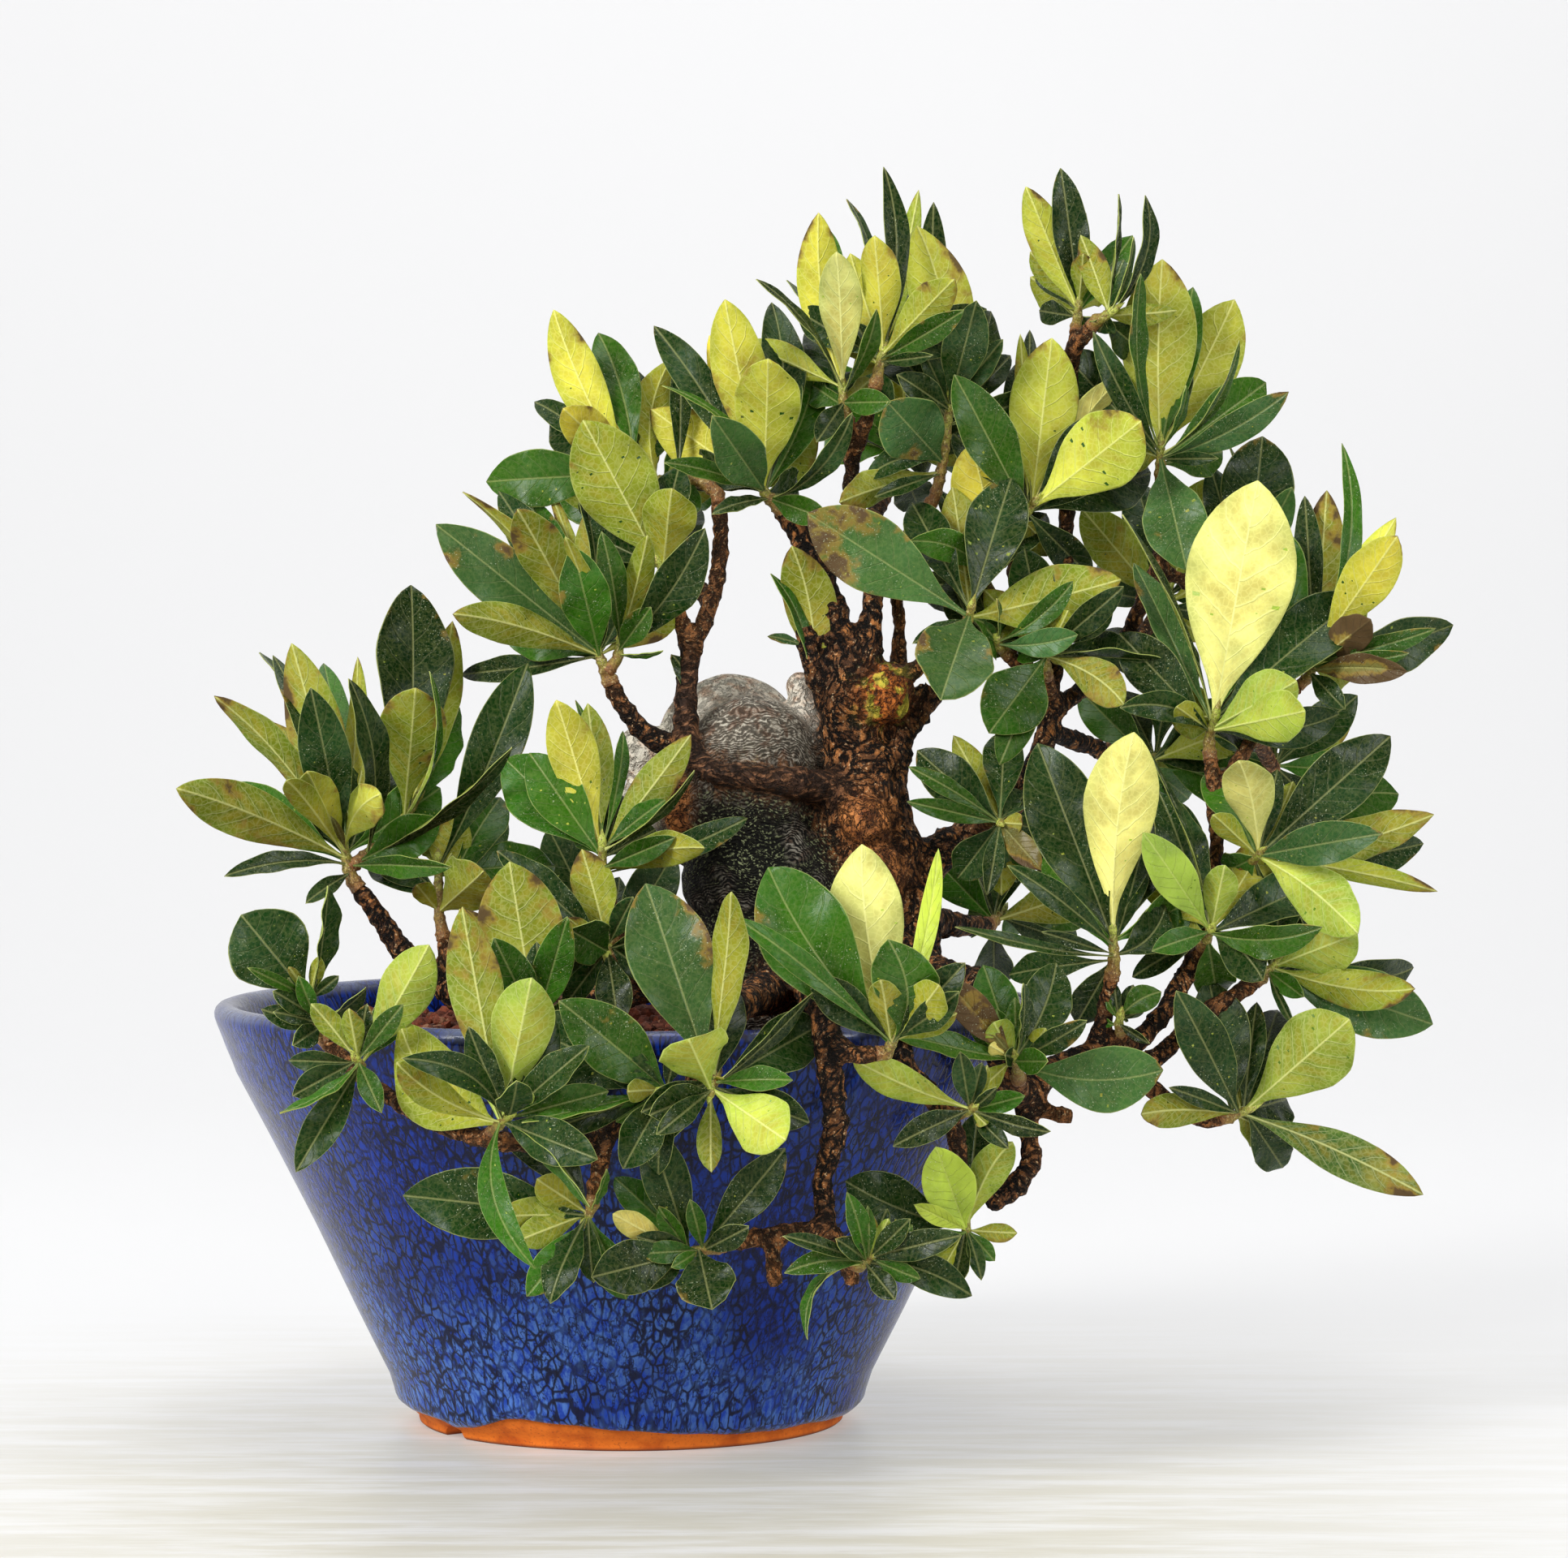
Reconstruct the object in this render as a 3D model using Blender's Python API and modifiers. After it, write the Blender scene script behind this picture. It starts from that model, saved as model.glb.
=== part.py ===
"""Gardenia bonsai in a round blue glazed pot: pot, soil, old wood and leafy shoots.

The plant was read from one photograph. A point of the plant is given by its place in that
photograph (x, y in pixels, y downwards) and by `near`, how many millimetres it lies towards the
camera from the upright plane through the pot's axis. seen() turns the three into metres.
"""

import math
import random

import bmesh
import bpy
import numpy as np
from mathutils import Matrix, Vector, noise
from mathutils.bvhtree import BVHTree

MM = 0.001
GAP = 0.3 * MM

# The pot's axis, so that the middle of the whole object is at the origin
POT_X = -0.0503
POT_Y = 0.0296
POT_HEIGHT = 0.117
LIP_RADIUS = 0.1155
FOOT_RADIUS = 0.0592
FOOT_INNER = 0.0500
WALL = 0.0070
FLOOR_TOP = 0.0092
DRAIN_RADIUS = 0.0080
SOIL_TOP = 0.1065

# Where the photograph was taken from
EYE = Vector((POT_X + 0.0426, POT_Y - 1.400, 0.220))
EYE_PITCH = math.radians(-1.7)
FOCAL_PIXELS = 6198.0
MIDDLE_X = 966.0
MIDDLE_Y = 960.0
PIXEL = 1.400 / FOCAL_PIXELS

BLADE = 0.8 * MM
ARCH = 0.12


def seen(x, y, near):
    """The point that the photograph shows at (x, y), `near` mm in front of the pot's axis."""
    ahead = Vector((0.0, math.cos(EYE_PITCH), math.sin(EYE_PITCH)))
    up = Vector((0.0, -math.sin(EYE_PITCH), math.cos(EYE_PITCH)))
    ray = ahead * FOCAL_PIXELS + up * (MIDDLE_Y - y)
    ray.x += x - MIDDLE_X
    return EYE + ray * ((POT_Y - near * MM - EYE.y) / ray.y)


# The stock and trunk as overlapping balls: x, y, near, radius in mm
STOCK = [
    (955, 1215, 3, 24), (950, 1150, 3, 22), (935, 1080, 3, 21), (925, 1010, 2, 20.5),
    (925, 945, 0, 19.5), (980, 1100, 6, 20), (1020, 1160, 4, 20),
    (900, 920, -16, 20.5), (945, 935, -12, 17), (880, 1000, -10, 18),
    (795, 930, -10, 8.5), (800, 985, -8, 8), (834, 985, 6, 6.5), (842, 1010, 8, 6),
    (986, 846, -2, 4.2), (990, 880, -2, 6),
    (1075, 1230, 6, 21), (1080, 1170, 6, 19), (1082, 1110, 6, 17), (1070, 1055, 7, 15.5),
    (1062, 1000, 7, 14.5), (1058, 950, 6, 12.5), (1052, 905, 5, 12), (1058, 860, 5, 12.5),
    (1084, 858, 9, 10.5), (1045, 825, 5, 8), (1096, 845, 5, 8), (1065, 1012, 17, 6.5),
]
# The feet that stand in the soil: x, near, radius in mm
FEET = [(958, 3, 21.0), (1074, 6, 17.0)]
FOOT_DEPTH = 0.026

# Branches as (x, y, near, radius in mm), each from inside what it grows out of to its end
BRANCHES = {
    "centre_left": [(1045, 835, 6, 7.0), (1028, 765, 3, 5.6), (1010, 705, 1, 4.8),
                    (985, 657, 1, 4.0), (962, 628, 3, 2.8)],
    "centre": [(1062, 840, 8, 6.5), (1074, 755, 6, 3.8), (1078, 700, 2, 3.4), (1062, 650, -3, 3.2),
               (1050, 600, -4, 3.0), (1049, 555, -3, 2.8), (1044, 520, -1, 2.6)],
    "centre_fork": [(1050, 565, -3, 2.6), (1070, 512, 2, 2.5), (1079, 474, 4, 2.4)],
    "behind_patch": [(1106, 840, 0, 3.0), (1108, 765, -4, 2.2), (1100, 705, -9, 2.2),
                     (1120, 655, -9, 2.4), (1146, 621, -7, 2.2)],
    "knuckle_right": [(1095, 850, 8, 3.2), (1142, 815, 13, 2.8), (1172, 790, 15, 2.6),
                      (1185, 776, 15, 2.4)],
    "cut_arm": [(1095, 985, 6, 7.0), (1112, 905, 4, 5.6), (1132, 872, 2, 6.0), (1151, 852, 0, 5.6)],
    "left_arm": [(1040, 978, 10, 8.0), (985, 964, 20, 6.4), (940, 960, 23, 5.8),
                 (885, 955, 20, 5.2), (847, 930, 15, 4.6), (845, 870, 12, 3.4), (850, 802, 10, 3.0)],
    "upper_left_fork": [(850, 810, 10, 2.8), (838, 765, 8, 2.4), (829, 731, 7, 2.2)],
    "upper_left": [(850, 810, 10, 2.8), (870, 765, 8, 2.8), (884, 715, 6, 2.8), (889, 660, 4, 2.8),
                   (885, 616, 2, 2.4)],
    "left_twin": [(850, 934, 14, 4.4), (795, 905, 15, 3.4), (765, 868, 15, 3.0), (752, 840, 15, 2.8)],
    "rising_right": [(1100, 1085, 4, 9.0), (1185, 1035, 0, 6.2), (1250, 990, -4, 4.8),
                     (1288, 920, -4, 3.8), (1293, 850, -4, 3.2)],
    "right_stub": [(1293, 862, -4, 2.8), (1289, 832, 5, 2.4)],
    "right_inner": [(1292, 866, -4, 3.0), (1262, 828, 0, 2.6), (1240, 806, 3, 2.2)],
    "yellow_leaf": [(1262, 830, 0, 2.4), (1246, 790, -6, 2.2), (1236, 757, -6, 2.0),
                    (1226, 738, -4, 1.8)],
    "large_under": [(1264, 830, -1, 2.4), (1258, 770, -14, 2.4), (1250, 710, -14, 2.4),
                    (1247, 664, -8, 2.2)],
    "top_right": [(1293, 862, -4, 3.2), (1308, 770, -14, 3.0), (1312, 680, -16, 3.0),
                  (1318, 560, -14, 3.0), (1319, 455, -8, 2.9), (1323, 428, -5, 2.9),
                  (1347, 400, 0, 2.4)],
    "top_right_stub": [(1321, 436, -6, 2.4), (1325, 407, -12, 2.0)],
    "upper_right": [(1293, 880, -4, 3.4), (1340, 845, -14, 3.2), (1392, 780, -20, 3.0),
                    (1430, 690, -18, 2.8), (1434, 620, -10, 2.6), (1431, 590, -8, 2.4)],
    "dark_upper": [(1428, 702, -18, 2.6), (1475, 722, -26, 2.4), (1512, 722, -30, 2.2)],
    "low_right": [(1085, 1190, 10, 12.0), (1165, 1212, 50, 7.0), (1205, 1217, 70, 6.0),
                  (1228, 1280, 80, 5.2), (1243, 1337, 70, 5.0), (1262, 1350, 60, 4.6),
                  (1300, 1315, 52, 4.3), (1350, 1298, 46, 4.0),
                  (1402, 1286, 42, 3.6), (1440, 1240, 38, 3.4), (1472, 1182, 34, 3.4),
                  (1490, 1130, 30, 3.0), (1500, 1040, 24, 2.6), (1496, 975, 20, 2.6),
                  (1491, 932, 18, 2.4)],
    "right_head_stub": [(1495, 1108, 28, 2.6), (1518, 1084, 33, 2.2), (1534, 1069, 36, 2.0)],
    "right_side_stub": [(1472, 1186, 34, 2.6), (1482, 1166, 41, 2.2)],
    "far_right": [(1497, 985, 21, 2.6), (1540, 915, 10, 2.4), (1588, 857, 6, 2.2), (1603, 843, 6, 2.0)],
    "tall_bright": [(1350, 1300, 44, 3.4), (1361, 1250, 48, 3.0), (1370, 1203, 51, 2.6)],
    "fork_leaf_stub": [(1388, 1290, 42, 2.0), (1381, 1273, 49, 1.6)],
    "right_low_upper": [(1342, 1302, 44, 3.4), (1378, 1317, 39, 3.2), (1424, 1305, 37, 3.2),
                        (1480, 1252, 35, 3.0), (1528, 1223, 32, 2.8), (1550, 1208, 31, 2.4)],
    "right_low_lower": [(1375, 1316, 40, 3.2), (1415, 1338, 42, 3.0), (1452, 1368, 43, 2.8),
                        (1488, 1381, 43, 2.6), (1508, 1378, 43, 2.2)],
    "brown_tip_stub": [(1257, 1350, 60, 3.2), (1255, 1330, 79, 2.4)],
    "cut_right": [(1262, 1354, 58, 2.8), (1295, 1372, 58, 2.2), (1322, 1376, 58, 2.2)],
    "hanging_cut": [(1262, 1350, 58, 3.8), (1268, 1400, 60, 3.0), (1272, 1432, 62, 3.4),
                    (1250, 1465, 66, 3.8), (1218, 1484, 70, 3.4)],
    "hanging_knob": [(1270, 1426, 61, 2.6), (1282, 1414, 61, 2.2)],
    "front_right": [(1075, 1205, 24, 7.0), (1100, 1236, 95, 4.2), (1113, 1315, 106, 3.6),
                    (1150, 1352, 104, 3.4), (1177, 1392, 101, 3.0), (1185, 1450, 99, 2.4),
                    (1188, 1492, 99, 2.0)],
    "front_right_stub": [(1168, 1378, 101, 2.6), (1182, 1372, 107, 1.9)],
    "front_middle": [(1000, 1205, 20, 8.0), (1008, 1230, 96, 5.2), (1015, 1240, 119, 4.8),
                     (1022, 1310, 126, 4.2), (1030, 1390, 122, 3.8), (1012, 1462, 122, 3.4),
                     (1020, 1512, 124, 3.2), (1040, 1550, 122, 2.8), (1053, 1584, 121, 2.6)],
    "front_middle_stub": [(1043, 1556, 122, 2.2), (1055, 1560, 127, 1.8)],
    "front_low": [(1020, 1514, 124, 3.0), (960, 1519, 126, 2.8), (906, 1531, 128, 2.6),
                  (888, 1536, 129, 2.2)],
    "front_low_cut": [(952, 1520, 126, 2.6), (955, 1586, 127, 2.4)],
    "large_bright": [(1017, 1280, 124, 4.0), (1052, 1300, 129, 3.2), (1084, 1298, 128, 2.4)],
    "front_left": [(962, 1215, 20, 8.0), (925, 1232, 96, 5.0), (907, 1240, 119, 4.6),
                   (880, 1300, 127, 4.2), (850, 1352, 127, 3.8), (765, 1374, 126, 3.4),
                   (745, 1405, 128, 3.0), (736, 1450, 132, 2.6), (731, 1478, 133, 2.2)],
    "long_rib_stub": [(876, 1308, 127, 3.0), (880, 1318, 135, 2.2)],
    "dark_pair_stub": [(850, 1352, 127, 2.8), (840, 1346, 134, 2.0)],
    "low_left": [(752, 1392, 126, 2.8), (680, 1412, 136, 2.8), (600, 1406, 139, 2.8),
                 (552, 1390, 135, 3.0), (500, 1364, 128, 2.8), (460, 1341, 122, 2.8),
                 (425, 1306, 116, 2.6), (402, 1284, 113, 2.4)],
    "bright_pair_stub": [(592, 1404, 139, 2.4), (606, 1393, 144, 1.8)],
    "low_left_stub": [(456, 1338, 121, 2.2), (449, 1326, 126, 1.7)],
    "left": [(880, 1165, 6, 8.0), (800, 1215, 16, 5.4), (740, 1232, 20, 4.6), (680, 1242, 23, 4.2),
             (622, 1252, 25, 4.4), (567, 1234, 24, 4.2), (492, 1168, 21, 3.8), (462, 1122, 20, 3.4),
             (440, 1092, 20, 2.8)],
    "left_fork": [(565, 1234, 24, 3.4), (552, 1190, 20, 3.0), (546, 1154, 18, 2.4)],
    "mid_left": [(795, 1216, 16, 4.2), (775, 1180, 36, 3.2), (758, 1135, 46, 2.8), (746, 1098, 49, 2.4)],
    "mid_left_stub": [(767, 1160, 40, 2.4), (755, 1158, 51, 1.8)],
    "low_dark": [(705, 1238, 22, 3.0), (692, 1238, 48, 2.6), (680, 1250, 68, 2.2)],
    "dark_right_stub": [(1205, 1020, 0, 3.4), (1222, 1012, 12, 2.2)],
    "back_low_left": [(885, 1150, -8, 7.0), (810, 1175, -48, 4.0), (768, 1180, -68, 3.0)],
    "back_low_middle": [(990, 1150, -10, 7.0), (990, 1165, -50, 4.0), (990, 1165, -72, 3.0)],
    "back_low_right": [(1105, 1130, -6, 7.0), (1180, 1140, -46, 4.0), (1215, 1140, -66, 3.0)],
    "back_right": [(1292, 900, -5, 3.4), (1370, 930, -38, 3.2), (1405, 940, -54, 2.8)],
    "back_upper_right": [(1345, 840, -15, 3.0), (1400, 790, -44, 2.8), (1425, 760, -60, 2.6)],
    "back_top": [(1064, 655, -3, 3.0), (1090, 610, -34, 2.8), (1104, 580, -52, 2.4)],
    "back_upper_left": [(876, 745, 7, 2.8), (835, 690, -24, 2.6), (812, 655, -42, 2.4)],
    "back_far_right": [(1545, 908, 9, 2.4), (1560, 930, -24, 2.6), (1568, 945, -44, 2.4)],
}

# A leafy shoot: the branch whose end it grows from, its green twigs as (x, y, near) points, and
# its leaves as (base x, base y, tip x, tip y, width, turn, lean, bow). Width and bow are in
# pixels. A leaf with turn 0 shows the camera its upper face and with 180 its underside. Lean is
# how many degrees its tip comes towards the camera. Bow is how far its middle lies to the left of
# the straight line from base to tip.
SHOOTS = {
    "far_left": ("left", [[(428, 1068, 20), (424, 1040, 20)], [(430, 1070, 20), (468, 1042, 15),
                 (500, 1008, 11), (514, 984, 9)]], [
        (365, 990, 328, 798, 55, 60, -10, 0), (395, 1040, 363, 797, 70, 180, -5, 0),
        (418, 1040, 398, 819, 45, 20, -20, 0), (417, 1040, 384, 853, 62, 0, 10, 0),
        (440, 1040, 441, 810, 32, 160, -15, 0), (445, 1040, 440, 840, 48, 40, 5, -8),
        (395, 1060, 267, 853, 42, 150, 0, -6), (400, 1062, 219, 972, 66, 180, 12, -6),
        (400, 1070, 277, 1079, 28, 30, 10, -6), (400, 1060, 349, 953, 34, 170, 25, 0),
        (410, 1050, 378, 948, 46, 180, 20, 0), (424, 1045, 470, 978, 55, 150, 35, 14),
        (450, 1070, 541, 1012, 54, 0, 0, 0), (440, 1072, 551, 1072, 30, 20, 25, 6),
        (500, 990, 510, 719, 98, 10, -12, 0), (512, 990, 558, 767, 52, 160, -4, 0),
        (515, 985, 566, 872, 45, 40, -10, 0), (505, 1000, 512, 847, 84, 180, 10, 0),
        (470, 1010, 540, 833, 20, 80, 10, -10), (455, 1050, 632, 924, 32, 60, 15, 0)]),
    "left_inner": ("left_fork", [[(541, 1128, 17), (540, 1060, 12)]], [
        (538, 1130, 597, 1072, 78, 180, 20, 0), (541, 1080, 567, 1003, 52, 180, -5, 0),
        (541, 1070, 648, 818, 68, 0, 4, -6)]),
    "low_left_tip": ("low_left", [[(393, 1268, 112), (380, 1228, 110)]], [
        (380, 1226, 298, 1128, 98, 0, 0, 0), (382, 1232, 405, 1092, 44, 55, 6, 0)]),
    "low_left_middle": ("low_left_stub", [[(444, 1312, 130), (440, 1306, 131)]], [
        (447, 1318, 530, 1163, 62, 170, 4, 0), (447, 1318, 502, 1225, 46, 0, -6, 0),
        (440, 1312, 344, 1370, 24, 60, 18, 16), (446, 1318, 366, 1440, 42, 0, 12, 0)]),
    "bright_pair": ("bright_pair_stub", [[(618, 1384, 148), (628, 1374, 150)]], [
        (612, 1390, 656, 1202, 70, 180, 0, 0), (610, 1388, 634, 1232, 48, 180, -8, 20),
        (618, 1390, 722, 1490, 24, 60, 6, 18), (612, 1392, 657, 1560, 34, 0, 6, -26),
        (612, 1390, 497, 1265, 86, 180, -8, 26), (614, 1388, 488, 1308, 40, 180, 8, 10),
        (614, 1392, 500, 1305, 36, 10, 18, -22), (616, 1390, 568, 1120, 62, 180, -14, 0)]),
    "front_left_end": ("front_left", [[(727, 1492, 133), (722, 1502, 133)]], [
        (724, 1498, 498, 1473, 80, 0, 8, 0), (726, 1492, 620, 1400, 50, 0, -4, -20),
        (726, 1494, 661, 1452, 40, 180, 4, 0)]),
    "front_low_middle": ("front_low", [[(866, 1540, 130), (842, 1545, 131)]], [
        (842, 1545, 752, 1493, 30, 180, 4, 0), (845, 1546, 733, 1573, 62, 0, 10, 0),
        (862, 1542, 877, 1612, 68, 0, 20, 0), (850, 1540, 800, 1390, 54, 0, 4, 0),
        (864, 1538, 968, 1418, 50, 0, 6, 0), (852, 1540, 757, 1450, 40, 10, -6, 0)]),
    "front_low_right": ("front_middle_stub", [[(1064, 1558, 131), (1074, 1548, 132)]], [
        (1064, 1556, 1046, 1472, 28, 30, 8, 0), (1072, 1552, 1198, 1597, 42, 0, 0, 8),
        (1074, 1550, 1182, 1522, 34, 0, 8, 0), (1062, 1558, 970, 1566, 28, 10, 8, -6),
        (1062, 1559, 994, 1650, 22, 60, 10, -22)]),
    "front_right_end": ("front_right", [[(1190, 1506, 100), (1191, 1520, 100)]], [
        (1190, 1516, 1153, 1413, 62, 0, 0, 0), (1192, 1514, 1250, 1402, 44, 180, 4, 8),
        (1189, 1512, 1043, 1455, 68, 0, 4, 8), (1190, 1518, 1095, 1548, 32, 0, 8, 0),
        (1190, 1508, 1205, 1372, 50, 0, -8, 0)]),
    "front_right_upper": ("front_right_stub", [[(1192, 1370, 111), (1198, 1366, 113)]], [
        (1196, 1368, 1048, 1303, 42, 170, 6, 6), (1192, 1372, 1103, 1410, 34, 10, 4, 0)]),
    "long_rib": ("long_rib_stub", [[(880, 1328, 140), (876, 1344, 143)]], [
        (876, 1330, 797, 1088, 96, 0, -4, 0), (878, 1328, 909, 1092, 44, 150, 6, 8),
        (878, 1340, 972, 1408, 70, 180, 14, 0), (878, 1344, 847, 1276, 82, 180, 22, 0),
        (878, 1330, 906, 1216, 42, 0, -14, 0), (880, 1332, 1000, 1222, 26, 50, 0, 0),
        (880, 1334, 1012, 1262, 66, 0, -12, 0), (876, 1344, 800, 1374, 42, 0, 14, 0)]),
    "dark_pair": ("dark_pair_stub", [[(828, 1342, 139), (816, 1344, 141)]], [
        (826, 1342, 693, 1234, 72, 0, 2, 0), (822, 1344, 640, 1262, 82, 0, -10, 0),
        (820, 1343, 643, 1384, 28, 55, 10, 8), (822, 1346, 664, 1396, 36, 0, -4, 0),
        (824, 1346, 768, 1440, 50, 0, 4, 0)]),
    "low_dark_group": ("low_dark", [[(668, 1262, 80), (660, 1262, 84)]], [
        (662, 1262, 628, 1062, 100, 180, -6, 0), (661, 1262, 610, 1158, 50, 0, 6, 0),
        (664, 1262, 699, 1130, 46, 0, 2, 0), (663, 1262, 568, 1122, 60, 180, 0, 0)]),
    "mid_left_group": ("mid_left_stub", [[(750, 1160, 57), (748, 1172, 60)]], [
        (750, 1166, 613, 1048, 44, 15, 8, 0), (750, 1164, 718, 1048, 54, 180, -8, 0),
        (752, 1172, 705, 1148, 58, 0, 40, 0), (752, 1168, 762, 1262, 44, 0, 14, 0)]),
    "mid_left_top": ("mid_left", [[(742, 1078, 50), (742, 1042, 51)]], [
        (740, 1052, 687, 862, 60, 180, 0, 0), (745, 1046, 727, 870, 46, 180, -4, 0),
        (742, 1046, 712, 860, 20, 30, -12, 0), (746, 1046, 770, 898, 20, 20, -12, 0),
        (746, 1050, 850, 910, 48, 180, -6, 0), (748, 1048, 858, 955, 18, 60, 12, 0),
        (740, 1056, 622, 935, 80, 0, -8, 0), (745, 1070, 830, 1033, 30, 0, 10, 0),
        (745, 1076, 868, 1045, 44, 180, 10, 10), (745, 1078, 922, 1006, 34, 0, -2, -6)]),
    "large_bright_group": ("large_bright", [[(1096, 1290, 128), (1104, 1276, 128)]], [
        (1100, 1282, 1062, 1043, 88, 180, -2, 10), (1096, 1284, 947, 1068, 106, 0, -8, 12),
        (1104, 1284, 1096, 1162, 76, 0, 2, -18), (1104, 1276, 1156, 1043, 24, 0, -4, -8),
        (1100, 1286, 912, 1128, 30, 10, 6, 0), (1100, 1284, 1140, 1146, 30, 170, -10, 0)]),
    "brown_tip_group": ("brown_tip_stub", [[(1254, 1318, 85), (1250, 1302, 89)]], [
        (1256, 1318, 1433, 1318, 78, 0, 6, -16), (1252, 1312, 1097, 1268, 34, 20, 8, 8),
        (1252, 1308, 1165, 1206, 42, 0, 8, 0), (1252, 1304, 1212, 1190, 54, 0, 0, 0),
        (1254, 1304, 1262, 1212, 26, 60, 8, 0), (1255, 1306, 1302, 1186, 60, 0, -2, -8),
        (1256, 1312, 1338, 1260, 30, 10, 8, 0)]),
    "dark_right_group": ("dark_right_stub", [[(1228, 1010, 20), (1232, 1014, 24)]], [
        (1230, 1012, 1122, 945, 24, 20, 8, 0), (1230, 1012, 1120, 988, 26, 0, 2, 0),
        (1230, 1012, 1130, 925, 60, 0, -16, 0), (1232, 1014, 1180, 1082, 50, 0, 0, 0),
        (1232, 1014, 1283, 1072, 34, 0, 10, 0), (1232, 1014, 1234, 1100, 50, 180, -8, 0)]),
    "right_middle": ("right_stub", [[(1288, 816, 9), (1290, 800, 11)]], [
        (1288, 812, 1222, 900, 84, 0, 8, 0), (1290, 812, 1385, 868, 52, 180, 14, 10),
        (1290, 810, 1440, 815, 40, 50, 8, 8), (1288, 815, 1232, 940, 46, 0, 18, 0),
        (1289, 808, 1318, 752, 44, 180, 8, 0), (1291, 804, 1384, 723, 36, 10, 4, 0),
        (1290, 804, 1328, 692, 60, 0, -8, 0), (1289, 806, 1262, 674, 58, 0, -4, 0)]),
    "tall_bright_group": ("tall_bright", [[(1373, 1178, 53), (1371, 1150, 53)]], [
        (1372, 1155, 1397, 903, 88, 180, 4, 8), (1370, 1160, 1278, 915, 92, 0, -8, 0),
        (1373, 1165, 1408, 1035, 34, 20, -6, 0), (1374, 1176, 1436, 1116, 52, 0, 0, -14),
        (1371, 1166, 1250, 1067, 34, 15, 6, 0), (1373, 1178, 1180, 1139, 18, 30, 14, 14),
        (1370, 1160, 1320, 1060, 50, 0, -12, 0)]),
    "fork_leaf": ("fork_leaf_stub", [[(1378, 1264, 52), (1380, 1254, 54)]], [
        (1380, 1257, 1431, 1222, 34, 0, 8, 6)]),
    "right_side": ("right_side_stub", [[(1487, 1156, 46), (1492, 1146, 50)]], [
        (1490, 1150, 1413, 1030, 52, 0, 4, 0), (1490, 1154, 1625, 1148, 44, 20, 10, -8),
        (1490, 1152, 1556, 1208, 56, 0, 0, 8), (1492, 1146, 1510, 1065, 42, 180, 10, 0),
        (1492, 1146, 1400, 905, 16, 70, 4, 0), (1491, 1148, 1450, 985, 44, 0, -8, 0)]),
    "right_head": ("right_head_stub", [[(1544, 1060, 40), (1552, 1052, 43)]], [
        (1550, 1054, 1715, 905, 76, 0, -6, 0), (1548, 1058, 1700, 1027, 52, 0, 12, 0),
        (1548, 1058, 1725, 978, 84, 0, -14, 24), (1548, 1060, 1765, 1002, 56, 180, -8, -14),
        (1548, 1062, 1768, 1095, 28, 180, -2, 0), (1546, 1056, 1525, 932, 62, 180, 10, -6),
        (1550, 1054, 1574, 948, 30, 0, -4, 0), (1548, 1062, 1672, 1150, 70, 180, 8, 8)]),
    "largest_leaf": ("low_right", [[(1490, 908, 18), (1497, 884, 20)]], [
        (1500, 892, 1550, 592, 134, 180, 5, 0), (1492, 896, 1380, 635, 20, 70, 5, 0),
        (1492, 894, 1400, 690, 44, 30, -4, 8), (1494, 900, 1597, 840, 66, 180, 12, 0),
        (1493, 903, 1612, 876, 64, 180, 24, 0), (1494, 900, 1650, 880, 50, 0, -10, -12),
        (1492, 908, 1380, 872, 38, 0, 2, -18)]),
    "far_right_group": ("far_right", [[(1614, 831, 7), (1620, 806, 8)]], [
        (1618, 808, 1635, 606, 60, 180, -5, 0), (1616, 806, 1608, 612, 36, 0, -12, 0),
        (1620, 806, 1657, 545, 28, 30, -8, -16), (1620, 806, 1720, 638, 46, 180, -6, 0),
        (1620, 808, 1722, 660, 64, 180, 5, 0), (1618, 820, 1690, 762, 48, 180, 18, 0),
        (1618, 816, 1767, 778, 28, 10, 0, 0), (1618, 822, 1735, 806, 26, 0, 5, 0),
        (1616, 828, 1733, 828, 38, 10, 12, 6)]),
    "dark_upper_group": ("dark_upper", [[(1530, 720, -31), (1540, 706, -31)]], [
        (1536, 712, 1557, 537, 94, 0, -5, 0), (1530, 716, 1492, 572, 48, 0, -4, 0),
        (1540, 706, 1580, 555, 24, 20, -10, 0), (1540, 708, 1592, 600, 42, 0, 6, 0),
        (1528, 718, 1447, 665, 46, 180, 12, 0)]),
    "upper_right_group": ("upper_right", [[(1430, 572, -7), (1430, 550, -6)]], [
        (1430, 556, 1432, 320, 96, 180, 0, 4), (1432, 556, 1520, 375, 88, 180, -6, 0),
        (1428, 556, 1412, 338, 36, 60, 5, 30), (1432, 556, 1470, 353, 50, 0, -15, 0),
        (1432, 560, 1528, 421, 20, 60, 10, -10), (1432, 564, 1587, 484, 42, 20, 5, -6),
        (1429, 558, 1350, 412, 34, 10, 2, 8), (1430, 566, 1462, 702, 80, 0, 16, 0)]),
    "top_right_left": ("top_right_stub", [[(1328, 392, -13), (1329, 376, -12)]], [
        (1329, 384, 1264, 230, 50, 180, 0, 0), (1329, 386, 1278, 325, 34, 0, -14, 0),
        (1330, 380, 1307, 207, 46, 10, -4, 0)]),
    "top_right_right": ("top_right", [[(1358, 392, 3), (1368, 385, 4)]], [
        (1364, 388, 1385, 240, 18, 75, 0, 8), (1368, 385, 1414, 241, 34, 50, -5, -14)]),
    "large_under_group": ("large_under", [[(1256, 644, -4), (1272, 622, -1)]], [
        (1268, 630, 1408, 518, 98, 180, 10, 0), (1262, 634, 1176, 462, 66, 10, 2, 0),
        (1270, 626, 1238, 500, 60, 0, -12, 0), (1272, 624, 1296, 417, 86, 180, -6, 0),
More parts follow.
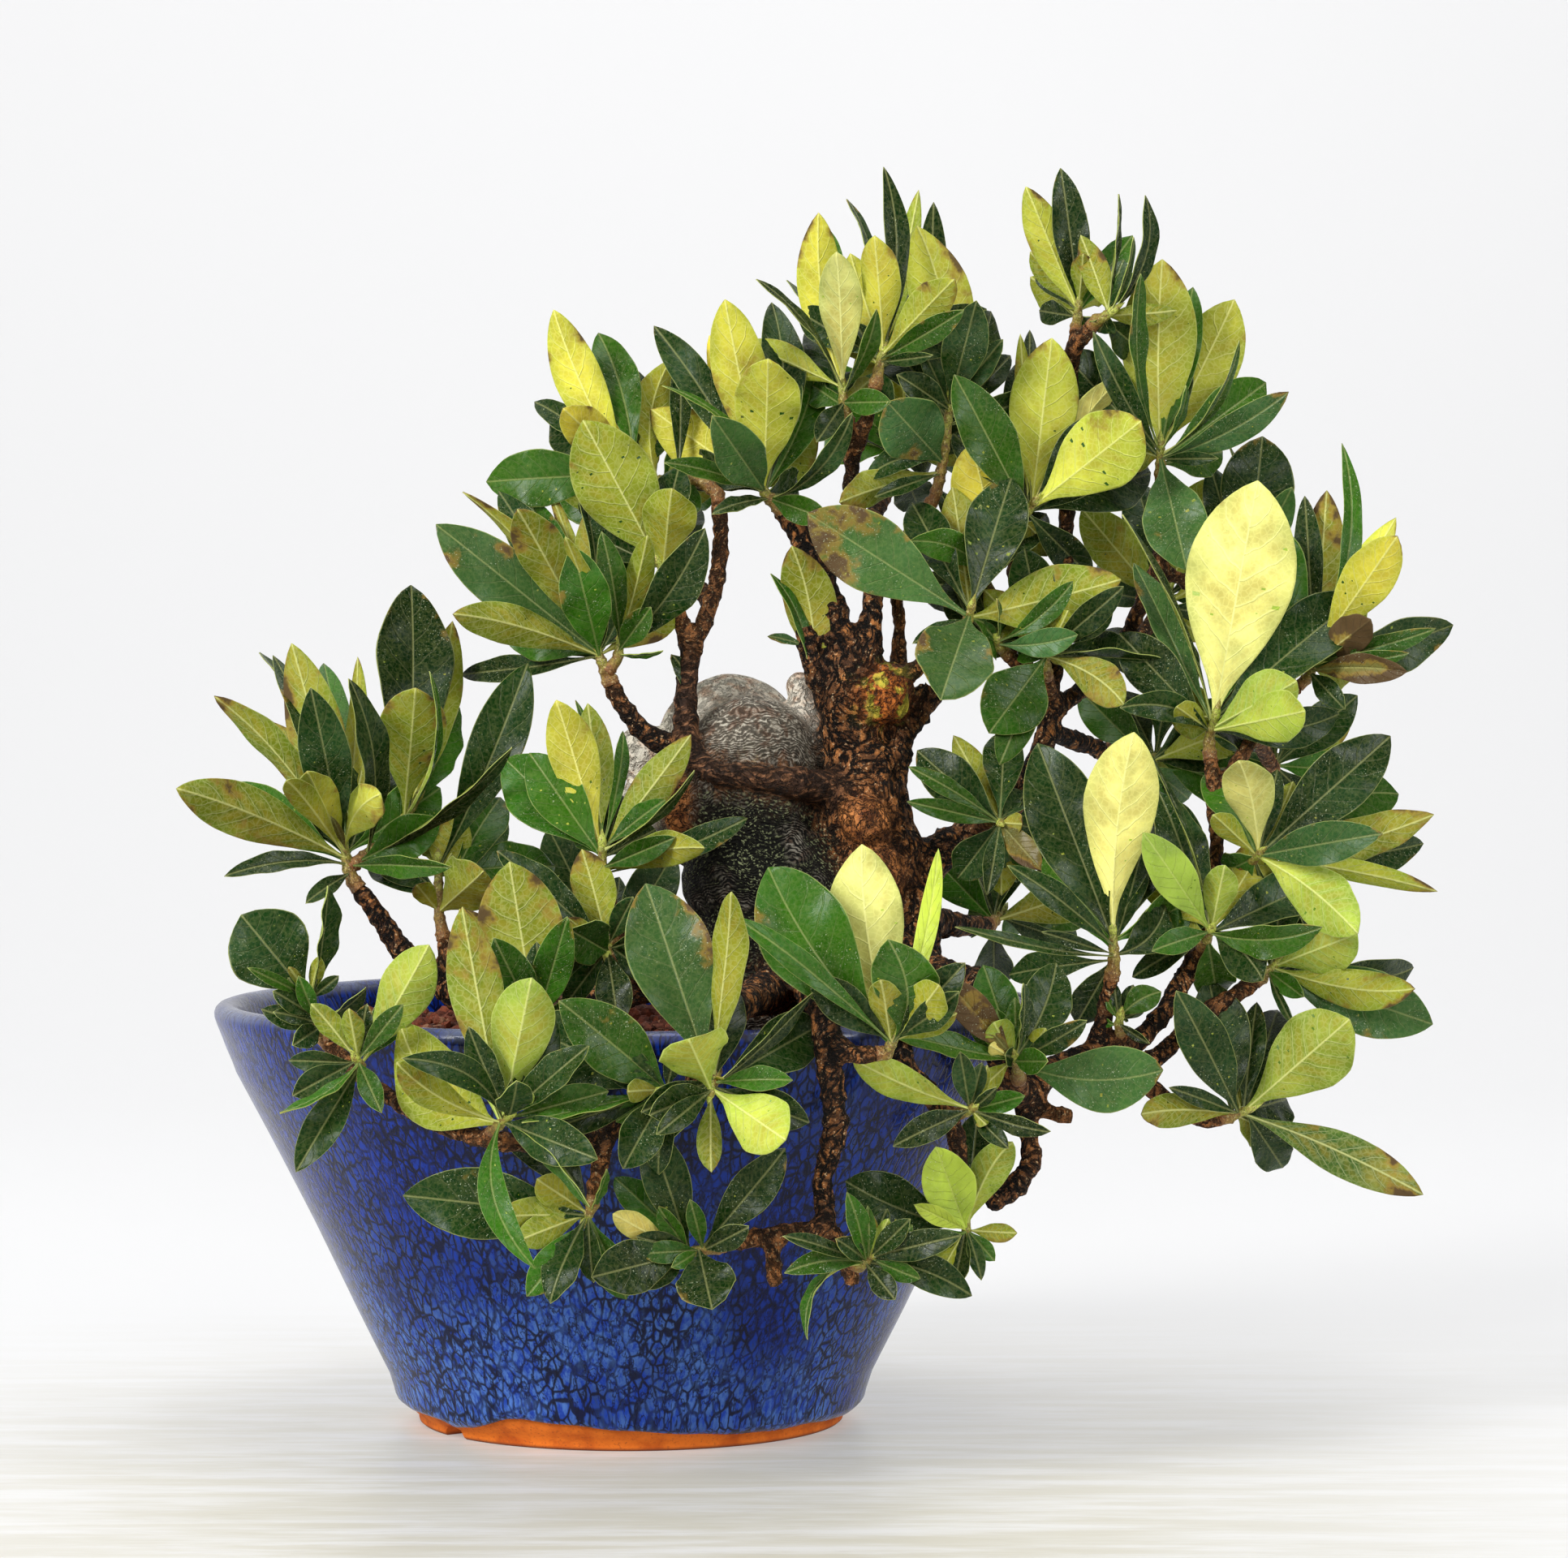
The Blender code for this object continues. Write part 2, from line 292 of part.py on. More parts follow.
        (1266, 630, 1255, 445, 46, 0, -20, 0), (1264, 630, 1257, 412, 26, 170, -12, 0),
        (1270, 624, 1268, 402, 26, 0, -16, 0), (1272, 624, 1352, 512, 44, 0, -12, 0),
        (1271, 624, 1330, 478, 36, 180, -18, 0), (1272, 622, 1375, 463, 46, 180, -4, 0)]),
    "round_pale_group": ("behind_patch", [[(1158, 590, -6), (1166, 540, -5), (1170, 494, -4)]], [
        (1170, 496, 1130, 278, 78, 180, 0, -14), (1170, 498, 1203, 373, 56, 0, 6, 0),
        (1170, 498, 1236, 418, 34, 0, 2, 0), (1169, 505, 1108, 462, 38, 10, 8, 0),
        (1162, 570, 1094, 496, 86, 0, 12, 0), (1160, 582, 1030, 618, 46, 160, 8, 0),
        (1162, 572, 1066, 590, 34, 20, 2, -14)]),
    "yellow_leaf_group": ("yellow_leaf", [[(1219, 724, -2), (1212, 710, 0)]], [
        (1218, 720, 1195, 548, 78, 180, 0, -10), (1213, 712, 1208, 622, 38, 10, 4, 0),
        (1215, 718, 1120, 666, 42, 0, 16, -18), (1213, 712, 1155, 600, 28, 20, -4, 0)]),
    "patched_group": ("knuckle_right", [[(1192, 766, 16), (1196, 752, 18)]], [
        (1192, 762, 995, 632, 94, 0, 8, 0), (1194, 764, 1160, 860, 98, 0, 40, 0)]),
    "right_low_lower_group": ("right_low_lower", [[(1518, 1376, 43), (1536, 1368, 43)]], [
        (1532, 1370, 1665, 1255, 95, 180, 0, 0), (1528, 1372, 1753, 1472, 55, 170, 0, 8),
        (1530, 1372, 1495, 1235, 60, 180, -4, 0), (1532, 1370, 1548, 1232, 36, 0, -10, 0),
        (1526, 1373, 1450, 1222, 60, 10, 4, 0), (1524, 1374, 1399, 1375, 42, 180, 12, -6)]),
    "right_low_upper_group": ("right_low_upper", [[(1558, 1201, 31), (1570, 1190, 31)]], [
        (1568, 1193, 1745, 1228, 45, 0, -12, -10), (1566, 1195, 1765, 1262, 82, 0, 0, 0),
        (1568, 1192, 1748, 1222, 50, 180, 12, -10), (1567, 1190, 1672, 1150, 72, 180, 6, 0),
        (1568, 1190, 1610, 1125, 40, 0, -12, 0)]),
    "grey_patch_group": ("right_inner", [[(1232, 800, 6), (1228, 788, 8)]], [
        (1231, 796, 1328, 782, 36, 0, 8, -6), (1230, 792, 1322, 718, 30, 0, 6, -8)]),
    "centre_group": ("centre", [[(1040, 506, 0), (1038, 476, 0)]], [
        (1040, 478, 1031, 308, 54, 170, 4, 0), (1036, 484, 934, 343, 24, 70, 5, -4),
        (1037, 480, 972, 342, 22, 60, -3, 0), (1042, 482, 1083, 386, 28, 45, 10, 0),
        (1037, 480, 1008, 265, 58, 180, -10, 10), (1039, 480, 1019, 277, 36, 0, -16, 0)]),
    "centre_right_group": ("centre_fork", [[(1082, 458, 4), (1088, 432, 4)]], [
        (1088, 434, 1078, 290, 52, 180, 5, 0), (1086, 436, 1048, 318, 52, 180, -8, 0),
        (1089, 434, 1094, 204, 34, 25, -5, -8), (1090, 434, 1132, 234, 30, 170, -14, 0),
        (1089, 438, 1178, 340, 50, 180, 12, 0), (1088, 442, 1186, 384, 34, 10, 16, 0),
        (1087, 438, 1049, 241, 26, 60, -16, 0)]),
    "centre_left_group": ("centre_left", [[(944, 611, 4), (938, 598, 5)]], [
        (940, 602, 893, 369, 68, 180, 2, 0), (942, 604, 948, 438, 82, 180, 10, 0),
        (944, 606, 952, 366, 56, 15, -8, -14), (940, 602, 880, 515, 62, 0, 30, 0),
        (942, 608, 822, 568, 28, 30, 12, 0), (940, 602, 802, 505, 74, 180, -4, 0),
        (940, 600, 876, 415, 60, 180, -10, 0), (939, 600, 806, 396, 48, 10, -14, 0),
        (940, 602, 815, 476, 16, 70, 6, -16), (948, 614, 1050, 512, 30, 30, 8, -14),
        (944, 606, 1006, 457, 48, 0, -6, -8)]),
    "upper_left_group": ("upper_left", [[(868, 596, 0), (835, 590, -3), (795, 594, -5),
                         (772, 580, -5)]], [
        (775, 582, 682, 382, 60, 180, 0, 8), (778, 584, 692, 500, 54, 180, 12, 0),
        (782, 586, 737, 408, 54, 0, -8, -10), (790, 592, 778, 452, 42, 10, -14, 0),
        (775, 584, 655, 489, 36, 20, -10, 0), (812, 592, 824, 445, 58, 180, -4, 14),
        (838, 590, 838, 437, 28, 10, -14, 0), (860, 594, 832, 640, 46, 0, 4, 0)]),
    "spot_leaf_group": ("upper_left_fork", [[(820, 708, 9), (812, 694, 10)]], [
        (818, 702, 828, 602, 68, 180, 10, 0), (814, 698, 735, 622, 24, 50, -2, 0),
        (814, 698, 718, 518, 102, 180, 4, 0)]),
    "left_rosette": ("left_twin", [[(744, 822, 16), (736, 802, 17)], [(747, 829, 16), (761, 812, 15),
                     (764, 792, 15)]], [
        (737, 806, 537, 647, 76, 0, 4, 0), (736, 810, 556, 757, 50, 180, 12, -8),
        (737, 804, 577, 601, 32, 130, -6, 0), (738, 802, 615, 607, 54, 10, -12, 0),
        (737, 804, 636, 622, 60, 180, 6, 0), (738, 802, 646, 607, 42, 10, -16, 0),
        (739, 804, 679, 601, 20, 160, -12, 0), (738, 804, 713, 577, 26, 40, -10, 0),
        (740, 808, 707, 678, 62, 0, 12, 0), (738, 806, 697, 660, 26, 150, 16, 0),
        (739, 804, 725, 627, 46, 180, -2, 0), (763, 796, 744, 660, 36, 20, 4, 0),
        (764, 794, 803, 577, 28, 55, -6, 0), (765, 796, 800, 655, 34, 170, 4, 0),
        (766, 800, 868, 657, 60, 20, 2, -6)]),
}

# Shoots on the far side of the plant, as (how many leaves, length of the longest in mm)
BACK_SHOOTS = {
    "back_low_left": (6, 42), "back_low_middle": (5, 42), "back_low_right": (6, 42),
    "back_right": (6, 44), "back_upper_right": (7, 44), "back_top": (6, 44),
    "back_upper_left": (6, 42), "back_far_right": (5, 40),
}

MATERIALS = {
    "cobalt_glaze": ((0.030, 0.075, 0.300), 0.18),
    "plastic_mesh": ((0.020, 0.020, 0.022), 0.60),
    "bark_and_lava": ((0.130, 0.055, 0.035), 0.90),
    "bark": ((0.120, 0.075, 0.050), 0.85),
    "leaf": ((0.080, 0.160, 0.020), 0.35),
}


def empty_the_scene():
    for item in list(bpy.data.objects):
        bpy.data.objects.remove(item)


def material(name):
    colour, roughness = MATERIALS[name]
    made = bpy.data.materials.new(name)
    made.use_nodes = True
    shader = made.node_tree.nodes["Principled BSDF"]
    shader.inputs["Base Color"].default_value = (*colour, 1.0)
    shader.inputs["Roughness"].default_value = roughness
    shader.inputs["Metallic"].default_value = 0.0
    return made


def new_collection(name):
    made = bpy.data.collections.new(name)
    bpy.context.scene.collection.children.link(made)
    return made


def new_object(name, mesh, collection):
    made = bpy.data.objects.new(name, mesh)
    collection.objects.link(made)
    return made


def evaluated_mesh(item):
    """The object's mesh with its modifiers applied."""
    bpy.context.view_layer.update()
    graph = bpy.context.evaluated_depsgraph_get()
    return bpy.data.meshes.new_from_object(item.evaluated_get(graph), depsgraph=graph)


def weld_caps(mesh):
    shape = bmesh.new()
    shape.from_mesh(mesh)
    bmesh.ops.remove_doubles(shape, verts=shape.verts, dist=0.00001)
    shape.to_mesh(mesh)
    shape.free()


def apply_modifiers(item):
    mesh = evaluated_mesh(item)
    item.modifiers.clear()
    item.data = mesh


def is_closed(mesh):
    shape = bmesh.new()
    shape.from_mesh(mesh)
    closed = all(edge.is_manifold and edge.is_contiguous for edge in shape.edges)
    shape.free()
    return closed


def join_all(base, pieces):
    """One Boolean union of a collection's pieces with the base, applied."""
    union = base.modifiers.new("union", 'BOOLEAN')
    union.operation = 'UNION'
    union.operand_type = 'COLLECTION'
    union.collection = pieces
    union.solver = 'EXACT'
    if not is_closed(evaluated_mesh(base)):
        union.solver = 'MANIFOLD'
    apply_modifiers(base)
    for item in list(pieces.objects):
        bpy.data.objects.remove(item)
    bpy.data.collections.remove(pieces)
    keep_outer_skin(base.data)


def tube(name, points, radii, resolution, collection):
    """A branch or twig: a bevelled curve through its points, made a closed mesh."""
    curve = bpy.data.curves.new(name, 'CURVE')
    curve.dimensions = '3D'
    curve.bevel_depth = 1.0
    curve.bevel_resolution = resolution
    curve.use_fill_caps = True
    spline = curve.splines.new('POLY')
    spline.points.add(len(points) - 1)
    for control, point, radius in zip(spline.points, points, radii):
        control.co = (*point, 1.0)
        control.radius = radius
    drawn = new_object(name + "_curve", curve, collection)
    mesh = evaluated_mesh(drawn)
    weld_caps(mesh)
    bpy.data.objects.remove(drawn)
    return new_object(name, mesh, collection)




def pot_profile():
    """The wall's section (distance from the axis, height): outside down, then inside up."""
    outside = [(111.5, POT_HEIGHT / MM), (115.0, 115.4), (LIP_RADIUS / MM, 113.0),
               (111.3, 101.4), (99.5, 78.8), (88.0, 56.0), (77.1, 33.3), (65.7, 10.5),
               (61.0, 3.0), (FOOT_RADIUS / MM, 2.5), (FOOT_RADIUS / MM, 0.0)]
    underside = [(FOOT_INNER / MM, 0.0), (FOOT_INNER / MM, 4.0), (DRAIN_RADIUS / MM, 4.0)]
    inside = [(DRAIN_RADIUS / MM, FLOOR_TOP / MM), (57.5, FLOOR_TOP / MM)]
    wall = WALL / MM
    for radius, height in [(65.7, 14.5), (88.0, 56.0), (111.3, 101.4)]:
        inside.append((radius - wall * 1.1, height))
    inside.append((107.8, 113.8))
    return [(radius * MM, height * MM) for radius, height in outside + underside + inside]


def turned(name, profile, steps, collection, closed):
    """A body of revolution about the pot's axis, from its section at +X."""
    shape = bmesh.new()
    corners = [shape.verts.new((radius, 0.0, height)) for radius, height in profile]
    for first, second in zip(corners, corners[1:]):
        shape.edges.new((first, second))
    if closed:
        shape.edges.new((corners[-1], corners[0]))
    mesh = bpy.data.meshes.new(name)
    shape.to_mesh(mesh)
    shape.free()
    made = new_object(name, mesh, collection)
    screw = made.modifiers.new("turn", 'SCREW')
    screw.steps = steps
    screw.render_steps = steps
    screw.use_merge_vertices = True
    screw.merge_threshold = 0.00001
    return made


def cylinder(name, radius, low, high, x, y, sides, collection):
    """An upright cylinder between two heights."""
    shape = bmesh.new()
    middle = Matrix.Translation((x, y, (low + high) / 2))
    bmesh.ops.create_cone(shape, cap_ends=True, segments=sides, radius1=radius, radius2=radius,
                          depth=high - low, matrix=middle)
    mesh = bpy.data.meshes.new(name)
    shape.to_mesh(mesh)
    shape.free()
    return new_object(name, mesh, collection)


def cut_by(item, cutter, name):
    cutter.hide_render = True
    cutter.display_type = 'WIRE'
    cut = item.modifiers.new(name, 'BOOLEAN')
    cut.operation = 'DIFFERENCE'
    cut.object = cutter
    cut.solver = 'EXACT'


def make_pot(parts, cutters):
    pot = turned("pot", pot_profile(), 32, parts, True)
    # Two opposite arched notches let water run out from under the foot
    arch = cylinder("foot_notches", 5.0 * MM, -0.08, 0.08, 0.0, 0.0, 16, cutters)
    sideways = Matrix.Rotation(math.radians(90.0), 4, 'X')
    about_axis = Matrix.Rotation(math.radians(-53.0), 4, 'Z')
    arch.data.transform(about_axis @ sideways)
    arch.location = (POT_X, POT_Y, -1.5 * MM)
    pot.location = (POT_X, POT_Y, 0.0)
    cut_by(pot, arch, "notches")
    return pot


def make_soil(parts, cutters):
    """Fills the pot to 10 mm under its lip, with a slightly rolling top and flat-bottomed holes."""
    inner = [(radius - GAP, height) for radius, height in pot_profile()[-4:-1]]
    bottom = FLOOR_TOP + 1.0 * MM + 2 * GAP
    rim = (inner[-1][0] - 0.2 * MM, SOIL_TOP)
    side = [rim] + inner[::-1] + [(57.0 * MM, bottom)]
    rows = [(0.0, SOIL_TOP), (0.6 * rim[0], SOIL_TOP)]
    soil = turned("soil", rows + side + [(0.0, bottom)], 32, parts, False)
    apply_modifiers(soil)
    for vertex in soil.data.vertices:
        distance = math.hypot(vertex.co.x, vertex.co.y)
        if vertex.co.z > SOIL_TOP - 0.1 * MM and distance < rim[0] - 1.0 * MM:
            vertex.co.z += 0.9 * MM * noise.noise(vertex.co * 30.0)
    soil.location = (POT_X, POT_Y, 0.0)
    for number, (x, near, radius) in enumerate(FEET):
        foot = seen(x, 1250, near)
        hole = cylinder("foot_hole_%d" % number, radius * MM + GAP, SOIL_TOP - FOOT_DEPTH - GAP,
                        SOIL_TOP + 20 * MM, foot.x, foot.y, 16, cutters)
        cut_by(soil, hole, "foot_hole")
    return soil


def make_stock(collection, cutters):
    """Overlapping balls melted into one lumpy skin, cut level just above the soil."""
    shape = bmesh.new()
    for x, y, near, radius in STOCK:
        place = Matrix.Translation(seen(x, y, near))
        bmesh.ops.create_icosphere(shape, subdivisions=3, radius=radius * MM, matrix=place)
    mesh = bpy.data.meshes.new("stock")
    shape.to_mesh(mesh)
    shape.free()
    stock = new_object("wood", mesh, collection)
    melt = stock.modifiers.new("melt", 'REMESH')
    melt.mode = 'VOXEL'
    melt.voxel_size = 2.6 * MM
    thin = stock.modifiers.new("thin", 'DECIMATE')
    thin.ratio = 0.09
    apply_modifiers(stock)
    below = cylinder("below_soil", 0.2, SOIL_TOP - 60 * MM, SOIL_TOP + 1.2 * MM, POT_X, POT_Y, 8,
                     cutters)
    cut_by(stock, below, "level")
    apply_modifiers(stock)
    return stock


def make_wood(parts, cutters):
    wood = make_stock(parts, cutters)
    pieces = new_collection("wood_pieces")
    for number, (x, near, radius) in enumerate(FEET):
        foot = seen(x, 1250, near)
        cylinder("foot_%d" % number, radius * MM, SOIL_TOP - FOOT_DEPTH, SOIL_TOP + 9 * MM,
                 foot.x, foot.y, 16, pieces)
    for name, readings in BRANCHES.items():
        points = [seen(x, y, near) for x, y, near, radius in readings]
        radii = [radius * MM for x, y, near, radius in readings]
        tube(name, points, radii, 2 if radii[0] > 6.0 * MM else int(radii[0] > 3.3 * MM), pieces)
    join_all(wood, pieces)
    return wood


def keep_outer_skin(mesh):
    """Drops loose scraps and the walls of sealed hollows, so that one closed skin is left."""
    shape = bmesh.new()
    shape.from_mesh(mesh)
    waiting = set(shape.faces)
    skins = []
    while waiting:
        skin = {waiting.pop()}
        edge_of_skin = list(skin)
        while edge_of_skin:
            face = edge_of_skin.pop()
            touching = {other for edge in face.edges for other in edge.link_faces}
            fresh = (touching & waiting)
            waiting -= fresh
            skin |= fresh
            edge_of_skin.extend(fresh)
        skins.append(skin)
    skins.sort(key=len)
    scraps = [face for skin in skins[:-1] for face in skin]
    bmesh.ops.delete(shape, geom=scraps, context='FACES')
    shape.to_mesh(mesh)
    shape.free()


class Leaf:
    """One blade: where it is rooted, the sight line that holds its tip, and its form."""

    def __init__(self, shoot, root, aim, width, turn, lean, bow):
        self.shoot = shoot
        self.root = root
        self.aim = aim
        self.width = width
        self.turn = turn
        self.lean = lean
        self.bow = bow
        self.reach = (aim - root).length

    def tip(self, lean):
        """The point on the tip's sight line that leans this far towards the camera."""
        depth = self.root.y - self.reach * math.tan(math.radians(lean))
        return EYE + (self.aim - EYE) * ((depth - EYE.y) / (self.aim.y - EYE.y))

    def stations(self):
        """Where along the blade its width is set, and to what share of the widest."""
        if self.reach < 30 * MM:
            return [(0.58, 1.0)]
        if self.reach < 52 * MM:
            return [(0.40, 0.80), (0.74, 0.90)]
        return [(0.30, 0.60), (0.56, 1.0), (0.80, 0.78)]

    def mesh(self, lean, turn, spare):
        """Points and flat faces of the closed blade, grown all round by `spare`."""
        tip = self.tip(lean)
        along = (tip - self.root).normalized()
        length = (tip - self.root).length + spare
        view = (EYE - (tip + self.root) / 2).normalized()
        left = view.cross(along).normalized()
        towards = along.cross(left)
        face = Matrix.Rotation(math.radians(turn), 3, along) @ towards
        side = face.cross(along)

        def at(share, across):
            hump = share * (1.0 - share)
            middle = self.root + along * (share * length) + left * (4.0 * self.bow * hump)
            return middle + side * across + face * (2.0 * ARCH * length * hump)

        sheet = [at(0.0, 0.0)]
        for share, width in self.stations():
            half = self.width * width / 2 + spare
            sheet += [at(share, -half), at(share, half)]
        sheet.append(at(1.0, 0.0))
        lift = face * (BLADE / 2 + spare)
        points = [point + lift for point in sheet] + [point - lift for point in sheet]
        return points, blade_faces(len(self.stations()))


def blade_faces(stations):
    """Faces of a closed blade: upper face, under face and rim. Each station has a right and a
    left point; the first point is the root and the last is the tip."""
    count = 2 * stations + 2
    tip = count - 1
    upper = [(0, 1, 2), (tip - 1, tip - 2, tip)]
    for right in range(1, tip - 2, 2):
        upper.append((right + 1, right, right + 2, right + 3))
    under = [tuple(count + corner for corner in reversed(face)) for face in upper]
    outline = [0] + list(range(1, tip, 2)) + [tip] + list(range(tip - 1, 0, -2))
    rim = []
    for first, second in zip(outline, outline[1:] + outline[:1]):
        rim.append((count + first, count + second, second, first))
    return upper + under + rim


class Solid:
    """A placed piece of the plant, kept so that later leaves can be bent clear of it."""

    def __init__(self, shoot, points, faces, outer=None):
        self.shoot = shoot
        self.tree = BVHTree.FromPolygons(points, faces)
        self.outer = BVHTree.FromPolygons(points, outer) if outer else self.tree
        self.low = [min(point[axis] for point in points) for axis in range(3)]
        self.high = [max(point[axis] for point in points) for axis in range(3)]

    def crosses(self, other):
        """Whether two pieces cross. Two leaves of one shoot may, close to their roots."""
        for axis in range(3):
            if self.low[axis] > other.high[axis] or self.high[axis] < other.low[axis]:
                return False
        if self.shoot == other.shoot:
            return bool(self.outer.overlap(other.outer))
        return bool(self.tree.overlap(other.tree))


def solid_of(item, shoot):
    mesh = evaluated_mesh(item)
    mesh.calc_loop_triangles()
    points = [item.matrix_world @ vertex.co for vertex in mesh.vertices]
    faces = [tuple(triangle.vertices) for triangle in mesh.loop_triangles]
    bpy.data.meshes.remove(mesh)
    return Solid(shoot, points, faces)


def nearest_on(path, point, skip):
    """The nearest point of a path to a point, at least `skip` along from the path's start."""
    best = None
    walked = 0.0
    for first, second in zip(path, path[1:]):
        step = second - first
        length = step.length
        low = min(1.0, max(0.0, (skip - walked) / length))
        walked += length
        if low >= 1.0:
            continue
        share = min(1.0, max(low, (point - first).dot(step) / length ** 2))
        place = first + step * share
        if best is None or (place - point).length < (best - point).length:
            best = place
    return best


def make_twigs(shoot, branch, readings, collection):
    """The shoot's green twigs. The first leaves the branch's flat end square on, 0.3 mm off."""
    before, end = [seen(x, y, near) for x, y, near, radius in BRANCHES[branch][-2:]]
    ahead = (end - before).normalized()
    radius = BRANCHES[branch][-1][3] * MM * 0.95
    paths = []
    for number, reading in enumerate(readings):
        path = [seen(x, y, near) for x, y, near in reading]
        if number == 0:
            path = [end + ahead * GAP, end + ahead * 2.0 * MM] + path
        first = radius if number == 0 else radius * 0.8
        radii = [first + (1.1 * MM - first) * step / (len(path) - 1) for step in range(len(path))]
        tube("%s_twig_%d" % (shoot, number), path, radii, 0, collection)
        paths.append(path)
    return paths


def front_leaves(shoot, paths, readings):
    """Leaves as read from the photograph, rooted at the nearest point of the twigs. One that
    looks short beside the shoot's longest leaf points more towards the camera or away."""
    longest = max(math.hypot(row[2] - row[0], row[3] - row[1]) for row in readings)
    leaves = []
    for number, (base_x, base_y, tip_x, tip_y, width, turn, lean, bow) in enumerate(readings):
        near = (POT_Y - paths[0][-1].y) / MM
        base = seen(base_x, base_y, near)
        skips = [4.0 * MM] + [1.0 * MM] * (len(paths) - 1)
        roots = [nearest_on(path, base, skip) for path, skip in zip(paths, skips)]
        root = min(roots, key=lambda place: (place - base).length).copy()
        aim = seen(tip_x, tip_y, (POT_Y - root.y) / MM)
        root -= (aim - root).normalized() * (0.30 + 0.08 * (number % 4)) * MM
        looks = math.hypot(tip_x - base_x, tip_y - base_y) / longest
        more = min(24.0, 0.5 * math.degrees(math.acos(looks)))
        sign = lean if lean else 1 - 2 * (number % 2)
        lean += math.copysign(more, sign)
        leaves.append(Leaf(shoot, root, aim, width * PIXEL, turn, lean, bow * PIXEL))
    return leaves


def back_twig(branch):
    """A far-side shoot's twig: on from the branch's end, curving upwards."""
    before, end = [seen(x, y, near) for x, y, near, radius in BRANCHES[branch][-2:]]
    ahead = (end - before).normalized()
    upwards = (ahead + Vector((0.0, 0.0, 0.5))).normalized()
    radius = BRANCHES[branch][-1][3] * MM * 0.95
    path = [end + ahead * GAP, end + ahead * 4.0 * MM, end + ahead * 4.0 * MM + upwards * 10.0 * MM]
    return path, [radius, radius * 0.8, 1.1 * MM]


def back_leaves(shoot, path, count, longest):
    """Whorls of three leaves, each whorl turned on from the last and the upper ones steeper."""
    draw = random.Random(shoot)
    ahead = (path[-1] - path[-2]).normalized()
    across = ahead.cross(Vector((1.0, 0.2, 0.1))).normalized()
    leaves = []
    for number in range(count):
        whorl = number // 3
        height = 0.25 + 0.34 * whorl
        around = math.radians(120.0 * number + 55.0 * whorl + draw.uniform(-14.0, 14.0))
        tilt = math.radians(66.0 - 18.0 * whorl + draw.uniform(-6.0, 6.0))
        length = longest * MM * (0.88 - 0.10 * abs(whorl - 1) + draw.uniform(-0.08, 0.12))
        out = Matrix.Rotation(around, 3, ahead) @ across
        direction = ahead * math.cos(tilt) + out * math.sin(tilt)
        root = path[-2].lerp(path[-1], min(0.95, height)) + ahead * 0.1 * MM * (number % 3)
        tip = root + direction * length
        lean = math.degrees(math.atan2(root.y - tip.y, math.hypot(tip.x - root.x, tip.z - root.z)))
        lean = max(-50.0, min(50.0, lean))
        turn = 180.0 if direction.z > 0.3 and direction.y < 0.0 else 0.0
        leaf = Leaf(shoot, root, tip, length * 0.40, turn, lean, 0.0)
        leaf.reach = math.hypot(tip.x - root.x, tip.z - root.z)
        leaves.append(leaf)
    return leaves


def blade_solid(leaf, lean, turn, spare):
    points, faces = leaf.mesh(lean, turn, spare)
    count = len(points) // 2
    outer = [face for face in faces if 0 not in face and count not in face]
    return Solid(leaf.shoot, points, faces, outer)


STEEPEST = 58
LEAN_TRIALS = (0, -8, 8, -16, 16, -24, 24, -32, 32)
TURN_TRIALS = (0, -15, 15, -30, 30)


def settle(leaf, placed):
    """Bends a leaf clear of every other shoot, and where it can of its own shoot's leaves.
    Its outline as the camera sees it stays. Returns the lean and turn that it settled on."""
    trials = [(abs(lean) + 0.5 * abs(turn), lean, turn) for lean in LEAN_TRIALS for turn in TURN_TRIALS]
    best = None
    for cost, lean, turn in sorted(trials):
        if best and cost >= best[0]:
            break
        if abs(leaf.lean + lean) > STEEPEST:
            continue
        blade = blade_solid(leaf, leaf.lean + lean, leaf.turn + turn, 0.35 * MM)
        if any(blade.crosses(other) for other in placed if other.shoot != leaf.shoot):
            continue
        own = sum(blade.crosses(other) for other in placed if other.shoot == leaf.shoot)
        if best is None or cost + 12 * own < best[0]:
            best = (cost + 12 * own, leaf.lean + lean, leaf.turn + turn)
    return best


def add_blade(leaf, lean, turn, collection, placed):
    points, faces = leaf.mesh(lean, turn, 0.0)
    mesh = bpy.data.meshes.new("blade")
    mesh.from_pydata(points, [], faces)
    new_object("blade", mesh, collection)
    placed.append(blade_solid(leaf, lean, turn, 0.0))


def make_shoots(parts, placed):
    """Grows every twig, then settles the leaves from the largest to the smallest."""
    pieces = {}
    leaves = []
    for shoot, (branch, twigs, readings) in SHOOTS.items():
        pieces[shoot] = new_collection(shoot + "_pieces")
        paths = make_twigs(shoot, branch, twigs, pieces[shoot])
        leaves += front_leaves(shoot, paths, readings)
    hidden = []
    for branch, (count, longest) in BACK_SHOOTS.items():
        pieces[branch] = new_collection(branch + "_pieces")
        path, radii = back_twig(branch)
        tube(branch + "_twig_0", path, radii, 0, pieces[branch])
        hidden += back_leaves(branch, path, count, longest)
    for shoot, collection in pieces.items():
        placed += [solid_of(item, shoot) for item in collection.objects]
    leaves.sort(key=lambda leaf: -leaf.reach * leaf.width)
    for leaf in leaves + hidden:
        found = settle(leaf, placed)
        if found:
            add_blade(leaf, found[1], found[2], pieces[leaf.shoot], placed)
    return [fuse_shoot(shoot, collection, parts) for shoot, collection in pieces.items()]


def fuse_shoot(shoot, collection, parts):
    """Joins a shoot's blades to its twigs, with its own origin at the first twig's start."""
    base = collection.objects[shoot + "_twig_0"]
    collection.objects.unlink(base)
    parts.objects.link(base)
    base.name = "spray_" + shoot
    join_all(base, collection)
    return base


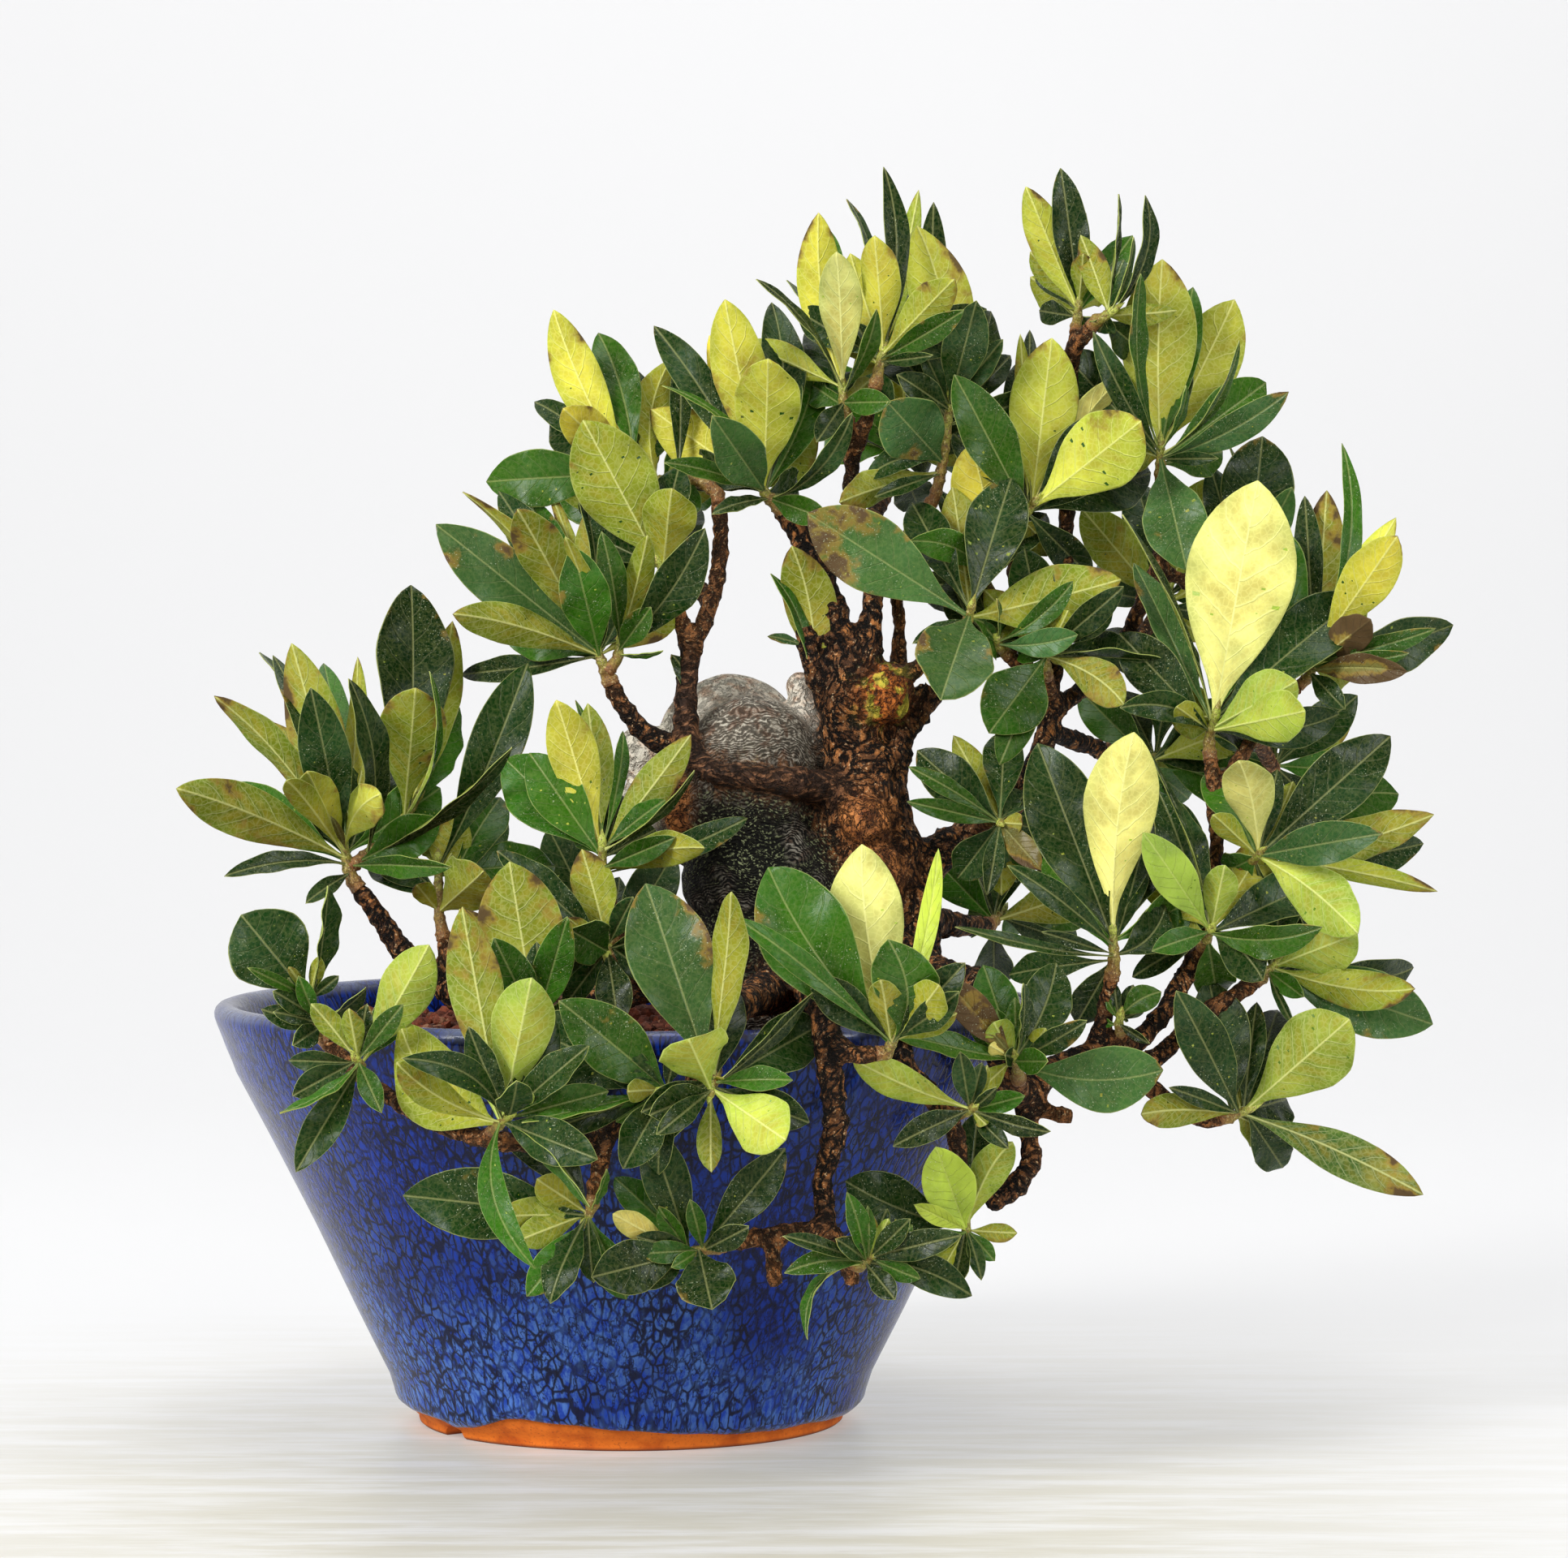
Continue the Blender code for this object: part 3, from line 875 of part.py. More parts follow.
def finish_piece(item, colour, origin, root):
    """Gives a piece its material, its own origin and its place under the root."""
    item.data.materials.clear()
    item.data.materials.append(colour)
    if origin is not None:
        item.data.transform(Matrix.Translation(-origin))
        item.location = origin
    item.location = item.location - root.location
    item.parent = root


def build():
    empty_the_scene()
    parts = new_collection("gardenia_bonsai")
    cutters = new_collection("cutters")
    colours = {name: material(name) for name in MATERIALS}
    root = new_object("plant_root", None, parts)
    root.location = (POT_X, POT_Y, 0.0)

    pot = make_pot(parts, cutters)
    screen = cylinder("drain_screen", 14.0 * MM, FLOOR_TOP + GAP, FLOOR_TOP + GAP + 1.0 * MM,
                      0.0, 0.0, 16, parts)
    screen.location = (POT_X, POT_Y, 0.0)
    soil = make_soil(parts, cutters)
    wood = make_wood(parts, cutters)
    placed = [solid_of(pot, "pot"), solid_of(soil, "soil"), solid_of(wood, "wood")]
    shoots = make_shoots(parts, placed)

    finish_piece(pot, colours["cobalt_glaze"], None, root)
    finish_piece(screen, colours["plastic_mesh"], None, root)
    finish_piece(soil, colours["bark_and_lava"], None, root)
    finish_piece(wood, colours["bark"], seen(FEET[0][0], 1250, FEET[0][1]), root)
    for shoot in shoots:
        finish_piece(shoot, colours["leaf"], shoot.data.vertices[0].co.copy(), root)
    for item in (pot, screen, soil, wood):
        item.data.shade_smooth()
        item.data.set_sharp_from_angle(angle=math.radians(35.0))


build()
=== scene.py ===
import math
import random

import bmesh
import bpy
import numpy as np
from mathutils import Matrix, Vector, noise
from mathutils.kdtree import KDTree


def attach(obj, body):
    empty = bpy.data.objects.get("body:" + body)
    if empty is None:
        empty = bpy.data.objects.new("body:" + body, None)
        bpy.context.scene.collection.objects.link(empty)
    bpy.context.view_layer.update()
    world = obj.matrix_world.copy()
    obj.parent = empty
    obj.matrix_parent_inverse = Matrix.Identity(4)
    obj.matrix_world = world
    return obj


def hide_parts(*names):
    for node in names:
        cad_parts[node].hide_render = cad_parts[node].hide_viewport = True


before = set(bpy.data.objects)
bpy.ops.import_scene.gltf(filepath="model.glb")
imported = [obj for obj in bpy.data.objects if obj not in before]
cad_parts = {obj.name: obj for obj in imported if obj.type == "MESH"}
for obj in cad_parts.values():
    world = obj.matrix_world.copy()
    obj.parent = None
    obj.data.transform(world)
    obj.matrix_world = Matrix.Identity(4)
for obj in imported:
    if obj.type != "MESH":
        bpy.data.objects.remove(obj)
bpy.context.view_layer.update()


# The table and the light. The plant stands on a pale board, brushed round the pot, that runs up
# far behind it as a white sweep. The brushed floor before the pot also carries painted shadow and
# painted reflection, and board and sweep glow faintly, a painted glow that lifts their shadows.
# Soft windows light the plant from the left, the right, the front and above, and a wide one lights
# the wall of the sweep.

MM = 0.001
POT_X = -0.0503
POT_Y = 0.0296

EYE_AWAY = 1.400
EYE = Vector((POT_X + 0.0426, POT_Y - EYE_AWAY, 0.220))
EYE_PITCH = math.radians(-1.7)
FOCAL_PIXELS = 6198.0
IMAGE_WIDTH = 1932.0
MIDDLE_X = 966.0
MIDDLE_Y = 960.0
# What one step of the picture's (x, y) covers at the pot's axis
PIXEL = EYE_AWAY / FOCAL_PIXELS
SENSOR = 36.0


def seen(x, y, near):
    """The point that the picture shows at (x, y), `near` mm in front of the pot's axis."""
    ahead = Vector((0.0, math.cos(EYE_PITCH), math.sin(EYE_PITCH)))
    up = Vector((0.0, -math.sin(EYE_PITCH), math.cos(EYE_PITCH)))
    ray = ahead * FOCAL_PIXELS + up * (MIDDLE_Y - y)
    ray.x += x - MIDDLE_X
    return EYE + ray * ((POT_Y - near * MM - EYE.y) / ray.y)


def linear(red, green, blue):
    """A colour as the eye names it, from 0 to 255, in the light's own measure."""
    parts = []
    for value in (red, green, blue):
        share = value / 255.0
        parts.append(share / 12.92 if share <= 0.04045 else ((share + 0.055) / 1.055) ** 2.4)
    return (*parts, 1.0)


class Reading:
    """One value, colour or vector inside a material. Sums on it add their nodes."""

    def __init__(self, tree, socket):
        self.tree = tree
        self.socket = socket

    def node(self, kind, settings, inputs, output=0):
        """Adds a node: its settings first, then the values or links of its sockets."""
        made = self.tree.nodes.new(kind)
        for name, value in settings.items():
            setattr(made, name, value)
        for name, value in inputs.items():
            if isinstance(value, Reading):
                self.tree.links.new(value.socket, made.inputs[name])
            else:
                made.inputs[name].default_value = value
        return Reading(self.tree, made.outputs[output])

    def maths(self, operation, first, second):
        return self.node("ShaderNodeMath", {"operation": operation}, {0: first, 1: second})

    def __add__(self, other):
        return self.maths('ADD', self, other)

    def __sub__(self, other):
        return self.maths('SUBTRACT', self, other)

    def __rsub__(self, other):
        return self.maths('SUBTRACT', other, self)

    def __mul__(self, other):
        return self.maths('MULTIPLY', self, other)

    __radd__ = __add__
    __rmul__ = __mul__

    def size(self):
        """The value without its sign."""
        return self.maths('ABSOLUTE', self, 0.0)

    def fraction(self):
        return self.maths('FRACT', self, 0.0)

    def over(self, edge):
        """1 where the value is larger than the edge, else 0."""
        return self.maths('GREATER_THAN', self, edge)

    def step(self, low, high):
        """Rises smoothly from 0 to 1 as the value goes from low to high."""
        return self.node("ShaderNodeMapRange", {"interpolation_type": 'SMOOTHSTEP'},
                         {"Value": self, "From Min": low, "From Max": high})

    def fade(self, low, high):
        """Falls smoothly from 1 to 0 as the value goes from low to high."""
        return 1.0 - self.step(low, high)

    def scaled(self, x, y, z):
        """A place with each of its three parts stretched."""
        return self.node("ShaderNodeVectorMath", {"operation": 'MULTIPLY'}, {0: self, 1: (x, y, z)})

    def moved(self, by):
        return self.node("ShaderNodeVectorMath", {"operation": 'ADD'}, {0: self, 1: by})

    def part(self, axis):
        return self.node("ShaderNodeSeparateXYZ", {}, {0: self}, axis)

    def parts(self):
        return [self.part(axis) for axis in range(3)]

    def kept(self, name, output="Vector"):
        """The three numbers that the mesh keeps under this name."""
        return self.node("ShaderNodeAttribute", {"attribute_name": name}, {}, output)

    def cloud(self, scale, detail=3.0, rough=0.55):
        """Soft noise from 0 to 1 at this place, `scale` blots to the metre."""
        return self.node("ShaderNodeTexNoise", {},
                         {"Vector": self, "Scale": scale, "Detail": detail, "Roughness": rough})

    def cloud_colour(self, scale):
        return self.node("ShaderNodeTexNoise", {},
                         {"Vector": self, "Scale": scale, "Detail": 2.0}, "Color")

    def cells(self, scale, feature='F1', output="Distance"):
        """Distance in a pattern of cells, `scale` cells to the metre."""
        return self.node("ShaderNodeTexVoronoi", {"feature": feature},
                         {"Vector": self, "Scale": scale}, output)

    def to(self, share, colour):
        """This colour mixed with another one by a share from 0 to 1."""
        return self.node("ShaderNodeMix", {"data_type": 'RGBA'}, {0: share, 6: self, 7: colour}, 2)

    def colour(self, shade):
        """A plain colour to start mixing from."""
        return self.node("ShaderNodeCombineXYZ", {}, {"X": shade[0], "Y": shade[1], "Z": shade[2]})

    def bump(self, height_mm):
        """A relief whose full height is this many mm."""
        return self.node("ShaderNodeBump", {}, {"Height": self, "Strength": 1.0,
                                                "Distance": height_mm * MM}, "Normal")


def new_finish(name, even):
    """A material, the values that are the same all over it, and the place on the surface."""
    made = bpy.data.materials.new(name)
    made.use_nodes = True
    shader = made.node_tree.nodes["Principled BSDF"]
    for socket, value in even.items():
        shader.inputs[socket].default_value = value
    place = Reading(made.node_tree, made.node_tree.nodes.new("ShaderNodeTexCoord").outputs["Object"])
    return made, place


def wear(finish, looks):
    """Leads what changes over the surface to the finish's shader."""
    shader = finish.node_tree.nodes["Principled BSDF"]
    for socket, value in looks.items():
        finish.node_tree.links.new(value.socket, shader.inputs[socket])


def mesh_of(shape, name):
    """Turns a finished shape into a mesh."""
    mesh = bpy.data.meshes.new(name)
    shape.to_mesh(mesh)
    shape.free()
    return mesh


def show(name, data):
    """Puts a mesh, light or camera into the scene."""
    item = bpy.data.objects.new(name, data)
    bpy.context.scene.collection.objects.link(item)
    return item


BOARD_WHITE = linear(195, 195, 196)
# The board and sweep glow faintly: a painted glow, no lamp, that lifts the shadows on them.
BOARD_GLOSS_AND_GLOW = {"Specular IOR Level": 0.25, "Roughness": 0.42,
               "Emission Color": (1.0, 1.0, 1.0, 1.0), "Emission Strength": 0.29}
BOARD_SIDE = 3.0
BOARD_FRONT = -1.6
BRUSHED_TO = 0.30
SWEEP_FROM = 0.9
SWEEP_RADIUS = 0.8
SWEEP_STEPS = 16
SWEEP_TOP = 3.2


def board_finish():
    finish, place = new_finish("brushed_board", BOARD_GLOSS_AND_GLOW)
    # Near the pot's front the floor darkens: partly brush streaks, partly painted shadow and painted
    # reflection of the pot and plant.
    low = place.part(2).fade(0.0, 0.02)
    aside = (place.part(0) - (POT_X + 0.01)).size()
    near = low * place.part(1).fade(-0.08, BRUSHED_TO) * (1.0 - aside.step(0.07, 0.26) * 0.75)
    grain = place.scaled(2.0, 14.0, 1.0).cloud(6.0, 6.0, 0.65)
    strokes = place.scaled(1.0, 11.0, 1.0).cloud(30.0, 5.0, 0.75)
    thin = place.scaled(1.0, 26.0, 1.0).cloud(26.0, 4.0, 0.7)
    white = place.colour(BOARD_WHITE)
    streaked_and_shaded = white.to(near * (0.35 + 0.65 * grain.step(0.34, 0.62)), linear(158, 152, 128))
    streaked_and_shaded = streaked_and_shaded.to(near * strokes.step(0.54, 0.72) * 0.45, linear(134, 124, 96))
    streaked_and_shaded = streaked_and_shaded.to(near * thin.step(0.62, 0.70) * 0.45, linear(112, 98, 72))
    wear(finish, {"Base Color": streaked_and_shaded})
    return finish


def make_board():
    """A floor that curves up into a wall far behind the plant."""
    line = [(BOARD_FRONT, 0.0), (BRUSHED_TO, 0.0), (SWEEP_FROM, 0.0)]
    for step in range(1, SWEEP_STEPS + 1):
        turn = math.radians(90.0 * step / SWEEP_STEPS)
        line.append((SWEEP_FROM + SWEEP_RADIUS * math.sin(turn),
                     SWEEP_RADIUS - SWEEP_RADIUS * math.cos(turn)))
    line.append((SWEEP_FROM + SWEEP_RADIUS, SWEEP_TOP))
    shape = bmesh.new()
    left, right = [[shape.verts.new((x, y, z)) for y, z in line] for x in (-BOARD_SIDE, BOARD_SIDE)]
    for number in range(len(line) - 1):
        following = number + 1
        face = shape.faces.new((left[number], right[number], right[following], left[following]))
        face.material_index = min(number, 1)
    mesh = mesh_of(shape, "board")
    mesh.materials.append(board_finish())
    mesh.materials.append(new_finish("plain_sweep", {**BOARD_GLOSS_AND_GLOW, "Base Color": BOARD_WHITE})[0])
    mesh.shade_smooth()
    board = show("board", mesh)


def soft_window(name, place, aim, wide, high, watts):
    light = bpy.data.lights.new(name, 'AREA')
    light.shape = 'RECTANGLE'
    light.size = wide
    light.size_y = high
    light.energy = watts
    item = show(name, light)
    item.location = place
    item.rotation_euler = (Vector(aim) - Vector(place)).to_track_quat('-Z', 'Y').to_euler()


def make_camera():
    lens = bpy.data.cameras.new("camera")
    lens.sensor_fit = 'HORIZONTAL'
    lens.sensor_width = SENSOR
    lens.lens = FOCAL_PIXELS * SENSOR / IMAGE_WIDTH
    camera = show("camera", lens)
    camera.location = EYE
    camera.rotation_euler = (math.radians(90.0) + EYE_PITCH, 0.0, 0.0)
    bpy.context.scene.camera = camera


def light_the_room():
    world = bpy.data.worlds.new("white_room")
    world.use_nodes = True
    sky = world.node_tree.nodes["Background"]
    sky.inputs["Color"].default_value = (1.0, 1.0, 1.0, 1.0)
    sky.inputs["Strength"].default_value = 0.20
    bpy.context.scene.world = world
    bpy.context.scene.view_settings.view_transform = 'Standard'
    middle = (0.0, 0.0, 0.17)
    soft_window("window_left", (-1.05, -1.05, 0.95), middle, 0.50, 0.75, 26.0)
    soft_window("window_right", (1.25, -0.75, 0.70), middle, 0.30, 0.70, 8.0)
    soft_window("window_front", (0.20, -2.00, 0.85), middle, 0.50, 0.50, 9.0)
    soft_window("window_above", (0.10, 0.10, 1.60), middle, 0.8, 0.8, 9.0)
    soft_window("window_wall", (0.0, 0.75, 1.5), (0.0, 1.7, 0.8), 2.6, 1.0, 9.5)


make_camera()
make_board()
light_the_room()


# The pot: stoneware thrown on a wheel, dipped in a thick cobalt glaze that crackled as it cooled
# and ran down to a wavy roll above the foot. The foot ring is bare red clay with two notches.

LIP = [(110.6, 101.0), (112.1, 104.5), (113.5, 108.2), (114.8, 111.4), (115.4, 113.2),
       (115.5, 114.4), (115.1, 115.6), (114.2, 116.5), (112.9, 116.95), (111.5, 116.95),
       (110.2, 116.5), (109.2, 115.6), (108.4, 114.3), (107.7, 112.4)]
OUTER_WALL = [(59.2, 2.5), (61.0, 3.0), (63.9, 6.0), (65.7, 10.5), (77.1, 33.3), (88.0, 56.0),
              (99.5, 78.8), (111.3, 101.4)]
WALL_HEIGHTS = [14, 18, 22, 27, 32, 38, 44, 50, 56, 62, 68, 74, 80, 85, 90, 94, 98]
# From the lip down the inside, through the drain hole and out under the foot
INNER_WALL = [(104.8, 106.0), (103.6, 101.4), (96.0, 86.0), (88.0, 70.0), (80.3, 56.0),
              (70.0, 35.0), (60.5, 17.0), (57.5, 9.2), (30.0, 9.2), (8.0, 9.2), (8.0, 4.0),
              (30.0, 4.0), (49.4, 4.0), (50.0, 3.4), (50.0, 0.6), (50.6, 0.0), (58.4, 0.0),
              (59.0, 0.5)]
# How high the glaze stops above the table: degrees round from the front, and height in mm
GLAZE_EDGE = [(-180, 5.6), (-150, 7.2), (-122, 4.8), (-95, 6.8), (-66, 6.0), (-52, 5.8), (-49, 4.2),
              (-41, 4.7), (-36, 6.3), (-30, 8.2), (-24, 8.8), (-9, 7.9), (-2, 6.9), (6, 5.9),
              (16, 5.0), (27, 4.7), (39, 4.1), (54, 4.3), (75, 3.9), (98, 5.4), (126, 4.4),
              (152, 6.4), (180, 5.6)]
# The roll of thick glaze at its edge: height above the edge, and how far it is sunk in the wall
ROLL = [(0.0, 0.90), (-0.35, 0.20), (-0.20, -0.45), (0.6, -0.90), (2.0, -1.00), (4.0, -0.70)]
GLAZE_THICK = 0.95
GLAZED_FLOOR = 9.3
FOOT_TOP = 2.5
UNEVEN_FROM = 58.0
NOTCH_RADIUS = 5.0
NOTCH_SUNK = 1.5
NOTCH_TURN = -53.0
POT_STEPS = 224
POT_UNEVEN = 0.30


def wall_radius(height):
    return np.interp(height, [z for r, z in OUTER_WALL], [r for r, z in OUTER_WALL])


def pot_column(turn):
    """Radius, height and finish down the pot's section at one turn round it."""
    edge = np.interp(turn, [row[0] for row in GLAZE_EDGE], [row[1] for row in GLAZE_EDGE])
    edge += 0.25 * math.sin(math.radians(turn * 9.0)) + 0.15 * math.sin(math.radians(turn * 23.0))
    column = [(59.2, 1.2, 1), (59.2, 2.3, 1)]
    for share in (0.25, 0.6, 1.0):
        height = FOOT_TOP + (edge - FOOT_TOP) * share
        column.append((wall_radius(height) - GLAZE_THICK, height, 1))
    for rise, sunk in ROLL:
        column.append((wall_radius(edge + rise) - sunk, edge + rise, 0))
    column += [(wall_radius(height), height, 0) for height in WALL_HEIGHTS]
    column += [(r, z, 0) for r, z in LIP]
    column += [(r, z, 0 if z > GLAZED_FLOOR else 1) for r, z in INNER_WALL]
    return column


def glaze_finish():
    finish, place = new_finish("cobalt_glaze", {"Specular IOR Level": 0.16, "Coat Weight": 0.18,
                                                "Coat Roughness": 0.05, "Coat IOR": 1.5})
    height = place.part(2)
    wander = place.moved(place.cloud_colour(210.0).scaled(0.0018, 0.0018, 0.0040))
    lines = wander.scaled(1.0, 1.0, 0.30).cells(390.0, 'DISTANCE_TO_EDGE')
    drip = (place.scaled(1.0, 1.0, 0.13).cloud(330.0, 3.0, 0.55) - 0.5).size()
    streak = place.scaled(1.0, 1.0, 0.16).cloud(620.0, 5.0, 0.70)
    patch = place.scaled(1.0, 1.0, 0.7).cloud(24.0, 3.0, 0.5)
    broken = place.scaled(1.0, 1.0, 0.35).cloud(60.0, 3.0, 0.6)
    low = height.fade(0.010, 0.080)
    # A painted highlight low on the left front is mixed into the glaze's pale patches, which are also
    # strongest low down.
    beside = (place.part(0) - (POT_X - 0.022)).size()
    painted_highlight = beside.fade(0.005, 0.050) * height.fade(0.020, 0.075)
    pale = (patch + 0.08 * low + 0.16 * painted_highlight).step(0.46, 0.70) * (0.25 + 0.75 * low)

    blue = place.colour(linear(6, 48, 150)).to(streak.step(0.42, 0.60) * 0.90, linear(2, 16, 78))
    blue = blue.to(pale * streak.step(0.38, 0.60) * 0.75, linear(92, 140, 220))
    blue = blue.to(pale * 0.22, linear(44, 82, 176))
    thick = lines.fade(0.040, 0.150) * (0.60 + 0.40 * broken.step(0.40, 0.54))
    blue = blue.to(drip.fade(0.004, 0.032) * 0.85, linear(5, 9, 38))
    blue = blue.to(thick * 0.95, linear(4, 8, 36))
    # The lip is paler where the glaze thins over it, and this pale band also stands in for the
    # highlight along the lip as painted highlight.
    lip = height.step(0.1130, 0.1158)
    blue = blue.to(lip * (0.30 + 0.50 * patch.step(0.40, 0.60)), linear(116, 124, 150))
    blue = blue.to(lip * streak.fade(0.40, 0.52) * 0.5, linear(58, 44, 44))
    wear(finish, {"Base Color": blue,
                  "Roughness": 0.14 + 0.22 * streak,
                  "Normal": (lines.step(0.0, 0.16) * 0.6 + streak * 0.5).bump(0.12)})
    return finish


def clay_finish():
    finish, place = new_finish("bare_clay", {"Specular IOR Level": 0.2})
    blotch = place.cloud(120.0, 4.0, 0.6)
    grit = place.cloud(1400.0, 2.0, 0.5)
    clay = place.colour(linear(226, 118, 36)).to(blotch.step(0.35, 0.70), linear(188, 86, 24))
    clay = clay.to(grit.step(0.56, 0.74) * 0.6, linear(150, 74, 36))
    clay = clay.to(place.part(2).fade(0.0, 0.0012), linear(124, 66, 40))
    wear(finish, {"Base Color": clay, "Roughness": 0.70 + 0.2 * grit, "Normal": grit.bump(0.12)})
    return finish


def pot_place(out, radius, height):
    """A point of the pot's wall, a little uneven as thrown walls are."""
    place = out * (radius * MM) + Vector((0.0, 0.0, height * MM))
    uneven = POT_UNEVEN * MM * noise.noise(place * 24.0) * min(1.0, height / 20.0)
    place += out * (uneven if radius > UNEVEN_FROM else 0.0)
    return place + Vector((POT_X, POT_Y, 0.0))


def make_pot():
    shape = bmesh.new()
    columns = []
    rings = []
    for number in range(POT_STEPS):
        degrees = 360.0 * number / POT_STEPS - 180.0
        turn = math.radians(degrees)
        out = Vector((math.sin(turn), -math.cos(turn), 0.0))
        columns.append(pot_column(degrees))
        rings.append([shape.verts.new(pot_place(out, radius, height))
                      for radius, height, finish in columns[-1]])
    count = len(columns[0])
    for number in range(POT_STEPS):
        here, there = rings[number], rings[(number + 1) % POT_STEPS]
        for row in range(count):
            above = (row + 1) % count
            face = shape.faces.new((here[row], there[row], there[above], here[above]))
            both = columns[number][row][2] and columns[number][above][2]
            face.material_index = 1 if both else 0
            face.smooth = True
    mesh = mesh_of(shape, "glazed_pot")
    mesh.materials.append(glaze_finish())
    mesh.materials.append(clay_finish())
    pot = show("glazed_pot", mesh)
    notch_the_foot(pot)
    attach(pot, "root")
    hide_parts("pot")


def settle_mesh(item):
    """Applies an object's modifiers."""
    bpy.context.view_layer.update()
    graph = bpy.context.evaluated_depsgraph_get()
    mesh = bpy.data.meshes.new_from_object(item.evaluated_get(graph), depsgraph=graph)
    item.modifiers.clear()
    item.data = mesh


def notch_the_foot(pot):
    """Cuts the two arched notches that let water run out from under the foot."""
    shape = bmesh.new()
    bmesh.ops.create_cone(shape, cap_ends=True, segments=40, radius1=NOTCH_RADIUS * MM,
                          radius2=NOTCH_RADIUS * MM, depth=0.16)
    mesh = mesh_of(shape, "notch")
    mesh.transform(Matrix.Translation((POT_X, POT_Y, -NOTCH_SUNK * MM))
                   @ Matrix.Rotation(math.radians(NOTCH_TURN), 4, 'Z')
                   @ Matrix.Rotation(math.radians(90.0), 4, 'X'))
    mesh.materials.append(pot.data.materials[1])
    cutter = show("notch", mesh)
    cut = pot.modifiers.new("notch", 'BOOLEAN')
    cut.operation = 'DIFFERENCE'
    cut.object = cutter
    cut.solver = 'EXACT'
    settle_mesh(pot)
    bpy.data.objects.remove(cutter)
    pot.data.set_sharp_from_angle(angle=math.radians(50.0))


make_pot()


# The drain screen: a disc of black plastic mesh, cut from a sheet and laid over the drain hole
# before the soil goes in. It lies under the soil.

STRANDS_TO_THE_METRE = 500.0


def screen_finish():
    finish, place = new_finish("plastic_mesh", {"Specular IOR Level": 0.4})
    across = (place.part(0) * STRANDS_TO_THE_METRE).fraction() - 0.5
    along = (place.part(1) * STRANDS_TO_THE_METRE).fraction() - 0.5
    strand = 1.0 - across.size().fade(0.22, 0.34) * along.size().fade(0.22, 0.34)
    black = place.colour(linear(22, 22, 24)).to(strand, linear(46, 46, 50))
    wear(finish, {"Base Color": black, "Roughness": 0.5 + 0.2 * strand, "Normal": strand.bump(0.3)})
    return finish


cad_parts["drain_screen"].data.materials[0] = screen_finish()


# The soil: crushed red lava and bark, sieved to chips of a few mm and tipped in round the
# roots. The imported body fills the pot, and loose chips lie on and in its top.

SOIL_TOP = 0.1065
SOIL_RADIUS = 101.0
CHIPS = 1350
CHIP_SEED = 12
CHIP_SIZES = (1.4, 3.3)
# Where the wood's two feet go in, as (x, y, near, radius in mm)
FEET = [(958, 1250, 3, 21.0), (1074, 1250, 6, 17.0)]


def chip_finish():
    finish, place = new_finish("lava_and_bark", {"Specular IOR Level": 0.2})
    each = place.cells(230.0, 'F1', "Color").part(0)
    pore = place.cloud(1500.0, 3.0, 0.6)
    stain = place.cloud(90.0, 3.0, 0.5)
    red = place.colour(linear(126, 66, 46)).to(each.step(0.2, 0.9), linear(82, 44, 34))
    red = red.to(stain.step(0.45, 0.7) * 0.6, linear(62, 48, 42))
    red = red.to(pore.step(0.54, 0.72) * 0.7, linear(34, 22, 18))
    red = red.to(each.step(0.86, 0.94) * 0.6, linear(176, 128, 96))
    wear(finish, {"Base Color": red, "Roughness": 0.82 + 0.15 * pore, "Normal": pore.bump(0.5)})
    return finish


def chip(draw):
    """One broken chip, as corners and faces: a ball with its corners knocked about."""
    shape = bmesh.new()
    bmesh.ops.create_icosphere(shape, subdivisions=1 + (draw.random() > 0.35), radius=1.0)
    lumps = Vector((draw.random(), draw.random(), draw.random())) * 50.0
    corners = []
    for vertex in shape.verts:
        corners.append(vertex.co * (1.0 + 0.45 * noise.noise(vertex.co * 1.3 + lumps)
                                    + draw.uniform(-0.07, 0.07)))
    faces = [tuple(vertex.index for vertex in face.verts) for face in shape.faces]
    shape.free()
    return corners, faces


def make_chips(finish):
    draw = random.Random(CHIP_SEED)
    feet = [(seen(x, y, near), radius * MM) for x, y, near, radius in FEET]
    points = []
    faces = []
    for number in range(CHIPS):
        away = SOIL_RADIUS * MM * math.sqrt(draw.random())
        turn = draw.uniform(0.0, 2.0 * math.pi)
        size = draw.uniform(*CHIP_SIZES) * MM
        flat = Vector((1.0, draw.uniform(0.6, 1.0), draw.uniform(0.4, 0.75))) * size
        spin = Matrix.Rotation(draw.uniform(0.0, math.pi), 3, 'Z')
        tip = Matrix.Rotation(draw.uniform(-0.7, 0.7), 3, 'X')
        tip = tip @ Matrix.Rotation(draw.uniform(-0.7, 0.7), 3, 'Y')
        corners, sides = chip(draw)
        place = Vector((POT_X + away * math.cos(turn), POT_Y + away * math.sin(turn),
                        SOIL_TOP + draw.uniform(0.1, 1.9) * MM))
        rooted = any(math.hypot(place.x - foot.x, place.y - foot.y) < reach - 1.0 * MM
                     for foot, reach in feet)
        if rooted:
            continue
        start = len(points)
        for corner in corners:
            stretched = Vector((corner.x * flat.x, corner.y * flat.y, corner.z * flat.z))
            points.append(place + spin @ (tip @ stretched))
        faces += [tuple(start + corner for corner in side) for side in sides]
    mesh = bpy.data.meshes.new("soil_chips")
    mesh.from_pydata(points, [], faces)
    mesh.materials.append(finish)
    chips = show("soil_chips", mesh)
    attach(chips, "root")


lava = chip_finish()
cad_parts["soil"].data.materials[0] = lava
make_chips(lava)


# The wood: an old stock with grey wrinkled bark, a brown fissured trunk risen beside it, and the
# branches, all grown as one. It stands in the soil, and old cuts show on it as scars and stubs.

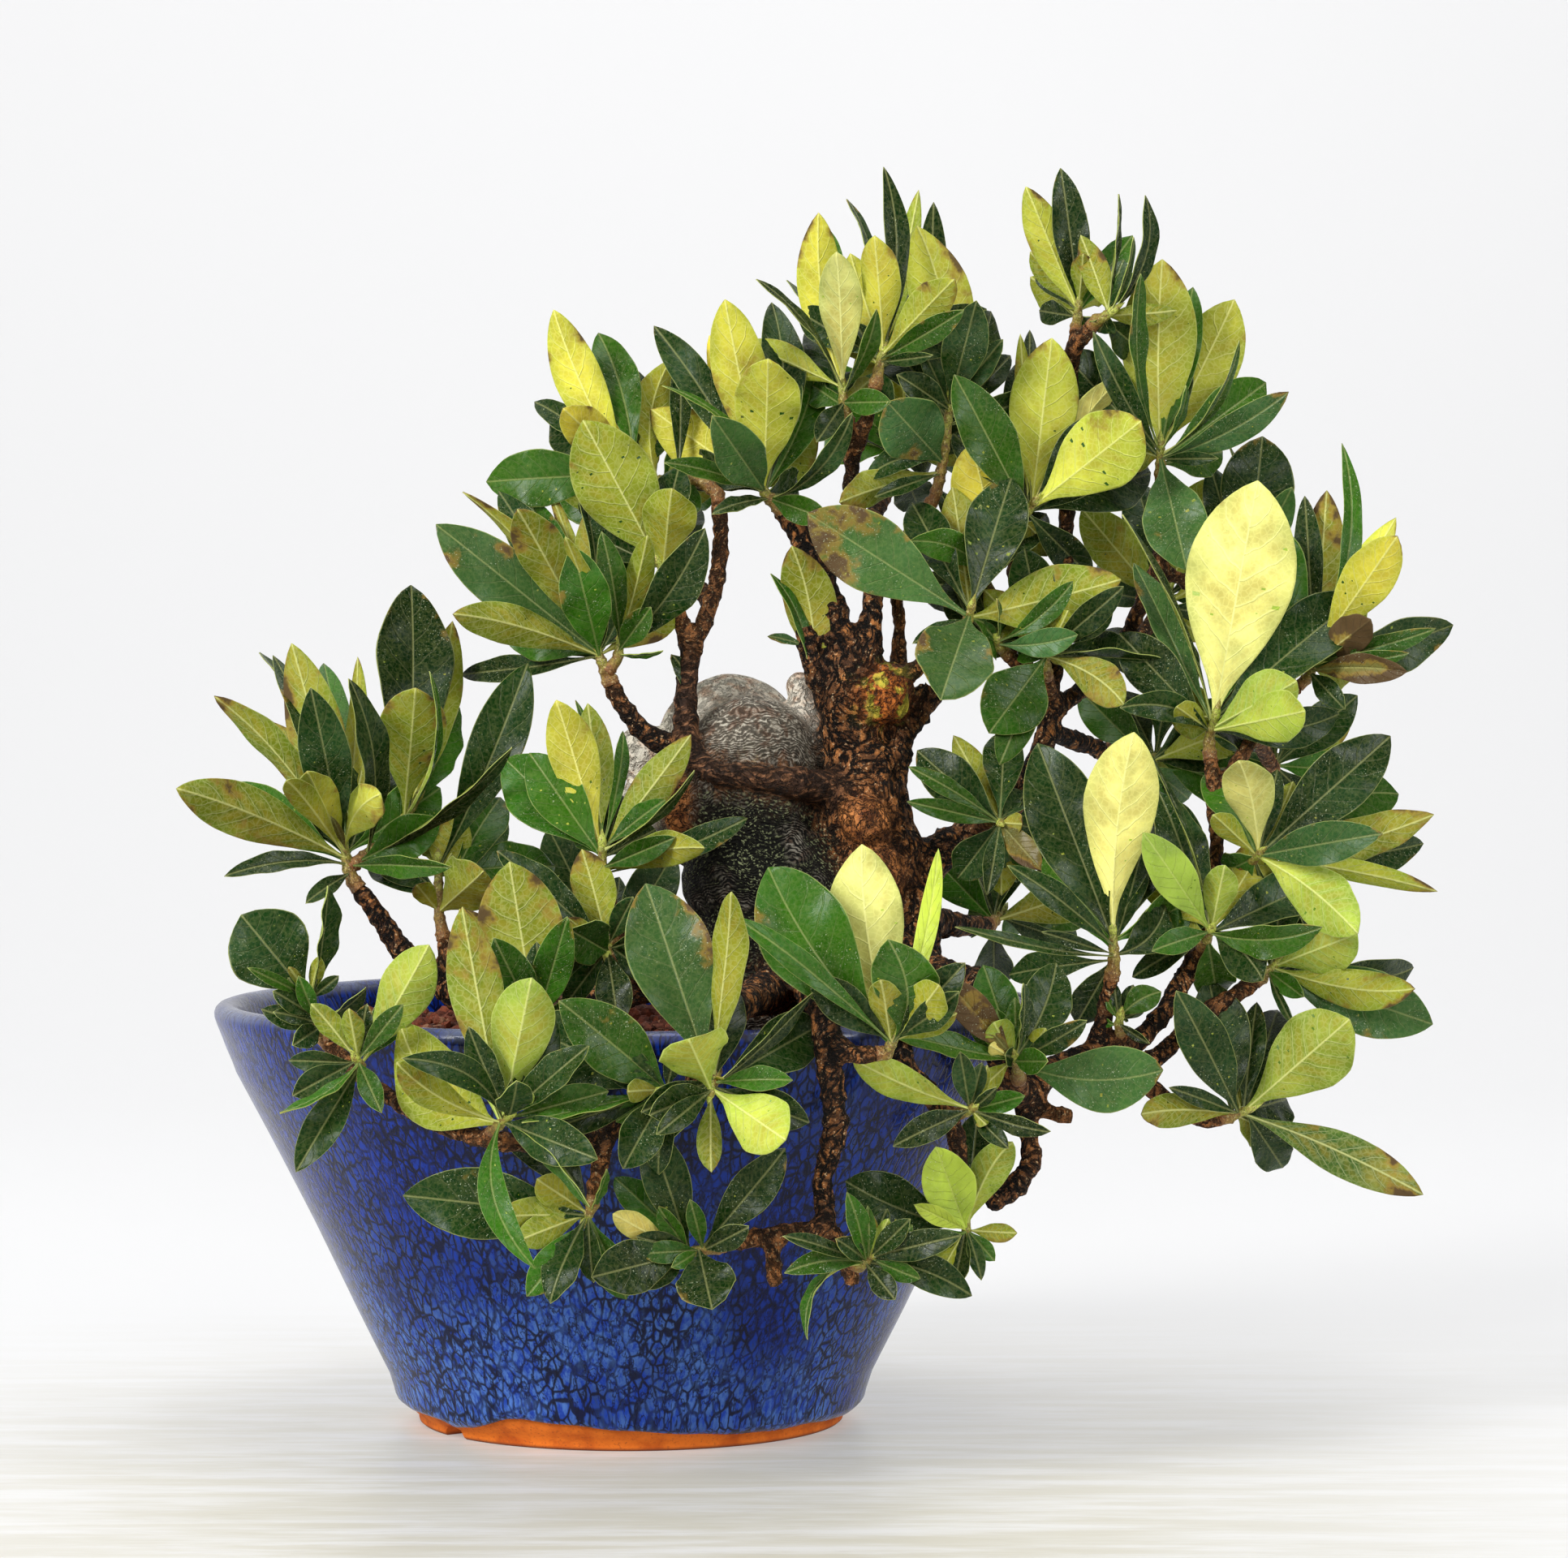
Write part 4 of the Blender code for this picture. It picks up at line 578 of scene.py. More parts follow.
# The stock and trunk as overlapping balls: x, y, near, radius in mm, and the bark on them, which
# is grey and wrinkled, pale and smooth, brown, a curled knob, or the wound's orange
STOCK = [
    (955, 1215, 3, 24, "grey"), (950, 1150, 3, 22, "grey"), (935, 1080, 3, 21, "grey"),
    (925, 1010, 2, 20.5, "grey"), (925, 945, 0, 19.5, "grey"), (980, 1100, 6, 20, "grey"),
    (1020, 1160, 4, 20, "grey"), (900, 920, -16, 20.5, "pale"), (945, 935, -12, 17, "pale"),
    (880, 1000, -10, 18, "grey"), (795, 930, -10, 8.5, "pale"), (800, 985, -8, 8, "pale"),
    (834, 985, 6, 6.5, "knob"), (842, 1010, 8, 6, "knob"), (986, 846, -2, 4.2, "pale"),
    (990, 880, -2, 6, "pale"), (1075, 1230, 6, 21, "brown"), (1080, 1170, 6, 19, "brown"),
    (1082, 1110, 6, 17, "brown"), (1070, 1055, 7, 15.5, "brown"), (1062, 1000, 7, 14.5, "brown"),
    (1062, 950, 6, 10.5, "brown"), (1048, 905, 5, 9.2, "brown"), (1052, 862, 5, 10.5, "brown"),
    (1088, 855, 9, 8.6, "wound"), (1042, 824, 5, 6.8, "brown"), (1098, 843, 5, 6.5, "brown"),
    (1066, 1012, 20, 7.6, "knob"), (1086, 1072, 19, 8.0, "knob"),
]
# Branches as (x, y, near, radius in mm), each from inside what it grows out of to its end
BRANCHES = {
    "centre_left": [(1045, 835, 6, 7.0), (1028, 765, 3, 5.6), (1010, 705, 1, 4.8),
                    (985, 657, 1, 4.0), (962, 628, 3, 2.8)],
    "centre": [(1062, 840, 8, 6.5), (1074, 755, 6, 3.8), (1078, 700, 2, 3.4), (1062, 650, -3, 3.2),
               (1050, 600, -4, 3.0), (1049, 555, -3, 2.8), (1044, 520, -1, 2.6)],
    "centre_fork": [(1050, 565, -3, 2.6), (1070, 512, 2, 2.5), (1079, 474, 4, 2.4)],
    "behind_patch": [(1106, 840, 0, 3.0), (1108, 765, -4, 2.2), (1100, 705, -9, 2.2),
                     (1120, 655, -9, 2.4), (1146, 621, -7, 2.2)],
    "knuckle_right": [(1095, 850, 8, 3.2), (1142, 815, 13, 2.8), (1172, 790, 15, 2.6),
                      (1185, 776, 15, 2.4)],
    "cut_arm": [(1095, 985, 6, 5.6), (1112, 905, 4, 4.3), (1132, 872, 2, 5.1), (1149, 852, 0, 4.9)],
    "dead_stub": [(1020, 862, 6, 5.0), (1004, 822, 7, 4.2), (990, 772, 7, 3.4)],
    "left_arm": [(1040, 978, 10, 7.2), (985, 964, 20, 4.8), (940, 960, 22, 4.0),
                 (885, 955, 20, 3.8), (847, 930, 15, 4.2), (845, 870, 12, 3.5), (850, 802, 10, 3.2)],
    "upper_left_fork": [(850, 810, 10, 2.8), (838, 765, 8, 2.4), (829, 731, 7, 2.2)],
    "upper_left": [(850, 810, 10, 2.8), (870, 765, 8, 2.8), (884, 715, 6, 2.8), (889, 660, 4, 2.8),
                   (885, 616, 2, 2.4)],
    "left_twin": [(850, 934, 14, 4.4), (795, 905, 15, 3.4), (765, 868, 15, 3.0), (752, 840, 15, 2.8)],
    "rising_right": [(1100, 1085, 4, 9.0), (1185, 1035, 0, 6.2), (1250, 990, -4, 4.8),
                     (1288, 920, -4, 3.8), (1293, 850, -4, 3.2)],
    "right_stub": [(1293, 862, -4, 2.8), (1289, 832, 5, 2.4)],
    "right_inner": [(1292, 866, -4, 3.0), (1262, 828, 0, 2.6), (1240, 806, 3, 2.2)],
    "yellow_leaf": [(1262, 830, 0, 2.4), (1246, 790, -6, 2.2), (1236, 757, -6, 2.0),
                    (1226, 738, -4, 1.8)],
    "large_under": [(1264, 830, -1, 2.4), (1258, 770, -14, 2.4), (1250, 710, -14, 2.4),
                    (1247, 664, -8, 2.2)],
    "top_right": [(1293, 862, -4, 3.2), (1308, 770, -14, 3.0), (1312, 680, -16, 3.0),
                  (1318, 560, -14, 3.0), (1319, 455, -8, 2.9), (1323, 428, -5, 2.9),
                  (1347, 400, 0, 2.4)],
    "top_right_stub": [(1321, 436, -6, 2.4), (1325, 407, -12, 2.0)],
    "upper_right": [(1293, 880, -4, 3.4), (1340, 845, -14, 3.2), (1392, 780, -20, 3.0),
                    (1430, 690, -18, 2.8), (1434, 620, -10, 2.6), (1431, 590, -8, 2.4)],
    "dark_upper": [(1428, 702, -18, 2.6), (1475, 722, -26, 2.4), (1512, 722, -30, 2.2)],
    "low_right": [(1085, 1190, 10, 12.0), (1165, 1212, 50, 7.0), (1205, 1217, 70, 6.0),
                  (1228, 1280, 80, 5.2), (1243, 1337, 70, 5.0), (1262, 1350, 60, 4.6),
                  (1300, 1315, 52, 4.3), (1350, 1298, 46, 4.0),
                  (1402, 1286, 42, 3.6), (1440, 1240, 38, 3.4), (1472, 1182, 34, 3.4),
                  (1490, 1130, 30, 3.0), (1500, 1040, 24, 2.6), (1496, 975, 20, 2.6),
                  (1491, 932, 18, 2.4)],
    "right_head_stub": [(1495, 1108, 28, 2.6), (1518, 1084, 33, 2.2), (1534, 1069, 36, 2.0)],
    "right_side_stub": [(1472, 1186, 34, 2.6), (1482, 1166, 41, 2.2)],
    "far_right": [(1497, 985, 21, 2.6), (1540, 915, 10, 2.4), (1588, 857, 6, 2.2),
                  (1603, 843, 6, 2.0)],
    "tall_bright": [(1350, 1300, 44, 3.4), (1361, 1250, 48, 3.0), (1370, 1203, 51, 2.6)],
    "fork_leaf_stub": [(1388, 1290, 42, 2.0), (1381, 1273, 49, 1.6)],
    "right_low_upper": [(1342, 1302, 44, 3.4), (1378, 1317, 39, 3.2), (1424, 1305, 37, 3.2),
                        (1480, 1252, 35, 3.0), (1528, 1223, 32, 2.8), (1550, 1208, 31, 2.4)],
    "right_low_lower": [(1375, 1316, 40, 3.2), (1415, 1338, 42, 3.0), (1452, 1368, 43, 2.8),
                        (1488, 1381, 43, 2.6), (1508, 1378, 43, 2.2)],
    "brown_tip_stub": [(1257, 1350, 60, 3.2), (1255, 1330, 79, 2.4)],
    "cut_right": [(1262, 1354, 58, 2.8), (1295, 1372, 58, 2.2), (1322, 1376, 58, 2.2)],
    "hanging_cut": [(1262, 1350, 58, 3.8), (1268, 1400, 60, 3.0), (1272, 1432, 62, 3.4),
                    (1250, 1465, 66, 3.8), (1218, 1484, 70, 3.4)],
    "hanging_knob": [(1270, 1426, 61, 2.6), (1282, 1414, 61, 2.2)],
    "front_right": [(1075, 1205, 24, 7.0), (1100, 1236, 95, 4.2), (1113, 1315, 106, 3.6),
                    (1150, 1352, 104, 3.4), (1177, 1392, 101, 3.0), (1185, 1450, 99, 2.4),
                    (1188, 1492, 99, 2.0)],
    "front_right_stub": [(1168, 1378, 101, 2.6), (1182, 1372, 107, 1.9)],
    "front_middle": [(1000, 1205, 20, 8.0), (1008, 1230, 96, 5.2), (1015, 1240, 119, 4.8),
                     (1022, 1310, 126, 4.2), (1030, 1390, 122, 3.8), (1012, 1462, 122, 3.4),
                     (1020, 1512, 124, 3.2), (1040, 1550, 122, 2.8), (1053, 1584, 121, 2.6)],
    "front_middle_stub": [(1043, 1556, 122, 2.2), (1055, 1560, 127, 1.8)],
    "front_low": [(1020, 1514, 124, 3.0), (960, 1519, 126, 2.8), (906, 1531, 128, 2.6),
                  (888, 1536, 129, 2.2)],
    "front_low_cut": [(952, 1520, 126, 2.6), (955, 1586, 127, 2.4)],
    "large_bright": [(1017, 1280, 124, 4.0), (1052, 1300, 129, 3.2), (1084, 1298, 128, 2.4)],
    "front_left": [(962, 1215, 20, 8.0), (925, 1232, 96, 5.0), (907, 1240, 119, 4.6),
                   (880, 1300, 127, 4.2), (850, 1352, 127, 3.8), (765, 1374, 126, 3.4),
                   (745, 1405, 128, 3.0), (736, 1450, 132, 2.6), (731, 1478, 133, 2.2)],
    "long_rib_stub": [(876, 1308, 127, 3.0), (880, 1318, 135, 2.2)],
    "dark_pair_stub": [(850, 1352, 127, 2.8), (840, 1346, 134, 2.0)],
    "low_left": [(752, 1392, 126, 2.8), (680, 1412, 136, 2.8), (600, 1406, 139, 2.8),
                 (552, 1390, 135, 3.0), (500, 1364, 128, 2.8), (460, 1341, 122, 2.8),
                 (425, 1306, 116, 2.6), (402, 1284, 113, 2.4)],
    "bright_pair_stub": [(592, 1404, 139, 2.4), (606, 1393, 144, 1.8)],
    "low_left_stub": [(456, 1338, 121, 2.2), (449, 1326, 126, 1.7)],
    "left": [(880, 1165, 6, 8.0), (800, 1215, 16, 5.4), (740, 1232, 20, 4.6), (680, 1242, 23, 4.2),
             (622, 1252, 25, 4.4), (567, 1234, 24, 4.2), (492, 1168, 21, 3.8), (462, 1122, 20, 3.4),
             (440, 1092, 20, 2.8)],
    "left_fork": [(565, 1234, 24, 3.4), (552, 1190, 20, 3.0), (546, 1154, 18, 2.4)],
    "mid_left": [(795, 1216, 16, 4.2), (775, 1180, 36, 3.2), (758, 1135, 46, 2.8),
                 (746, 1098, 49, 2.4)],
    "mid_left_stub": [(767, 1160, 40, 2.4), (755, 1158, 51, 1.8)],
    "low_dark": [(705, 1238, 22, 3.0), (692, 1238, 48, 2.6), (680, 1250, 68, 2.2)],
    "dark_right_stub": [(1205, 1020, 0, 3.4), (1222, 1012, 12, 2.2)],
    "back_low_left": [(885, 1150, -8, 7.0), (810, 1175, -48, 4.0), (768, 1180, -68, 3.0)],
    "back_low_middle": [(990, 1150, -10, 7.0), (990, 1165, -50, 4.0), (990, 1165, -72, 3.0)],
    "back_low_right": [(1105, 1130, -6, 7.0), (1180, 1140, -46, 4.0), (1215, 1140, -66, 3.0)],
    "back_right": [(1292, 900, -5, 3.4), (1370, 930, -38, 3.2), (1405, 940, -54, 2.8)],
    "back_upper_right": [(1345, 840, -15, 3.0), (1400, 790, -44, 2.8), (1425, 760, -60, 2.6)],
    "back_top": [(1064, 655, -3, 3.0), (1090, 610, -34, 2.8), (1104, 580, -52, 2.4)],
    "back_upper_left": [(876, 745, 7, 2.8), (835, 690, -24, 2.6), (812, 655, -42, 2.4)],
    "back_far_right": [(1545, 908, 9, 2.4), (1560, 930, -24, 2.6), (1568, 945, -44, 2.4)],
}
FOOT_DEPTH = 0.026
WOOD_GRAIN = 1.13
BARKS = ["grey", "pale", "knob", "wound", "branch", "limb", "brown"]
BARK_BLEND = 1.3 * MM
READ_AT_ONCE = 4000
# How much of a branch's radius is left below its loose bark, by the radius in mm
SLIMMER = ([2.0, 3.2, 6.0], [0.95, 0.84, 0.84])
LEVEL = SOIL_TOP + 1.2 * MM
INSIDE_POT = 0.060
BRANCH_SIDES = 12
BARK_SEED = 5
RING_SEED = 5


def even_line(points, values, step):
    """A line of points, and a value on each, at even steps with its corners slightly eased."""
    points = np.array([tuple(point) for point in points])
    gaps = np.linalg.norm(np.diff(points, axis=0), axis=1)
    walked = np.concatenate([[0.0], np.cumsum(gaps)])
    count = max(3, int(round(walked[-1] / step)) + 1)
    places = np.linspace(0.0, walked[-1], count)
    line = np.stack([np.interp(places, walked, points[:, axis]) for axis in range(3)], axis=1)
    for time in range(2):
        line[1:-1] = 0.25 * line[:-2] + 0.5 * line[1:-1] + 0.25 * line[2:]
    return line, np.interp(places, walked, values), places


def tube(line, radii, sides):
    """Rings of corners round a line, closed at both ends, as points and faces."""
    count = len(line)
    ahead = np.gradient(line, axis=0)
    ahead /= np.linalg.norm(ahead, axis=1)[:, None]
    across = np.cross(ahead[0], (0.3, 0.9, 0.31))
    points = []
    turns = np.arange(sides) * 2.0 * math.pi / sides
    for number in range(count):
        across = across - ahead[number] * np.dot(across, ahead[number])
        across /= np.linalg.norm(across)
        other = np.cross(ahead[number], across)
        ring = np.cos(turns)[:, None] * across + np.sin(turns)[:, None] * other
        points.append(line[number] + ring * radii[number])
    points = np.concatenate(points)
    faces = [tuple(range(sides))[::-1], tuple(range((count - 1) * sides, count * sides))]
    for number in range(count - 1):
        for side in range(sides):
            beside = (side + 1) % sides
            faces.append((number * sides + side, number * sides + beside,
                          (number + 1) * sides + beside, (number + 1) * sides + side))
    return points, faces


def rough_wood():
    """Balls, feet and branches as they cross one another, and where each kind of bark is."""
    shape = bmesh.new()
    marks = []
    for x, y, near, radius, bark in STOCK:
        middle = seen(x, y, near)
        bmesh.ops.create_icosphere(shape, subdivisions=4, radius=radius * MM,
                                   matrix=Matrix.Translation(middle))
        marks.append((*middle, radius * MM, bark, 0.0))
    for x, y, near, radius in FEET:
        foot = seen(x, y, near)
        low = SOIL_TOP - FOOT_DEPTH + 0.5 * MM
        line = [(foot.x, foot.y, low), (foot.x, foot.y, LEVEL + 8.0 * MM)]
        add_tube(shape, *even_line(line, [radius * MM - 0.4 * MM] * 2, 3.0 * MM)[:2], 24)
    draw = random.Random(RING_SEED)
    for name, readings in BRANCHES.items():
        points = [seen(x, y, near) for x, y, near, radius in readings]
        radii = [radius * np.interp(radius, *SLIMMER) * MM for x, y, near, radius in readings]
        line, radii, places = even_line(points, radii, 0.9 * MM)
        bark = "limb" if name == "left_arm" else "branch"
        marks += [(*point, radius, bark, place)
                  for point, radius, place in zip(line[::3], radii[::3], places[::3])]
        add_tube(shape, line, radii * leaf_rings(places, draw), BRANCH_SIDES)
    return mesh_of(shape, "bonsai_wood"), marks


def leaf_rings(places, draw):
    """Swellings along a branch where old leaves and side shoots were, as factors on its radius."""
    swell = np.ones(len(places))
    at = draw.uniform(2.0, 6.0) * MM
    while at < places[-1]:
        swell += draw.uniform(0.10, 0.30) * np.exp(-((places - at) / (0.9 * MM)) ** 2)
        at += draw.uniform(3.0, 8.0) * MM
    return swell


def add_tube(shape, line, radii, sides):
    points, faces = tube(line, radii, sides)
    corners = [shape.verts.new(point) for point in points]
    for face in faces:
        shape.faces.new([corners[corner] for corner in face])


def read_bark(points, marks):
    """How grey, pale, knobby, sore, branch-like, limb-like and young each point is, and how far
    along a branch it lies, from the marks that it is near."""
    middles = np.array([mark[:3] for mark in marks])
    radii = np.array([mark[3] for mark in marks])
    kinds = np.array([BARKS.index(mark[4]) for mark in marks])
    walked = np.array([mark[5] for mark in marks])
    youth = np.clip((2.7 * MM - radii) / (0.9 * MM), 0.0, 1.0) * (kinds == BARKS.index("branch"))
    looks = np.zeros((len(points), 8))
    for start in range(0, len(points), READ_AT_ONCE):
        part = points[start:start + READ_AT_ONCE]
        found = looks[start:start + READ_AT_ONCE]
        away = np.linalg.norm(part[:, None, :] - middles[None], axis=2) - radii[None]
        share = np.exp(-(away - away.min(axis=1)[:, None]) / BARK_BLEND)
        share /= share.sum(axis=1)[:, None]
        for kind in range(6):
            found[:, kind] = share[:, kinds == kind].sum(axis=1)
        found[:, 6] = (share * youth).sum(axis=1)
        found[:, 7] = (share * walked).sum(axis=1)
    return looks


def bark_relief(place, walked, grey, pale, knob, branch, limb):
    """How far the bark stands out here, in mm: wrinkles on grey bark, cracks on brown."""
    swirl = noise.noise_vector(place * 38.0) * 0.010
    flow = place + swirl
    wrinkle = 1.0 - 2.0 * abs(noise.noise(flow * Vector((150.0, 150.0, 420.0))))
    crack = 1.0 - 2.2 * abs(noise.noise(place * Vector((300.0, 300.0, 160.0)) + swirl * 60.0))
    lump = noise.noise(place * 95.0)
    knot = noise.noise(place * 210.0 + Vector((7.0, 1.0, 3.0)))
    ring = math.sin(walked * 1900.0 + 5.0 * lump)
    on_grey = 0.45 * wrinkle + 1.0 * lump + 0.3 * knot
    on_pale = 0.10 * wrinkle + 0.5 * lump
    on_brown = -0.85 * max(0.0, crack) + 1.5 * lump + 0.7 * knot
    on_branch = -0.35 * max(0.0, crack) + 0.45 * knot + 0.14 * ring
    brown = max(0.0, 1.0 - grey - pale - knob - branch - limb)
    height = grey * on_grey + pale * on_pale + (knob + brown) * on_brown + branch * on_branch
    height += limb * (0.5 * lump + 0.2 * knot + 0.1 * ring)
    return height, grey * -wrinkle + (1.0 - grey) * crack


def bark_finish():
    finish, place = new_finish("gardenia_bark", {"Specular IOR Level": 0.2})
    grey, pale, knob = place.kept("bark").parts()
    wound, young, branch = place.kept("age").parts()
    walked, groove_shade, limb = place.kept("run").parts()
    height = place.part(2)
    swirl = place.moved(place.cloud_colour(70.0).scaled(0.012, 0.012, 0.012))
    bend = place.part(0) + 0.018
    flow = place.cloud(75.0, 3.0, 0.55)
    bands = ((height + bend * bend * 18.0) * 900.0 + flow * 16.0).fraction() - 0.5
    wrinkle = bands.size() * 0.70 + swirl.scaled(0.6, 1.0, 1.5).cloud(860.0, 4.0, 0.7) * 1.35
    crack = (swirl.scaled(1.0, 1.0, 0.7).cloud(330.0, 4.0, 0.55) - 0.5).size()
    fine_crack = (swirl.cloud(760.0, 3.0, 0.6) - 0.5).size()
    rings = ((walked * 300.0 + flow * 3.0).fraction() - 0.5).size()
    mottle = place.cloud(210.0, 4.0, 0.6)
    grain = place.cloud(1100.0, 3.0, 0.6)
    # Darker towards the foot of the stock: partly its own dark bark with pale flecks, partly painted
    # shade.
    low_dark_and_shade = (height + flow * 0.020).fade(0.178, 0.204)

    brown = place.colour(linear(116, 72, 38)).to(mottle.step(0.40, 0.60), linear(44, 30, 19))
    brown = brown.to(branch * (1.0 - young) * 0.40, linear(44, 32, 24))
    # Orange on the ridges is partly the bark's colour and partly painted highlight, and the pale
    # specks are painted highlights.
    brown = brown.to(crack.step(0.050, 0.120) * mottle.step(0.36, 0.60) * 0.65, linear(214, 138, 74))
    brown = brown.to(grain.step(0.58, 0.69) * 0.80, linear(236, 200, 154))
    brown = brown.to(fine_crack.fade(0.006, 0.045) * 0.85, linear(38, 24, 16))
    brown = brown.to(rings.fade(0.05, 0.20) * branch * mottle.step(0.36, 0.52) * 0.8,
                     linear(34, 22, 15))
    # Black in the deepest cracks: partly dark bark, partly painted shade.
    brown = brown.to(crack.fade(0.012, 0.050), linear(14, 10, 8))
    # The wrinkles' pale crests and black grooves are partly the bark's colour and partly painted
    # highlight and painted shade.
    ash = place.colour(linear(150, 140, 124)).to(wrinkle.step(0.90, 1.12), linear(238, 230, 212))
    ash = ash.to(mottle.step(0.50, 0.62) * 0.60, linear(126, 82, 56))
    ash = ash.to(low_dark_and_shade * (0.55 + 0.45 * flow.step(0.34, 0.50)), linear(24, 24, 16))
    ash = ash.to(low_dark_and_shade * grain.step(0.51, 0.60) * flow.step(0.40, 0.56) * 0.85, linear(168, 176, 130))
    ash = ash.to(wrinkle.fade(0.76, 0.92) * (0.62 + 0.38 * low_dark_and_shade), linear(10, 9, 7))
    dome = place.colour(linear(246, 238, 220))
    dome = dome.to(mottle.step(0.46, 0.68) * 0.6, linear(222, 164, 122))
    dome = dome.to(grain.step(0.57, 0.64) * 0.60, linear(120, 96, 76))
    curl = place.colour(linear(206, 132, 72)).to(mottle.step(0.40, 0.66), linear(122, 68, 36))
    curl = curl.to(fine_crack.fade(0.008, 0.050), linear(34, 22, 15))
    sore = place.colour(linear(206, 116, 48)).to(grain.step(0.44, 0.60), linear(84, 40, 18))
    sore = sore.to(mottle.step(0.52, 0.60) * 0.75, linear(210, 208, 70))
    # Long pale streaks on the smooth limb are painted highlights.
    highlight_streak = swirl.scaled(0.2, 1.0, 1.0).cloud(800.0, 3.0, 0.6)
    smooth = place.colour(linear(58, 38, 26)).to(highlight_streak.step(0.50, 0.64), linear(150, 104, 72))
    fresh = place.colour(linear(176, 116, 66)).to(mottle.step(0.40, 0.66), linear(112, 72, 40))
    fresh = fresh.to(grain.step(0.58, 0.68) * 0.7, linear(232, 204, 150))
    fresh = fresh.to(fine_crack.fade(0.006, 0.040) * 0.8, linear(52, 32, 20))
    skin = brown.to(young * 0.85, fresh).to(limb, smooth).to(grey, ash)
    skin = skin.to(pale, dome).to(knob, curl).to(wound, sore)
    # Grooves in the mesh are darkened: painted shade.
    skin = skin.to(groove_shade.step(0.3, 1.0) * (1.0 - pale) * (0.6 - 0.35 * young), linear(18, 13, 10))
    relief = wrinkle * grey + (1.0 - grey) * (crack + fine_crack * 0.6).step(0.0, 0.12) + 0.4 * grain
    wear(finish, {"Base Color": skin, "Roughness": 0.50 + 0.35 * grain, "Normal": relief.bump(1.3)})
    return finish


def corner_rows(mesh, reading):
    """A mesh's corners, or the ways that it faces there, as rows of three."""
    rows = np.empty(len(mesh.vertices) * 3)
    mesh.vertices.foreach_get(reading, rows)
    return rows.reshape(-1, 3)


def make_wood():
    mesh, marks = rough_wood()
    wood = show("bonsai_wood", mesh)
    melt = wood.modifiers.new("melt", 'REMESH')
    melt.mode = 'VOXEL'
    melt.voxel_size = WOOD_GRAIN * MM
    ease = wood.modifiers.new("ease", 'SMOOTH')
    ease.iterations = 2
    ease.factor = 0.4
    settle_mesh(wood)
    mesh = wood.data
    noise.seed_set(BARK_SEED)
    points = corner_rows(mesh, "co")
    ways = corner_rows(mesh, "normal")
    looks = read_bark(points, marks)
    # How deep each point lies in a groove, which the bark's finish darkens as painted shade.
    groove_shade = np.zeros(len(points))
    for number, look in enumerate(looks):
        if points[number, 2] < LEVEL - 2.0 * MM and abs(points[number, 1] - POT_Y) < INSIDE_POT:
            continue
        height, groove_shade[number] = bark_relief(Vector(points[number]), *look[[7, 0, 1, 2, 4, 5]])
        points[number] += ways[number] * (height * MM)
    mesh.vertices.foreach_set("co", points.ravel())
    keep_reading(mesh, "bark", looks[:, :3])
    keep_reading(mesh, "age", looks[:, [3, 6, 4]])
    keep_reading(mesh, "run", np.stack([looks[:, 7], groove_shade, looks[:, 5]], axis=1))
    mesh.materials.clear()
    mesh.materials.append(bark_finish())
    mesh.shade_smooth()
    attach(wood, "root")
    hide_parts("wood")


def keep_reading(mesh, name, rows):
    """Stores three numbers on each corner of a mesh for its finish to read."""
    kept = mesh.attributes.new(name, 'FLOAT_VECTOR', 'POINT')
    kept.data.foreach_set("vector", np.asarray(rows, np.float32).ravel())


make_wood()


# The leafy shoots: green twigs of this year's growth with whorls of waxy leaves. Each leaf is
# glossy and dark above, and yellow-green with raised veins below. One piece for each shoot.

